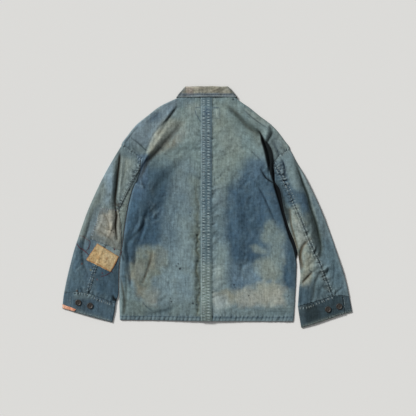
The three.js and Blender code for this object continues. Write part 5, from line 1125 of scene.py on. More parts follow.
# ------------------------------------------------------------------ the back
def body_seams(x, y, z, col):
    pucker(x, y, z, col, [(p[0], p[1], 1) for p in SEAM_L], 2.6, 0.7, 1.9, 0.34, 0.20, 0.25)
    pucker(x, y, z, col, [(p[0], p[1], 1) for p in SEAM_R], 2.6, 0.6, 1.9, 0.28, 0.28, 0.12)
    hem = [(119, 316.1, 1), (160, 316.3, 1), (200, 317.4, 1), (240, 317.6, 1), (270, 317.5, 1), (294, 317.4, 1)]
    low = (ss(315.8, 316.8, y) * (0.75 + 0.35 * noise(x / 5, y * 0, 57)))[:, None]
    col[:] = col * (1 - 0.5 * low) + lin((128, 145, 148)) * 0.5 * low
    # dark ticks in the hollows of the hem's puckers: painted shade
    tick = np.clip(np.cos(2 * math.pi * (x / 4.2 + 0.55 * noise(x / 9, y * 0, 58) + 0.08 * (y - 318))), 0, 1) ** 0.8
    k = (0.97 * tick * ss(315.6, 316.6, y) * ss(321.6, 319.8, y) * (0.75 + 0.4 * noise(x / 3, y / 3, 59)))[:, None]
    col[:] = col * (1 - k) + lin((28, 42, 48)) * k
    z += (0.7 * (0.4 - tick) * ss(315.4, 316.6, y))
    line = line_of(hem)
    i = reach_of(x, y, line, 3)
    d, s, way, v = near(x[i], y[i], line)
    k = (0.5 * np.exp(-(((d * s + 0.2) / 0.5) ** 2)) * (0.7 + 0.4 * noise(x[i] / 1.4, y[i] / 2, 56)))[:, None]  # the hem's stitched groove
    col[i] = col[i] * (1 - k) + lin((44, 62, 76)) * k
    z[i] -= 0.35 * np.exp(-((d / 0.7) ** 2))
    k = (0.30 * np.exp(-(((y[i] - 320.6) / 0.6) ** 2)))[:, None]
    col[i] = col[i] * (1 - k) + lin((142, 152, 150)) * k
    # scuffed line just above the hem
    k = (0.16 * np.exp(-(((d * s + 1.6) / 0.6) ** 2)))[:, None]
    col[i] = col[i] * (1 - k) + lin((146, 156, 152)) * k


def body_paint(x, y, z):
    col = body_colour(x, y)
    # ghosts of old folds and rubbing
    dip = ss(3, 0.6, np.abs(fbm(x / 14, y / 10, 140, 3)) * 10) * 0.05
    col *= (1 - dip)[:, None]
    # painted shade in the creases' hollows, highlights where a tint is pale
    paint_creases(x, y, col, BODY_CREASES)
    cloth_grain(x, y, z, col, 1.0, 0)
    body_seams(x, y, z, col)
    for cx, cy, r, k in SPOTS:
        spot(x, y, col, cx, cy, r * 1.15, (16, 22, 30), min(1.0, 1.35 * k))
    # the stitched square at the neck: plain rows of thread, and a darned thread to its left
    for pts, k, w in (([(195.6, 107.8, 1), (199.6, 107.6, 1)], 0.6, 0.5), ([(212.6, 108, 1), (218.6, 107.8, 1)], 0.6, 0.55), ([(195.2, 110.6, 1), (196.2, 115, 1), (198, 117.2, 1), (200.4, 121.4, 1), (204, 122.3, 1)], 0.5, 0.5), ([(213.6, 109, 1), (213.8, 118, 1)], 0.25, 0.4), ([(219.6, 108.6, 1), (219.6, 118.2, 1)], 0.35, 0.45), ([(212.4, 118.4, 1), (219.4, 118.4, 1)], 0.3, 0.45)):
        Crease(pts, 0, 1, 1, k, w, 0, (58, 76, 92)).paint(x, y, col)
    zone(x, y, col, [(214.4, 109.2), (219, 109.2), (219, 117.8), (214.4, 117.8)], (130, 143, 140), 0.6, 0.5, 0.3)
    Crease([(216.8, 109.6, 1), (216.7, 116.6, 1)], 0, 1, 1, 0.7, 0.5, 0, (160, 170, 164)).paint(x, y, col)
    return col


# painted shade: the deep fold between the back and the right sleeve is painted near black
def paint_gap_shade(x, y, col):
    i = reach_of(x, y, np.asarray(GAP, float), 2)
    if len(i):
        sd = poly_sd(x[i], y[i], GAP)
        k = (0.97 * ss(-1.3, 0.35, sd))[:, None]
        col[i] = col[i] * (1 - k) + lin((8, 11, 13)) * k


def body_height(x, y, dist):
    """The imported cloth, raised a little inside its edges, with the creases; never below the fronts."""
    lift = 3.2 * (1 - np.exp(-dist / 26)) * ss(98, 116, y) * ss(321, 306, y)
    z = back_base(x, y) + lift + relief(x, y, BODY_CREASES) * ss(94, 100, y)
    low = 2.45
    return np.where(z < low + 1, low + np.exp(np.clip(z - low - 1, -20, 0)), z)


def edge_roll(z, dist_mm, roll, width=5.0, low=1.05):
    """The cloth turns down round its side fold over the last `width` mm."""
    t = np.clip(1 - dist_mm / width, 0, 1)
    return z - roll * (z - low) * (1 - np.sqrt(np.clip(1 - t ** 2.2, 0, 1)))


STEP = 0.78


def rows_between(a, b, step=STEP):
    n = int(round((b - a) / step)) + 1
    return np.linspace(a, b, n)


def build_back_left():
    yc = rows_between(93.4, 320.9)
    t = pchip([r[0] for r in LEFT_ROWS], [r[1:] for r in LEFT_ROWS], yc)
    ex, ey, roll = t.T
    under = np.linspace(STRIP_R - 1.1, STRIP_L - 0.4, 7)[:-1]
    n = 118
    f = np.concatenate([np.linspace(0, 1, n)[:-4], 1 - np.array([3.0, 2.1, 1.35, 0.75, 0.3, 0.0]) / (n - 1)])
    R = len(yc)
    X = np.hstack([np.tile(under, (R, 1)), (STRIP_L - 0.4) + (ex[:, None] - STRIP_L + 0.4) * f])
    Y = np.hstack([np.tile(yc[:, None], (1, len(under))), yc[:, None] + (ey - yc)[:, None] * f])
    dist = np.hypot(X - ex[:, None], Y - ey[:, None]) * UNIT
    x, y = X.ravel(), Y.ravel()
    z = body_height(x, y, dist.ravel())
    fine = np.zeros(x.shape)
    col = body_paint(x, y, fine)
    # flat under the strip
    z = z + fine * ss(STRIP_L + 4, STRIP_L - 1, x)
    side = np.repeat(roll, X.shape[1])
    z = edge_roll(z, dist.ravel(), side)
    # the worn light line along the shoulder and side folds
    k = (0.14 * side * np.exp(-(((dist.ravel() - 3.5) / 3.0) ** 2)))[:, None]
    col = col * (1 - k) + lin((150, 164, 168)) * k
    mid = np.stack([*to_mm(x, y), z], 1).reshape(R, -1, 3)
    w = np.where(Y > 315.0, 2.0, CLOTH)
    return shell("back_left_cloth", mid, col.reshape(R, -1, 3), DENIM, w)


def strip_relief(x, y, z, col):
    """Two sewn rows with puckers between: crests painted pale (rubbed wear and painted highlight), hollows given
    painted shade; a worn pale ridge at the left edge, a raised, darker dashed line down the middle, and a dark line
    along the right edge.
    """
    dx = x - 206.2
    late = ss(262, 268, y)
    rag = 0.55 * (1 - late)
    ph1 = np.cos(2 * math.pi * (y / 2.9 + rag * noise(y / 7, y * 0, 51)))
    ph2 = np.cos(2 * math.pi * (y / 2.9 + 0.35 + rag * noise(y / 7, y * 0, 52)))
    g1, g2 = np.exp(-(((x - 203.9) / 1.35) ** 2)), np.exp(-(((x - 208.7) / 1.35) ** 2))
    amp = (0.35 + 0.65 * ss(100, 126, y)) * (0.8 + 0.3 * noise(x / 2, y / 5, 53))
    z += 1.1 * amp * (ph1 * g1 + ph2 * g2) - 0.35 * (g1 + g2) * amp
    z += 0.30 * np.exp(-(((x - 201.5) / 0.5) ** 2)) + 0.22 * np.exp(-(((x - 206.3) / 0.9) ** 2)) * amp
    lo = np.clip(-(ph1 * g1 + ph2 * g2), 0, 1) * amp
    hi = np.clip(ph1 * g1 + ph2 * g2, 0, 1) * amp
    # painted shade in the pucker hollows
    k = (0.95 * lo * (1 - 0.35 * late))[:, None]
    col[:] = col * (1 - k) + lin((30, 46, 60)) * k
    # pucker crests painted pale: rubbed wear and painted highlight
    k = (0.82 * hi * (0.7 + 0.3 * noise(x / 1.2, y / 1.2, 54)))[:, None]
    col[:] = col * (1 - k) + lin((168, 184, 188)) * k
    k = (0.5 * np.exp(-(((x - 211.0) / 0.7) ** 2)))[:, None]
    col[:] = col * (1 - k) + lin((50, 64, 74)) * k
    k = (0.45 * np.exp(-(((x - 206.2) / 0.7) ** 2)) * (0.6 + 0.4 * np.cos(2 * math.pi * y / 2.9)))[:, None]
    col[:] = col * (1 - k) + lin((60, 76, 86)) * k
    k = (0.55 * np.exp(-(((x - 201.5) / 0.5) ** 2)) * (0.8 + 0.3 * noise(x * 0, y / 1.6, 55)))[:, None]
    col[:] = col * (1 - k) + lin((142, 156, 158)) * k
    for p in ([(204.6, 112.4, 1), (209.2, 107.4, 1)], [(204.4, 116, 1), (210, 110.4, 1)], [(205.4, 107.6, 1), (210, 113.6, 1)], [(204.6, 111.4, 1), (209.4, 117.4, 1)]):  # a small darned cross
        Crease(p, 0, 1, 1, 0.6, 0.42, 0, (40, 56, 76)).paint(x, y, col)
    # ladder of cross threads near the hem
    lad = late * np.clip(np.cos(2 * math.pi * y / 2.6), 0, 1) * np.exp(-((dx / 4.4) ** 4))
    k = (0.22 * lad)[:, None]
    col[:] = col * (1 - k) + lin((168, 172, 158)) * k
    z += 0.12 * lad


def build_back_right():
    yc = rows_between(93.4, 321.0)
    up = pchip([r[0] for r in RIGHT_ROWS], [r[1:] for r in RIGHT_ROWS], np.minimum(yc, 165))
    ed = pchip([r[0] for r in RIGHT_EDGE], [r[1:] for r in RIGHT_EDGE], np.maximum(yc, 165))
    strip = np.concatenate([np.linspace(STRIP_L, STRIP_R, 13), [STRIP_R + 0.25, STRIP_R + 0.9, STRIP_R + 1.7]])
    g2 = STRIP_R + 1.7
    n1, n2 = 78, 32
    main = np.linspace(0, 1, n1 + 1)[1:]
    dipf = np.array([0.18, 0.5, 0.82, 1.0])
    farf = 1 - (1 - np.linspace(0, 1, n2 + 1)[1:]) ** 1.12
    R = len(yc)
    X, Y, DEEP, FAR = [], [], [], []
    last = None
    n = n1 + 8 + n2
    low_f = np.concatenate([np.linspace(0, 1, n + 1)[1:-6], 1 - np.array([3.2, 2.2, 1.4, 0.8, 0.3, 0.0]) / n])
    for k in range(R):
        y0 = yc[k]
        if y0 <= 165:
            lx, ly, bx, by, rx, ry, ex, ey, roll, deep = up[k]
            px = np.concatenate([g2 + (lx - g2) * main, lx + (bx - lx) * dipf, bx + (rx - bx) * dipf, rx + (ex - rx) * farf])
            py = np.concatenate([y0 + (ly - y0) * main, ly + (by - ly) * dipf, by + (ry - by) * dipf, ry + (ey - ry) * farf])
            dp = np.concatenate([np.zeros(n1), 0.5 - 0.5 * np.cos(math.pi * dipf), 0.5 + 0.5 * np.cos(math.pi * dipf), np.zeros(n2)]) * deep
            fr = np.concatenate([np.zeros(n1 + 4), dipf, np.ones(n2)]) * deep
            last = (px - g2) / (px[-1] - g2)
            last_dp, last_fr = dp, fr
            last_dy = py - (y0 + (ey - y0) * last)
            roll_k = roll
        else:
            ex, ey = ed[k]
            m = float(ss(165, 180, y0))
            f = last * (1 - m) + low_f * m
            fade = 1 - float(ss(165, 184, y0))
            px, py = g2 + (ex - g2) * f, y0 + (ey - y0) * f + np.interp(f, last, last_dy) * fade
            dp = np.interp(f, last, last_dp) * fade
            fr = np.interp(f, last, last_fr) * fade
            roll_k = float(ss(164, 168, y0))
        X.append(np.concatenate([strip, px]))
        Y.append(np.concatenate([np.full(len(strip), y0), py]))
        DEEP.append(np.concatenate([np.zeros(len(strip)), dp]))
        FAR.append(np.concatenate([np.zeros(len(strip)), fr]))
        if k == 0:
            rolls = []
        rolls.append(roll_k)
    X, Y, DEEP, FAR = map(np.array, (X, Y, DEEP, FAR))
    rolls = np.array(rolls)
    dist = np.hypot(X - X[:, -1:], Y - Y[:, -1:]) * UNIT
    x, y = X.ravel(), Y.ravel()
    z = body_height(x, y, dist.ravel())
    fine = np.zeros(x.shape)
    col = body_paint(x, y, fine)
    on = ss(STRIP_R + 0.95, STRIP_R + 0.2, x)
    sc = strip_colour(x, y)
    sf = np.zeros(x.shape)
    strip_relief(x, y, sf, sc)
    cloth_grain(x, y, sf, sc, 0.35, 20, 0.9)
    hem = y > 315.6
    sc[hem] *= 0.9
    col = col * (1 - on[:, None]) + sc * on[:, None]
    z = z + fine * (1 - on) + (1.55 + np.where(y > 315.0, 0.9, 0.0) + sf) * on
    # hollow of the deep fold
    dp = DEEP.ravel()
    z = z - 0.8 * ss(0.0, 1.0, FAR.ravel()) * (1 - dp)
    z = z * (1 - dp) + 1.9 * dp
    side = np.repeat(rolls, X.shape[1])
    z = edge_roll(z, dist.ravel(), side, np.where(y > 168, 8.0, 5.0))
    k = (0.12 * side * np.exp(-(((dist.ravel() - 4.0) / 3.0) ** 2)) * ss(232, 244, y))[:, None]
    col = col * (1 - k) + lin((140, 156, 162)) * k
    # painted shade where the back's edge rolls down beside the gap
    k = (0.5 * np.exp(-((dist.ravel() / 4.0) ** 2)) * ss(164, 172, y) * ss(262, 236, y))[:, None]
    col = col * (1 - k) + lin((40, 54, 62)) * k
    paint_gap_shade(x, y, col)
    mid = np.stack([*to_mm(x, y), z], 1).reshape(R, -1, 3)
    w = np.where((Y > 315.0) & (dist > 3), 2.0, CLOTH)
    return shell("back_right_cloth", mid, col.reshape(R, -1, 3), DENIM, w)


# ------------------------------------------------------------------ sleeves: a flattened tube, two panels
BOTTOM = 0.7


def tube_rows(table, per=15):
    t = np.linspace(0, len(table) - 1, (len(table) - 1) * per + 1)
    q = pchip(np.arange(len(table)), np.array(table, float).reshape(len(table), -1), t)
    return t, q.reshape(len(t), 4, 2)


def walk(q, s):
    """Points at distance s (mm) along each row's line of four points."""
    d = np.hypot(np.diff(q[:, :, 0], axis=1), np.diff(q[:, :, 1], axis=1)) * UNIT
    cum = np.hstack([np.zeros((len(q), 1)), np.cumsum(d, 1)])
    s = np.clip(s, 0, cum[:, -1:])
    X, Y = np.empty_like(s), np.empty_like(s)
    for r in range(len(q)):
        X[r], Y[r] = np.interp(s[r], cum[r], q[r, :, 0]), np.interp(s[r], cum[r], q[r, :, 1])
    return X, Y


def sleeve(side, name, table, folds, creases, colour, upper, seam_amp):
    t, q = tube_rows(table)
    R = len(t)
    tuck = (q[0] - q[15]) / np.hypot(*(q[0] - q[15]).T)[:, None]  # the sleeve's top passes under the back's edge
    q[-8:] += ((q[-1] - q[-9]) / np.hypot(*(q[-1] - q[-9]).T)[:, None] * 0.5)[None] * np.linspace(0.1, 1, 8)[:, None, None]
    q[:15] += (tuck * np.array([0.4, 1.5, 1.5, 0.9])[:, None])[None] * (1 - t[:15])[:, None, None] ** 3
    d = np.hypot(np.diff(q[:, :, 0], axis=1), np.diff(q[:, :, 1], axis=1)) * UNIT
    L, S = d.sum(1)[:, None], d[:, :2].sum(1)[:, None]
    F = L * 0.62
    last = len(table) - 1
    start, end = np.clip(1 - t / 2, 0, 1)[:, None], np.clip(1 - (last - t) / 2, 0, 1)[:, None]

    def top(s, X, Y):
        x, y = X.ravel(), Y.ravel()
        f = s / L
        puff = np.sqrt(np.clip(4 * f * (1 - f), 0, 1))
        fo = np.maximum(-2, fold_sum(folds, x, y)).reshape(s.shape)
        free = 3.3 + 4.6 * puff + fo * (1 - start) * (1 - end)
        body = (back_base(x, y) + relief(x, y, BODY_CREASES)).reshape(s.shape) - 1.35 * ss(0.26, 0.10, t)[:, None] - 0.15
        z = np.maximum(2.8, free * (1 - start) * (1 - end) + body * start + (4.3 + 0.6 * puff) * end)
        ex = relief(x, y, creases).reshape(s.shape)
        z = z + ex * np.clip((L - s) / 9, 0.2, 1) * (1 - start)
        return np.where(z < 3.5, 2.5 + np.exp(np.clip(z - 3.5, -20, 0)), z)

    lap = 4.6
    edge_r = 3.6
    if upper:
        s_bot = F - 0.25 + (edge_r - F + 0.25) * np.linspace(0, 1, 8)[None, :]
        turn = np.array([0.55, 0.2, 0.03, 0.0, 0.03, 0.2, 0.55])[None, :] * edge_r + 0.6
        n = 58
        s_top = edge_r + (S + lap - edge_r) * np.linspace(0, 1, n)[None, :]
    else:
        room = L - S
        e = np.minimum(edge_r, room * 0.35)
        s_bot = F + 0.25 + (L - e - F - 0.25) * np.linspace(0, 1, 6)[None, :]
        turn = L - 0.6 - e * np.array([0.55, 0.2, 0.03, 0.0, 0.03, 0.2, 0.55])[None, :]
        n = 40
        s_top = (L - e) + (S - 3.5 - L + e) * np.linspace(0, 1, n)[None, :]
    s = np.hstack([np.broadcast_to(s_bot, (R, s_bot.shape[1])), np.broadcast_to(turn, (R, 7)), np.broadcast_to(s_top, (R, n))])
    X, Y = walk(q, s)
    nb = s_bot.shape[1]
    Z = np.full(s.shape, BOTTOM)
    zt = top(s[:, nb + 7:], X[:, nb + 7:], Y[:, nb + 7:])
    x, y = X[:, nb + 7:].ravel(), Y[:, nb + 7:].ravel()
    col = colour(x, y)
    paint_creases(x, y, col, creases)
    fine = np.zeros(x.shape)
    cloth_grain(x, y, fine, col, 0.8, 30 if side == "left" else 40)
    arm = SEAM_L if side == "left" else SEAM_R
    tb = np.repeat(t, n)
    k = (0.8 * ss(0.75, 0.05, tb))[:, None]
    col = col * (1 - k) + body_colour(x, y) * k
    pucker(x, y, fine, col, [(a, b, 1) for a, b in arm], 2.6, 0.6, 2.0, 0.34, 0.25, 0.2)
    seam = [(a, b, 1) for a, b in np.array(table, float)[:, 2, :]]
    pucker(x, y, fine, col, seam, 2.7, seam_amp, 1.7, 0.42, 0.40, 0.0)
    lo = 1 if side == "left" else -1
    Crease(seam, 0, 1, 1, 0.5, 0.75, 0, (34, 46, 54)).paint(x, y, col)  # the sewn line itself
    Crease([(a + lo * 2.6, b + 0.4, v) for a, b, v in seam], 0, 1, 1, 0.34, 0.6, 0, (44, 56, 62)).paint(x, y, col)
    pucker(x, y, fine, col, [(a + lo * 2.6, b + 0.4, v) for a, b, v in seam], 2.7, 0.3, 1.1, 0.26, 0.26, 0.0)
    if side == "left":
        # painted shadow cast by the back's edge onto the sleeve
        edge = [(141.6, 163, 1), (139.6, 172, 1), (133, 189, 1), (128.4, 205, 1), (125.6, 221, 1), (123.4, 240, 1), (120.6, 262, 0.8)]
        Crease(edge, 0, 1, 1, 0.42, 1.5, 0, (50, 64, 74)).paint(x, y, col)
    if side == "left":
        Crease([(142.6, 157, 0.6), (140.6, 168, 1), (136.6, 176, 1), (126.4, 195.6, 1), (121.6, 205, 1), (117, 213, 0.6)], 0, 1, 1, 0.62, 0.55, 0, (44, 54, 58)).paint(x, y, col)
        Crease([(97.6, 266, 0.7), (93.4, 279, 1), (90.4, 291, 0.8)], 0, 1, 1, 0.45, 0.55, 0, (40, 56, 66)).paint(x, y, col)
    for sp in SLEEVE_SPOTS if side == "left" else []:
        spot(x, y, col, sp[0], sp[1], sp[2], sp[4], sp[3])
    if side == "right":
        for px, py in ((323.5, 331.5), (0, 0)):
            pass
    # worn light line along the outer fold
    so = s[:, nb + 7:].ravel()
    if upper:
        k = (0.22 * np.exp(-(((so - 5) / 4.0) ** 2)))[:, None]
        col = col * (1 - k) + lin((146, 158, 160)) * k
    if side == "right":
        paint_gap_shade(x, y, col)
    near_cuff = (0.12 * ss(0.8, 0.0, np.repeat(last - t, n)))[:, None]
    col = col * (1 - near_cuff) + lin((50, 64, 72)) * near_cuff
    fine = fine.reshape(zt.shape) * np.clip(np.abs(s[:, nb + 7:] - (0 if upper else L)) / 8, 0.1, 1)
    lapz = ss(-1.2, 0.8, s[:, nb + 7:] - (S - 1.5)) * 1.05 if upper else 0
    zt = zt + fine + lapz
    Z[:, nb + 7:] = zt
    z0 = zt[:, :1]
    for j, a in enumerate([-80, -55, -28, 0, 28, 55, 80]):
        Z[:, nb + j] = (BOTTOM + (z0[:, 0] - BOTTOM) * (0.5 + 0.5 * math.sin(math.radians(a))))
    cc = np.tile(lin((74, 92, 106)), (R * s.shape[1], 1)).reshape(R, -1, 3)
    cc[:, nb + 7:] = col.reshape(R, n, 3)
    # the turn round the edge painted a little darker: painted shade
    cc[:, nb:nb + 7] = cc[:, nb + 7:nb + 8] * 0.96
    g = 1 + 0.10 * fbm(X / 5, Y / 5, 181, 2) + 0.06 * noise(X / 1.5, Y / 1.5, 183)
    cc[:, :nb] *= g[:, :nb, None]
    mid = np.stack([*to_mm(X, Y), Z], 2)
    o, topf = shell(name, mid, cc, DENIM, CLOTH, face=(0, R, nb + 9, nb + 7 + n))
    return o, topf[:, nb + 5:]


# ------------------------------------------------------------------ cuffs
def build_cuff(side, table, lap_px, colour):
    t = np.linspace(0, 2, 29)
    q = pchip([0, 1, 2], np.array(table, float).reshape(3, -1), t).reshape(-1, 4, 2)
    R = len(t)
    d = np.hypot(np.diff(q[:, :, 0], axis=1), np.diff(q[:, :, 1], axis=1)) * UNIT
    L = d.sum(1)[:, None]
    lap = lap_px * UNIT
    one = np.ones((R, 1))
    n = 78
    a = lap + (L - 3.2 - lap) * np.linspace(0, 1, n)
    f = np.broadcast_to(np.linspace(0, 1, n), (R, n))
    za = 5.1 - 1.1 * ss(0.3, 1, f)
    segs = [(a, za), (L - 1.3, 3.4 * one), (L - 0.7, 2.35 * one), (L - 1.3, 1.3 * one)]
    b = (L - 3.2) + (3.2 - L + 3.2) * np.linspace(0, 1, 22)
    segs += [(b, np.full((R, 22), 0.7)), (1.2 * one, 1.2 * one), (0.7 * one, 2.0 * one), (1.2 * one, 2.8 * one)]
    m = 22
    c = 3.2 + (lap + 16 - 3.2) * np.linspace(0, 1, m) * one
    segs += [(c, np.full((R, m), 3.3))]
    s = np.hstack([p[0] for p in segs])
    Z = np.hstack([p[1] for p in segs])
    X, Y = walk(q, s)
    x, y = X.ravel(), Y.ravel()
    col = colour(x, y)
    fine = np.zeros(x.shape)
    cloth_grain(x, y, fine, col, 0.45, 50 if side == "left" else 60)
    tt = np.repeat(t, s.shape[1])
    top_edge = [(p[0], p[1] + 1.2, 1) for p in np.array(table[0])]
    low_edge = [(p[0], p[1] - 1.2, 1) for p in np.array(table[2])]
    if side == "left":
        top_edge = [(75, 293.8, 0.8), (82, 293.6, 1), (90, 295.6, 1), (95, 298.6, 1), (101, 300.6, 1), (114.5, 304.6, 1)]
    else:
        top_edge = [(298.2, 308.2, 0.8), (307.9, 307.2, 1), (315.5, 304, 1), (325.7, 299.8, 1), (334, 296.6, 1)]
    pucker(x, y, fine, col, top_edge, 3.4, 0.4, 1.6, 0.40, 0.42, 0.0)
    pucker(x, y, fine, col, low_edge, 3.0, 0.22, 1.3, 0.2, 0.22, 0.12)
    rag = np.clip(fbm(x / 1.3, y / 1.3, 71, 2) * 1.6 + 0.25, 0, 1)
    k = (0.75 * ss(1.90, 2.0, tt) * rag)[:, None]
    col = col * (1 - k) + lin((158, 156, 138)) * k
    k = (0.5 * ss(1.92, 2.0, tt) * np.clip(fbm(x / 1.1, y / 1.1, 73, 2) * 2 - 0.5, 0, 1))[:, None]
    col = col * (1 - k) + lin((96, 74, 54)) * k
    Z = Z + (fine * ss(2.5, 3.2, Z.ravel())).reshape(Z.shape)
    lay = np.zeros(s.shape, bool)
    lay[:, :n] = True
    cc = col.reshape(R, -1, 3)
    # the turn at the cuff's edge painted darker: painted shade
    cc[:, n:n + 3] *= 0.9
    cc[:, n + 3:n + 25] = lin((72, 90, 102)) * (1 + 0.1 * fbm(X / 4, Y / 4, 75, 2)[:, n + 3:n + 25, None])
    mid = np.stack([*to_mm(X, Y), Z], 2)
    o, top = shell("cuff_%s_cloth" % side, mid, cc, DENIM, 1.3, face=(0, R, 2, n - 6))
    return o, top[:, :n], top[:, -m:]


# ------------------------------------------------------------------ collar
def build_collar():
    rows = pchip(np.arange(8), np.array(LOOPS), np.linspace(0, 7, 36))
    out, cols = [], []
    for yb, xl, xr, zb, zf, yf, op in rows:
        r, zc = (zb - zf) / 2, (zb + zf) / 2
        k = max(0.3, r * 0.5) / UNIT
        h = 0.7 / UNIT
        xc = 207

        def fy(x):
            f = (x - xc) / (xc - xl if x < xc else xr - xc)
            return yf + (yb + 0.5 - yf) * abs(f) ** 1.7

        row = []
        for f in np.linspace(0, 1, 16) ** 0.85:
            x = (xc - op) + ((xl + k + h) - (xc - op)) * f
            row.append((x, fy(x), zf))
        for a in (-55, -28, 0, 28, 55):
            row.append((xl + h + k * (1 - math.cos(math.radians(a))), yb + 0.25 - 0.15 * math.sin(math.radians(a)), zc + r * math.sin(math.radians(a))))
        over = float(ss(6.0, 6.6, zb)) * 1.7
        for f in np.linspace(0, 1, 74):
            x = (xl + k + h) + (xr - xl - 2 * k - 2 * h) * f
            wob = 0.35 * math.sin(f * 17) + 0.3 * math.sin(f * 7 + 1)
            row.append((x, yb + 0.26 * wob * float(ss(94, 90, yb)) + 0.05 * wob, zb + over * float(min(1 - ss(STRIP_L - 1, STRIP_L - 8, x), 1 - ss(STRIP_R + 3, STRIP_R + 10, x)))))
        for a in (55, 28, 0, -28, -55):
            row.append((xr - h - k * (1 - math.cos(math.radians(a))), yb + 0.25 - 0.15 * math.sin(math.radians(a)), zc + r * math.sin(math.radians(a))))
        for f in (np.linspace(0, 1, 16) ** 0.85)[::-1]:
            x = (xc + op) + ((xr - k - h) - (xc + op)) * f
            row.append((x, fy(x), zf))
        out.append(row)
    A = np.array(out, float)
    R, K = A.shape[:2]
    x, y = A[..., 0].ravel(), A[..., 1].ravel()
    col = collar_colour(x, y)
    fine = np.zeros(x.shape)
    cloth_grain(x, y, fine, col, 0.75, 80, 1.5)
    # painted shade in the wrinkles' hollows, painted highlights on a ridge and along the lit top edge
    bends = [
        C([(211, 92.8, 0.6), (216, 90.6, 1), (221, 88.2, 0.6)], -0.8, 1.0, 1.2, 0.42, 0.7, 0, (92, 88, 74)), C([(216, 93.4, 0.6), (221.6, 91, 1), (227, 88.8, 0.5)], -0.8, 0.9, 1.2, 0.36, 0.6, 0, (84, 86, 80)),
        C([(212, 91.2, 0.5), (217, 89, 1), (222, 87.4, 0.4)], 0.7, 0.9, 0.9, 0.3, 0.5, 0, (176, 172, 156)), C([(194, 90.4, 0.3), (200, 91.2, 1), (206, 90.2, 0.4)], -0.5, 0.9, 1.1, 0.3, 0.7, 0, (104, 100, 88)),
        C([(186.8, 87.6, 0.8), (192, 87.8, 1), (200, 88.2, 0.7), (206, 88.8, 0.3)], 0.4, 0.8, 0.8, 0.55, 0.9, 0, (188, 182, 166)), C([(183.6, 90, 0.5), (181, 93.4, 1), (178, 97, 0.7)], -0.4, 0.9, 0.9, 0.4, 0.7, 0, (64, 74, 80)),
        C([(228.6, 88, 0.5), (231.4, 91.4, 1), (235, 96, 0.7)], -0.4, 0.9, 0.9, 0.45, 0.8, 0, (58, 66, 68)), C([(204, 93.4, 0.3), (209, 92.4, 1), (214, 93.2, 0.3)], -0.4, 0.8, 0.8, 0.3, 0.5, 0, (96, 96, 88)),
    ]
    t = np.repeat(np.linspace(0, 7, R), K)
    for c in bends:
        keep_under = col[t <= 3.2].copy()
        c.paint(x, y, col)
        col[t <= 3.2] = keep_under
    fine += relief(x, y, bends) * (t > 3.2)
    fall = t > 4.0
    # topstitching near the fall's edge, painted shadow under the fall's edge, and a worn, dirty fold
    for yy, k0, w, c in ((94.9, 0.85, 0.42, (34, 50, 72)), (96.2, 0.62, 0.42, (150, 162, 164)), (97.35, 0.95, 0.5, (18, 26, 34)), (93.4, 0.4, 0.4, (62, 78, 94))):
        dash = 0.7 + 0.3 * np.cos(2 * math.pi * x / 2.2)
        k = (k0 * dash * np.exp(-(((y - yy - 0.25 * np.sin(x / 9)) / w) ** 2)) * fall)[:, None]
        col = col * (1 - k) + lin(c) * k
    fine += np.where(fall, -0.3 * np.exp(-(((y - 95.0) / 0.4) ** 2)) + 0.18 * np.exp(-(((y - 96.4) / 0.5) ** 2)), 0)
    k = (0.25 * np.clip(fbm(x / 3.4, y / 1.6, 84, 3) * 1.8, 0, 1))[:, None]
    col = col * (1 - k) + lin((96, 92, 78)) * k
    Z = A[..., 2] + (fine * (A[..., 2].ravel() > 6)).reshape(R, K)
    mid = np.stack([*to_mm(A[..., 0], A[..., 1]), Z], 2)
    o, top = shell("collar_cloth", mid, col.reshape(R, K, 3), COTTON, CLOTH, inner=(118, 120, 112), face=(24, 36, 30, 86))
    return o, top[16:, 21:95]


# ------------------------------------------------------------------ patches
def build_patch(name, left, right, nu, nv, ground, colour, mat, wall, slot_grain, wr=0.5, fray=0.12, extra=None, inner=(120, 120, 110)):
    """left, right: lists of points down both sides; the patch lies on what is below it."""
    lp, rp = smooth_line([(a, b, 0) for a, b in left], 8), smooth_line([(a, b, 0) for a, b in right], 8)

    def along(p, f):
        c = np.concatenate([[0], np.cumsum(np.hypot(np.diff(p[:, 0]), np.diff(p[:, 1])))])
        return np.interp(f * c[-1], c, p[:, 0]), np.interp(f * c[-1], c, p[:, 1])

    v = np.linspace(0, 1, nv + 1)
    lx, ly = along(lp, v)
    rx, ry = along(rp, v)
    u = np.linspace(0, 1, nu + 1)[None, :]
    X, Y = lx[:, None] + (rx - lx)[:, None] * u, ly[:, None] + (ry - ly)[:, None] * u
    # torn and frayed edges wander a little
    eu, ev = np.minimum(u, 1 - u), np.minimum(v, 1 - v)[:, None]
    e = np.minimum(eu * np.ones_like(X), ev * np.ones_like(X))
    fr = np.exp(-((e / 0.04) ** 2)) * fray
    X = X + fr * 2.2 * noise(X / 0.8, Y / 0.8, 211)
    Y = Y + fr * 2.2 * noise(X / 0.8, Y / 0.8, 213)
    x, y = X.ravel(), Y.ravel()
    mx, my = to_mm(x, y)
    z = ground.z(mx, my).reshape(X.shape)
    for _ in range(3):
        p = np.pad(z, 1, mode="edge")
        z = np.maximum(z, (p[:-2, 1:-1] + p[2:, 1:-1] + p[1:-1, :-2] + p[1:-1, 2:]) / 4)
    col = colour(x, y)
    fine = np.zeros(x.shape)
    cloth_grain(x, y, fine, col, wr, slot_grain, 0.9)
    if extra:
        extra(x, y, fine, col)
    rim = np.exp(-((e.ravel() / 0.05) ** 2))
    Z = z + wall / 2 + 0.35 + (fine * (1 - 0.7 * rim)).reshape(X.shape).clip(-0.35, 3)
    mid = np.stack([mx.reshape(X.shape), my.reshape(X.shape), Z], 2)
    return shell(name, mid, col.reshape(*X.shape, 3), mat, wall, inner=inner)


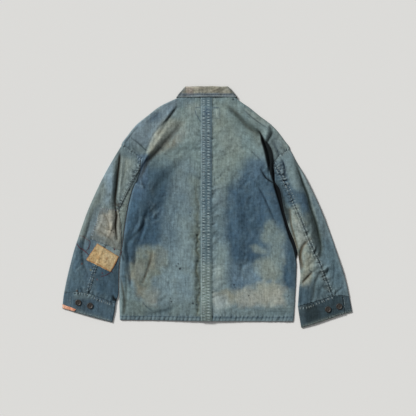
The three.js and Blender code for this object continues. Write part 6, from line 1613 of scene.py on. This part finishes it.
# the creases' colour marks are painted shade in their hollows; the deepest follows the groove down the sleeve
ELBOW_CREASES = [
    C([(102, 212, 0.4), (107, 219, 1), (110, 229, 0.6)], -1.3, 1.2, 1.4, 0.45, 0.9, 0, (84, 80, 66)),
    C([(99, 222, 0.4), (105, 228, 1), (113, 231, 0.6)], -1.3, 1.2, 1.4, 0.4, 0.8, 0, (88, 82, 66)),
    C([(97, 230, 0.4), (104, 234, 1), (112, 240, 0.5)], -1.3, 1.2, 1.4, 0.45, 0.9, 0, (84, 82, 70)),
    C([(95, 236, 0.4), (103, 240, 1), (111, 246, 0.5)], -0.8, 1.0, 1.2, 0.26, 0.8, 0, (96, 98, 90)),
    C([(104, 214, 0.4), (101, 224, 1), (97, 234, 0.5)], 1.2, 1.4, 1.6),
    C([(110, 214, 0.5), (112, 224, 1), (110, 238, 0.5)], 1.2, 1.5, 1.6),
    C([(115.6, 209, 1), (116.4, 216, 1), (115.6, 226, 1), (116.8, 239, 0.6)], -2.2, 1.9, 1.6, 0.98, 1.35, 0, (40, 36, 28)),
    C([(119.8, 212, 0.6), (119.4, 226, 1), (119.8, 242, 0.5)], 1.0, 1.2, 1.4),
    C([(112, 240, 0.3), (115, 246, 1), (114.4, 251, 0.4)], -0.8, 1.0, 1.2, 0.3, 0.8, 0, (96, 92, 78)),
]


def elbow_extra(x, y, z, col):
    paint_creases(x, y, col, ELBOW_CREASES)
    z += relief(x, y, ELBOW_CREASES)
    pucker(x, y, z, col, [(100.2, 208.2, 1), (109, 209.4, 1), (118, 210.6, 1)], 1.8, 0.35, 1.2, 0.3, 0.3)
    pucker(x, y, z, col, [(98.6, 216, 1), (95.4, 226, 1), (92, 236, 1)], 1.9, 0.35, 1.4, 0.28, 0.3)
    pucker(x, y, z, col, [(91, 239, 1), (98.1, 241.8, 1), (107.6, 246.4, 1), (112, 250, 1)], 1.9, 0.35, 1.3, 0.3, 0.3)
    for a in ((111.5, 230.5), (113.8, 232.3)):
        spot(x, y, col, a[0], a[1], 0.7, (44, 44, 40), 0.8)


def tan_extra(x, y, z, col):
    for pts in ([(97.6, 243.6, 1), (118.9, 256.4, 1)], [(118.7, 256.4, 1), (110.8, 271.7, 1)], [(110.7, 271.7, 1), (98, 264.2, 1), (86.6, 259.8, 1)], [(86.6, 259.7, 1), (97.4, 243.7, 1)]):
        Crease(pts, 0, 1, 1, 0.7, 0.55, 0, (150, 96, 56)).paint(x, y, col)
    z += relief(x, y, [C([(92, 252, 0.6), (103, 258, 1), (112, 266, 0.6)], 0.7, 2.2, 2.2), C([(100, 247, 0.5), (108, 254, 1), (114, 260, 0.5)], -0.5, 1.5, 1.5)])


# ------------------------------------------------------------------ fronts, below
def build_front(side, table):
    yc = rows_between(119.6, 320.5, 2.0)
    t = pchip([r[0] for r in table], [r[1:] for r in table], yc)
    s = -1 if side == "left" else 1
    lap = 20 / UNIT
    n1, n2 = 22, 26
    X, Y = [], []
    for k, y0 in enumerate(yc):
        gx, gy, ex, ey = t[k]
        c0, c1 = 207 - s * lap, 207 + s * (lap + 1.3)
        c2, y2 = 207 + s * 16.6, y0 - 1.5 - 1.7 * (1 - ss(128, 133, y0))
        px = np.concatenate([np.linspace(c0, c1, n1), np.linspace(c1, c2, 7)[1:], np.linspace(c2, gx, 6)[1:], np.linspace(gx, ex, n2)[1:]])
        py = np.concatenate([np.full(n1, y0), np.linspace(y0, y2, 7)[1:], np.linspace(y2, gy, 6)[1:], np.linspace(gy, ey, n2)[1:]])
        X.append(px)
        Y.append(py)
    X, Y = np.array(X), np.array(Y)
    x, y = X.ravel(), Y.ravel()
    xm, _ = to_mm(x, y)
    neck = 2.0 * (1 - ss(0.8, 1.2, np.hypot((x - 207) / 37, (y - 97) / 37)))
    mid = 2.6 * ss(-50, -24, xm) if side == "left" else 4.4 * (1 - ss(23, 52, xm))
    z = 0.7 + np.maximum(mid, neck + (1.8 * (xm < 22) if side == "right" else 0))
    if side == "right":  # the cloth between the body's fold and the sleeve lies up on the sleeve
        z = z + 1.9 * ss(5.5, 1.5, np.repeat(X[:, -1], X.shape[1]) - x) * ss(160, 170, y) * ss(262, 250, y)
    col = np.tile(lin((84, 104, 120)), (len(x), 1))
    zone(x, y, col, [(120, 100), (300, 100), (300, 190), (120, 190)], (112, 126, 130), 0.7, 16, 8)
    zone(x, y, col, [(120, 262), (300, 262), (300, 330), (120, 330)], (108, 124, 128), 0.6, 12, 8)
    fine = np.zeros(x.shape)
    cloth_grain(x, y, fine, col, 0.0, 90)
    edge = 207 - s * lap
    for off in (2.0, 9.5):
        k = (0.4 * np.exp(-(((x - edge - s * off) / 0.6) ** 2)))[:, None]
        col = col * (1 - k) + lin((150, 160, 160)) * k
    pucker(x, y, fine, col, [(121, 317.2, 1), (293, 317.6, 1)], 4.3, 0.0, 2.0, 0.3, 0.2)
    for k, y0 in enumerate((127, 165, 203, 241, 279)):
        if side == "left":  # sewn buttonholes, one behind each button
            spot(x, y, col, 207, y0, 3.4, (152, 160, 158), 0.8, ry=1.1)
            spot(x, y, col, 207, y0, 2.6, (34, 44, 54), 0.9, ry=0.5)
    # what shows between the body's fold and the sleeve is unfaded and in shade
    k = (0.97 * ss(14, 9, np.repeat(X[:, -1], X.shape[1]) - x) * (y < 262) * (s > 0))[:, None]
    col = col * (1 - k) + lin((22, 30, 36)) * k
    m3 = np.stack([*to_mm(X, Y), z.reshape(X.shape)], 2)
    # the side facing up, seen only through the gap, is painted near black: painted shade
    o, top = shell("front_%s_cloth" % side, m3, col.reshape(*X.shape, 3), DENIM, 1.2, inner=(13, 17, 20), up=-1)
    return o


# ------------------------------------------------------------------ buttons
def horn_material():
    m = bpy.data.materials.new("dark_button")
    m.use_nodes = True
    nt = m.node_tree
    b = nt.nodes["Principled BSDF"]
    co = node(nt, "ShaderNodeTexCoord", -900, 0)
    nz = node(nt, "ShaderNodeTexNoise", -700, 0)
    nz.inputs["Scale"].default_value = 260.0
    nz.inputs["Detail"].default_value = 5.0
    nt.links.new(co.outputs["Object"], nz.inputs["Vector"])
    cr = node(nt, "ShaderNodeValToRGB", -450, 0)
    cr.color_ramp.elements[0].position, cr.color_ramp.elements[1].position = 0.32, 0.72
    cr.color_ramp.elements[0].color = (*lin((24, 23, 23)), 1)
    cr.color_ramp.elements[1].color = (*lin((62, 55, 50)), 1)
    nt.links.new(nz.outputs["Fac"], cr.inputs["Fac"])
    nt.links.new(cr.outputs["Color"], b.inputs["Base Color"])
    r = node(nt, "ShaderNodeMapRange", -450, -250)
    r.inputs["To Min"].default_value, r.inputs["To Max"].default_value = 0.38, 0.62
    nt.links.new(nz.outputs["Fac"], r.inputs["Value"])
    nt.links.new(r.outputs["Result"], b.inputs["Roughness"])
    bu = node(nt, "ShaderNodeBump", -200, -350)
    bu.inputs["Strength"].default_value = 0.25
    bu.inputs["Distance"].default_value = 0.0002
    nt.links.new(nz.outputs["Fac"], bu.inputs["Height"])
    nt.links.new(bu.outputs["Normal"], b.inputs["Normal"])
    return m


def tube_mesh(paths, radius, sides=6, caps=True):
    """Closed tubes along paths (mm), joined in one mesh."""
    V, Fq, n0 = [], [], 0
    for path, r in zip(paths, radius if hasattr(radius, "__len__") else [radius] * len(paths)):
        p = np.asarray(path, float)
        t = np.gradient(p, axis=0)
        t /= np.maximum(np.linalg.norm(t, axis=1, keepdims=True), 1e-9)
        u = np.cross(t, np.tile([0.03, 0.05, 1.0], (len(p), 1)))
        u /= np.maximum(np.linalg.norm(u, axis=1, keepdims=True), 1e-9)
        w = np.cross(t, u)
        rr = np.full(len(p), float(r)) if np.isscalar(r) else np.asarray(r, float)
        a = np.arange(sides) / sides * 2 * math.pi
        ring = p[:, None] + rr[:, None, None] * (np.cos(a)[None, :, None] * u[:, None] + np.sin(a)[None, :, None] * w[:, None])
        m = len(p)
        idx = np.arange(m * sides).reshape(m, sides) + n0
        V.append(ring.reshape(-1, 3))
        nx = np.roll(idx, -1, 1)
        Fq.append(np.stack([idx[:-1].ravel(), nx[:-1].ravel(), nx[1:].ravel(), idx[1:].ravel()], 1))
        c0, c1 = n0 + m * sides, n0 + m * sides + 1
        V.append(np.array([p[0] - t[0] * rr[0] * 0.6, p[-1] + t[-1] * rr[-1] * 0.6]))
        for j in range(0, sides, 2):
            j1, j2 = (j + 1) % sides, (j + 2) % sides
            Fq.append(np.array([[c0, idx[0, j2], idx[0, j1], idx[0, j]], [c1, idx[-1, j], idx[-1, j1], idx[-1, j2]]]))
        n0 += m * sides + 2
    return np.vstack(V), np.vstack(Fq)


def add_tubes(name, paths, radius, colour, mat, sides=6, vary=0.12, seed=1):
    v, f = tube_mesh(paths, radius, sides)
    col = np.tile(lin(colour), (len(v), 1)) * (1 + vary * noise(v[:, 0] / 3, v[:, 1] / 3, 300 + seed))[:, None]
    return add_mesh(name, v, f, col, mat)


HORN = horn_material()


def build_button(nodename, tilt=0.0, down=False):
    lo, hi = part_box(nodename)
    cx, cy = (lo.x + hi.x) * 500, (lo.y + hi.y) * 500
    z0, T = lo.z * 1000, (hi.z - lo.z) * 1000
    r = (hi.x - lo.x) * 500
    prof = [(0.0, 0.0), (0.5, 0.0), (0.84, 0.02), (0.95, 0.16), (1.0, 0.38), (1.0, 0.62), (0.975, 0.82), (0.92, 0.95), (0.86, 1.0), (0.80, 0.99), (0.74, 0.90), (0.68, 0.78), (0.60, 0.72), (0.45, 0.70), (0.30, 0.69), (0.0, 0.69)]
    N = 48
    a = np.arange(N) / N * 2 * math.pi
    V, F = [], []
    rings = []
    for pr, pz in prof[1:-1]:
        rings.append(len(V) * 1)
        for t in a:
            V.append((pr * r * math.cos(t), pr * r * math.sin(t), pz * T))
    c0, c1 = len(V), len(V) + 1
    V += [(0, 0, 0), (0, 0, 0.69 * T)]
    for k in range(len(rings) - 1):
        for i in range(N):
            j = (i + 1) % N
            F.append((rings[k] + i, rings[k] + j, rings[k + 1] + j, rings[k + 1] + i))
    for i in range(0, N, 2):
        F.append((c0, rings[0] + (i + 2) % N, rings[0] + i + 1, rings[0] + i))
        F.append((c1, rings[-1] + i, rings[-1] + i + 1, rings[-1] + (i + 2) % N))
    V = np.array(V)
    if down:
        V[:, 1] *= -1
        V[:, 2] = T - V[:, 2]
    V += np.array([cx, cy, z0])
    o = add_mesh(nodename + "_horn", V, F, np.tile(lin((40, 38, 36)), (len(V), 1)), HORN)
    # the thread crossing between four sewing-hole positions, in two doubled strands; the holes themselves are not
    # modelled
    zt = z0 + (0.31 * T if down else 0.69 * T)
    s = -1 if down else 1
    h = 1.9
    paths, rad = [], []
    for sx, sy in ((1, 1), (-1, -1)):
        p0, p1 = np.array([cx - h * sx, cy - h * sy * 1, zt]), np.array([cx + h * sx, cy - h * sy, zt])
        for off in (-0.28, 0.28):
            q = [p0 + (p1 - p0) * f + np.array([0, off, s * (0.12 + 0.42 * math.sin(math.pi * f))]) for f in np.linspace(0, 1, 7)]
            if down:
                q = [np.array([k[0], k[1], max(k[2], 0.3)]) for k in q]
            paths.append(q)
            rad.append(0.26)
    th = add_tubes(nodename + "_thread", paths, rad, (74, 66, 58), THREAD, 6)
    return o, th


# ------------------------------------------------------------------ hand and machine stitches, as joined meshes
def stitches(name, runs, ground, colour, seed, mat=None):
    """runs: (points, pitch, share sewn, radius mm, sideways offset, across). Each stitch is a small bowed thread."""
    rng = np.random.RandomState(seed)
    X, Y, info = [], [], []
    for pts, pitch, share, rad, off, across in runs:
        line = smooth_line([(a, b, 0) for a, b in pts])
        c = np.concatenate([[0], np.cumsum(np.hypot(np.diff(line[:, 0]), np.diff(line[:, 1])))])
        n = int(c[-1] / pitch)
        for k in range(n):
            s0 = (k + 0.5 + 0.18 * rng.randn()) * pitch
            ln = pitch * share * (1 + 0.15 * rng.randn())
            w = rng.randn() * 0.12
            ss_ = np.clip(np.array([-0.5, -0.25, 0, 0.25, 0.5]) * ln + s0, 0, c[-1])
            px, py = np.interp(ss_, c, line[:, 0]), np.interp(ss_, c, line[:, 1])
            tx, ty = px[-1] - px[0], py[-1] - py[0]
            q = max(math.hypot(tx, ty), 1e-6)
            nx, ny = -ty / q, tx / q
            if across:
                m = np.array([-0.5, -0.25, 0, 0.25, 0.5]) * across
                px, py = px[2] + nx * m + (tx / q) * w * m, py[2] + ny * m + (ty / q) * w * m
            px, py = px + nx * (off + 0.08 * rng.randn()), py + ny * (off + 0.08 * rng.randn())
            X.append(px)
            Y.append(py)
            info.append(rad)
    X, Y = np.array(X), np.array(Y)
    mx, my = to_mm(X, Y)
    z = ground.z(mx.ravel(), my.ravel(), -50).reshape(X.shape)
    paths, rads = [], []
    for i in range(len(X)):
        if z[i].min() < -10 or np.ptp(z[i]) > 3:
            continue
        up = np.array([-0.10, 0.13, 0.2, 0.13, -0.10])
        paths.append(np.stack([mx[i], my[i], z[i] + up], 1))
        rads.append(info[i])
    return add_tubes(name, paths, rads, colour, mat or THREAD, 6, 0.3, seed)


# ------------------------------------------------------------------ camera, floor and light
cam = bpy.data.cameras.new("camera")
cam.lens, cam.sensor_width, cam.clip_end = 135.0, 36.0, 50.0
cam_o = bpy.data.objects.new("camera", cam)
cam_o.location = (0.00256, -0.00285, 4.992)
cam_o.rotation_euler = (0, 0, 0)
bpy.context.scene.collection.objects.link(cam_o)
bpy.context.scene.camera = cam_o
bpy.context.scene.view_settings.view_transform = "Standard"

floor_mat = bpy.data.materials.new("studio_floor")
floor_mat.use_nodes = True
fb = floor_mat.node_tree.nodes["Principled BSDF"]
fb.inputs["Base Color"].default_value = (0.74, 0.74, 0.73, 1)
fb.inputs["Roughness"].default_value = 0.9
fb.inputs["Specular IOR Level"].default_value = 0.1
me = bpy.data.meshes.new("floor")
me.from_pydata([(-6, -6, 0), (6, -6, 0), (6, 6, 0), (-6, 6, 0)], [], [(0, 1, 2, 3)])
me.materials.append(floor_mat)
floor = bpy.data.objects.new("floor", me)
floor.location = (0, 0, -0.0002)
bpy.context.scene.collection.objects.link(floor)

world = bpy.data.worlds.new("studio")
bpy.context.scene.world = world
world.use_nodes = True
bg = world.node_tree.nodes["Background"]
bg.inputs["Color"].default_value = (1.0, 1.0, 1.0, 1)
bg.inputs["Strength"].default_value = 0.30


def sun(name, strength, angle, az, tilt, colour=(1, 1, 1)):
    l = bpy.data.lights.new(name, "SUN")
    l.energy, l.angle, l.color = strength, angle, colour
    o = bpy.data.objects.new(name, l)
    # az: where the light comes from, degrees anticlockwise from +X; tilt from straight up
    o.rotation_euler = (0, math.radians(tilt), math.radians(az))
    bpy.context.scene.collection.objects.link(o)


sun("key", 0.66 * math.pi / math.cos(math.radians(58)), math.radians(14), 142, 58, (1.0, 0.99, 0.97))

# ------------------------------------------------------------------ build
pieces = {}
ground = Ground()


def keep(o, nodes, top=None, on=None):
    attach(o, "root")
    if nodes:
        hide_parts(*nodes)
    if top is not None:
        (on or ground).add(top)
    pieces[o.name] = o
    return o


bl, t_bl = build_back_left()
keep(bl, ["back_left"], t_bl)
br, t_br = build_back_right()
keep(br, ["back_right"], t_br)
sl_ground = Ground()
slu, t1 = sleeve("left", "upper_sleeve_left_cloth", SLEEVE_L, SLEEVE_FOLDS_L, SLEEVE_CREASES_L, sleeve_left_colour, True, 0.32)
keep(slu, ["upper_sleeve_left"], t1)
sl_ground.add(t1)
sln, t2 = sleeve("left", "under_sleeve_left_cloth", SLEEVE_L, SLEEVE_FOLDS_L, SLEEVE_CREASES_L, sleeve_left_colour, False, 0.25)
keep(sln, ["under_sleeve_left"], t2)
sl_ground.add(t2)
sru, t3 = sleeve("right", "upper_sleeve_right_cloth", SLEEVE_R, SLEEVE_FOLDS_R, SLEEVE_CREASES_R, sleeve_right_colour, True, 0.42)
keep(sru, ["upper_sleeve_right"], t3)
srn, t4 = sleeve("right", "under_sleeve_right_cloth", SLEEVE_R, SLEEVE_FOLDS_R, SLEEVE_CREASES_R, sleeve_right_colour, False, 0.35)
keep(srn, ["under_sleeve_right"], t4)
cl, tc1, tc2 = build_cuff("left", CUFF_L, 9.4, cuff_left_colour)
keep(cl, ["cuff_left"], tc1)
ground.add(tc2)
cuff_ground = Ground()
cuff_ground.add(tc1)
cuff_ground.add(tc2)
cr_, tc3, tc4 = build_cuff("right", CUFF_R, 7.4, cuff_right_colour)
keep(cr_, ["cuff_right"], tc3)
ground.add(tc4)
co_, t5 = build_collar()
keep(co_, ["collar"], t5)
fl = build_front("left", FRONT_L)
keep(fl, ["front_left"])
fr = build_front("right", FRONT_R)
keep(fr, ["front_right"])

ep, t6 = build_patch(
    "elbow_patch_cloth", [(100.2, 207.4), (97.6, 217.5), (94.6, 226), (91.6, 232.4), (90.4, 239.1)],
    [(118.4, 209.8), (120.2, 220), (121.0, 230), (121.2, 240), (120.8, 250.2)], 74, 100, sl_ground, elbow_colour, PALE, 0.9, 120, 0.9, 0.2, elbow_extra)
keep(ep, ["elbow_patch"], t6)
sl_ground.add(t6)
tp, t7 = build_patch(
    "tan_patch_cloth", [(97.6, 243.4), (92, 251.6), (86.3, 259.7)], [(118.9, 256.4), (115.2, 264.4), (110.7, 271.9)], 60, 50, sl_ground, tan_colour, TANM, 0.9, 130, 0.45, 0.08, tan_extra, (150, 130, 96))
keep(tp, ["tan_patch"], t7)
sp, t8 = build_patch(
    "cuff_edge_patch_cloth", [(62.4, 304.1), (62.6, 306), (62.8, 308.2)], [(76.2, 309.2), (75.4, 310.2), (74.4, 311.2)], 44, 16, cuff_ground, salmon_colour, SALM, 0.9, 140, 0.35, 0.08, None, (190, 136, 112))
keep(sp, ["cuff_edge_patch"], t8)

for n in ("cuff_button_left_1", "cuff_button_left_2", "cuff_button_right_1", "cuff_button_right_2"):
    o, th = build_button(n)
    keep(o, [n])
    keep(th, [])
for k in range(1, 6):
    n = "front_button_%d" % k
    o, th = build_button(n, down=True)
    keep(o, [n])
    keep(th, [])

# stitches
strip_pts = lambda x: [(x, 98.6), (x, 160), (x, 240), (x, 315)]
runs_pale = [
    (strip_pts(203.7), 2.9, 0.5, 0.66, 0, 1.9), (strip_pts(208.5), 2.9, 0.5, 0.66, 0, 1.9),
    ([(201.6, 99), (201.6, 200), (201.6, 318)], 1.3, 0.7, 0.22, 0, 0),
]
keep(stitches("seam_thread_back", runs_pale, ground, (176, 190, 192), 3), [])
runs_dark = [
    ([(120.5, 316.2), (160, 316.4), (200, 317.3)], 1.5, 0.7, 0.24, 0, 0), ([(213, 317.5), (250, 317.6), (293, 317.4)], 1.5, 0.7, 0.24, 0, 0),
    ([(181, 95.0), (207, 95.0), (233, 95.0)], 1.6, 0.65, 0.26, 0, 0), ([(195.8, 107.8), (199.8, 107.6)], 1.4, 0.7, 0.3, 0, 0), ([(212.8, 108), (218.4, 107.9)], 1.4, 0.7, 0.3, 0, 0),
    ([(195.2, 110.8), (196.2, 115), (198.1, 117.2), (200.4, 121.4)], 1.5, 0.8, 0.3, 0, 0),
]
keep(stitches("seam_thread_dark", runs_dark, ground, (44, 62, 88), 4), [])
runs_sl = [
    ([(124, 147.4), (131.7, 152.2), (140.6, 158.8)], 2.0, 0.6, 0.26, 0.4, 0),
    ([(141.8, 158), (138.8, 167.5), (134.6, 175.3), (124.6, 195), (119.4, 205.6)], 1.9, 0.6, 0.26, 0.7, 0), ([(141.8, 158), (138.8, 167.5), (134.6, 175.3), (124.6, 195), (119.4, 205.6)], 1.9, 0.6, 0.26, -0.6, 0),
    ([(96.2, 264.6), (92.4, 276), (88.6, 290)], 2.6, 0.55, 0.5, 1.2, 0), ([(96.2, 264.6), (92.4, 276), (88.6, 290)], 2.6, 0.55, 0.5, -1.2, 0),
    ([(276, 166.5), (282, 177), (288, 188), (295.4, 206), (304.4, 228), (314, 251), (324.2, 274), (331.4, 293)], 2.9, 0.5, 0.62, -1.5, 0),
    ([(276, 166.5), (282, 177), (288, 188), (295.4, 206), (304.4, 228), (314, 251), (324.2, 274), (331.4, 293)], 2.9, 0.5, 0.62, 1.3, 0),
    ([(288.6, 150), (284, 153.4), (279, 157.2), (274.6, 162)], 2.0, 0.6, 0.3, 0, 0),
    ([(75, 293.6), (82, 293.4), (89, 295.2)], 2.8, 0.5, 0.6, 0, 1.7), ([(93, 297.8), (101, 301.0), (114, 305.4)], 2.8, 0.5, 0.6, 0, 1.8),
    ([(299, 308.4), (307.9, 307.4), (315.5, 304.4), (325.7, 300.2), (334, 297.2)], 2.8, 0.5, 0.6, 0, 1.7),
    ([(340, 294.6), (343.4, 298), (344.4, 303), (344.4, 309)], 2.0, 0.6, 0.34, 0, 0), ([(70.4, 296), (70.2, 300), (70.6, 305)], 2.0, 0.6, 0.34, 0, 0),
    ([(66, 309.2), (80, 312.4), (93, 315.8), (111, 320.6)], 2.1, 0.6, 0.26, -0.4, 0), ([(303, 326), (320, 320.2), (336, 315), (350, 310.8)], 2.1, 0.6, 0.26, 0, 0),
]
keep(stitches("seam_thread_sleeves", runs_sl, ground, (156, 168, 168), 5), [])
runs_patch = [
    ([(100.6, 208.2), (109, 209.3), (118, 210.5)], 1.7, 0.55, 0.36, 0, 0), ([(98.4, 216), (95.2, 226), (91.6, 237)], 2.0, 0.6, 0.3, 0, 1.3),
    ([(91.4, 239), (98.1, 241.6), (107.6, 246.2), (112, 250)], 1.9, 0.6, 0.3, 0, 1.3),
]
keep(stitches("patch_thread_blue", runs_patch, sl_ground, (96, 118, 158), 6), [])
runs_tan = [([(98.4, 244.8), (118, 256.8)], 1.6, 0.5, 0.22, 0, 0), ([(117.6, 257), (110.6, 270.4)], 1.6, 0.5, 0.22, 0, 0), ([(110, 270.6), (98, 263.3), (87.6, 259.2)], 1.6, 0.5, 0.22, 0, 0), ([(87.8, 258.8), (97.4, 245)], 1.6, 0.5, 0.22, 0, 0)]
keep(stitches("patch_thread_tan", runs_tan, sl_ground, (206, 184, 146), 7), [])


def cord_paths(lines, r, lift):
    out, rad = [], []
    for pts in lines:
        p = smooth_line([(a, b, 0) for a, b in pts], 7)
        mx, my = to_mm(p[:, 0], p[:, 1])
        z = sl_ground.z(mx, my, 3.5)
        z = np.convolve(np.pad(z, 2, mode="edge"), np.ones(5) / 5, "valid")
        out.append(np.stack([mx, my, z + lift + 0.15 * np.sin(np.arange(len(p)) * 0.9)], 1))
        rad.append(r)
    return out, rad


crim = [[(79.6, 235.6), (83.7, 236.7), (86.6, 239.1), (90.2, 241.5), (89.2, 246.8), (85.6, 252.1)], [(119.1, 255.2), (122.0, 251)], [(111.5, 271.0), (112.9, 272.6)], [(110.5, 272.6), (107.6, 274.1), (104.8, 275.5), (101.2, 276.2)], [(117.2, 260.7), (114.6, 265.4), (112, 270.2)]]
a, b = cord_paths(crim, 0.62, 0.35)
a2, b2 = cord_paths([[(76.9, 243.9), (79.9, 247.8), (83.2, 249.7), (88.5, 254.4)]], 1.05, 0.6)
a3, b3 = cord_paths([[(113.6, 248.4), (114.6, 249.4), (115.4, 248.8)], [(114.2, 250), (115.4, 249.6)], [(101.8, 272.6), (103.2, 273.4)]], 0.5, 0.3)
keep(add_tubes("crimson_thread", a + a2 + a3, b + b2 + b3, (84, 26, 40), THREAD, 8), [])


# ------------------------------------------------------------------ the cut of each piece
def declare(o, flat, area):
    """The cut: its rectangle in metres, and the area of its outline laid out flat with no creases, in square metres."""
    print("cut", o.name, flat, area, "built", round(sum(p.area for p in o.data.polygons) / 2, 4))


declare(bl, (0.292, 0.72), 0.185)
declare(br, (0.317, 0.72), 0.188)
declare(fl, (0.31, 0.70), 0.180)
declare(fr, (0.31, 0.70), 0.184)
declare(slu, (0.24, 0.49), 0.0805)
declare(sln, (0.13, 0.46), 0.0449)
declare(sru, (0.22, 0.50), 0.0684)
declare(srn, (0.14, 0.46), 0.0449)
declare(cl, (0.36, 0.062), 0.0223)
declare(cr_, (0.36, 0.062), 0.0223)
declare(co_, (0.45, 0.075), 0.0225)
declare(ep, (0.095, 0.125), 0.0096)
declare(tp, (0.08, 0.066), 0.0050)
declare(sp, (0.045, 0.014), 0.00044)

print("triangles", sum(len(p.vertices) - 2 for o in pieces.values() for p in o.data.polygons))
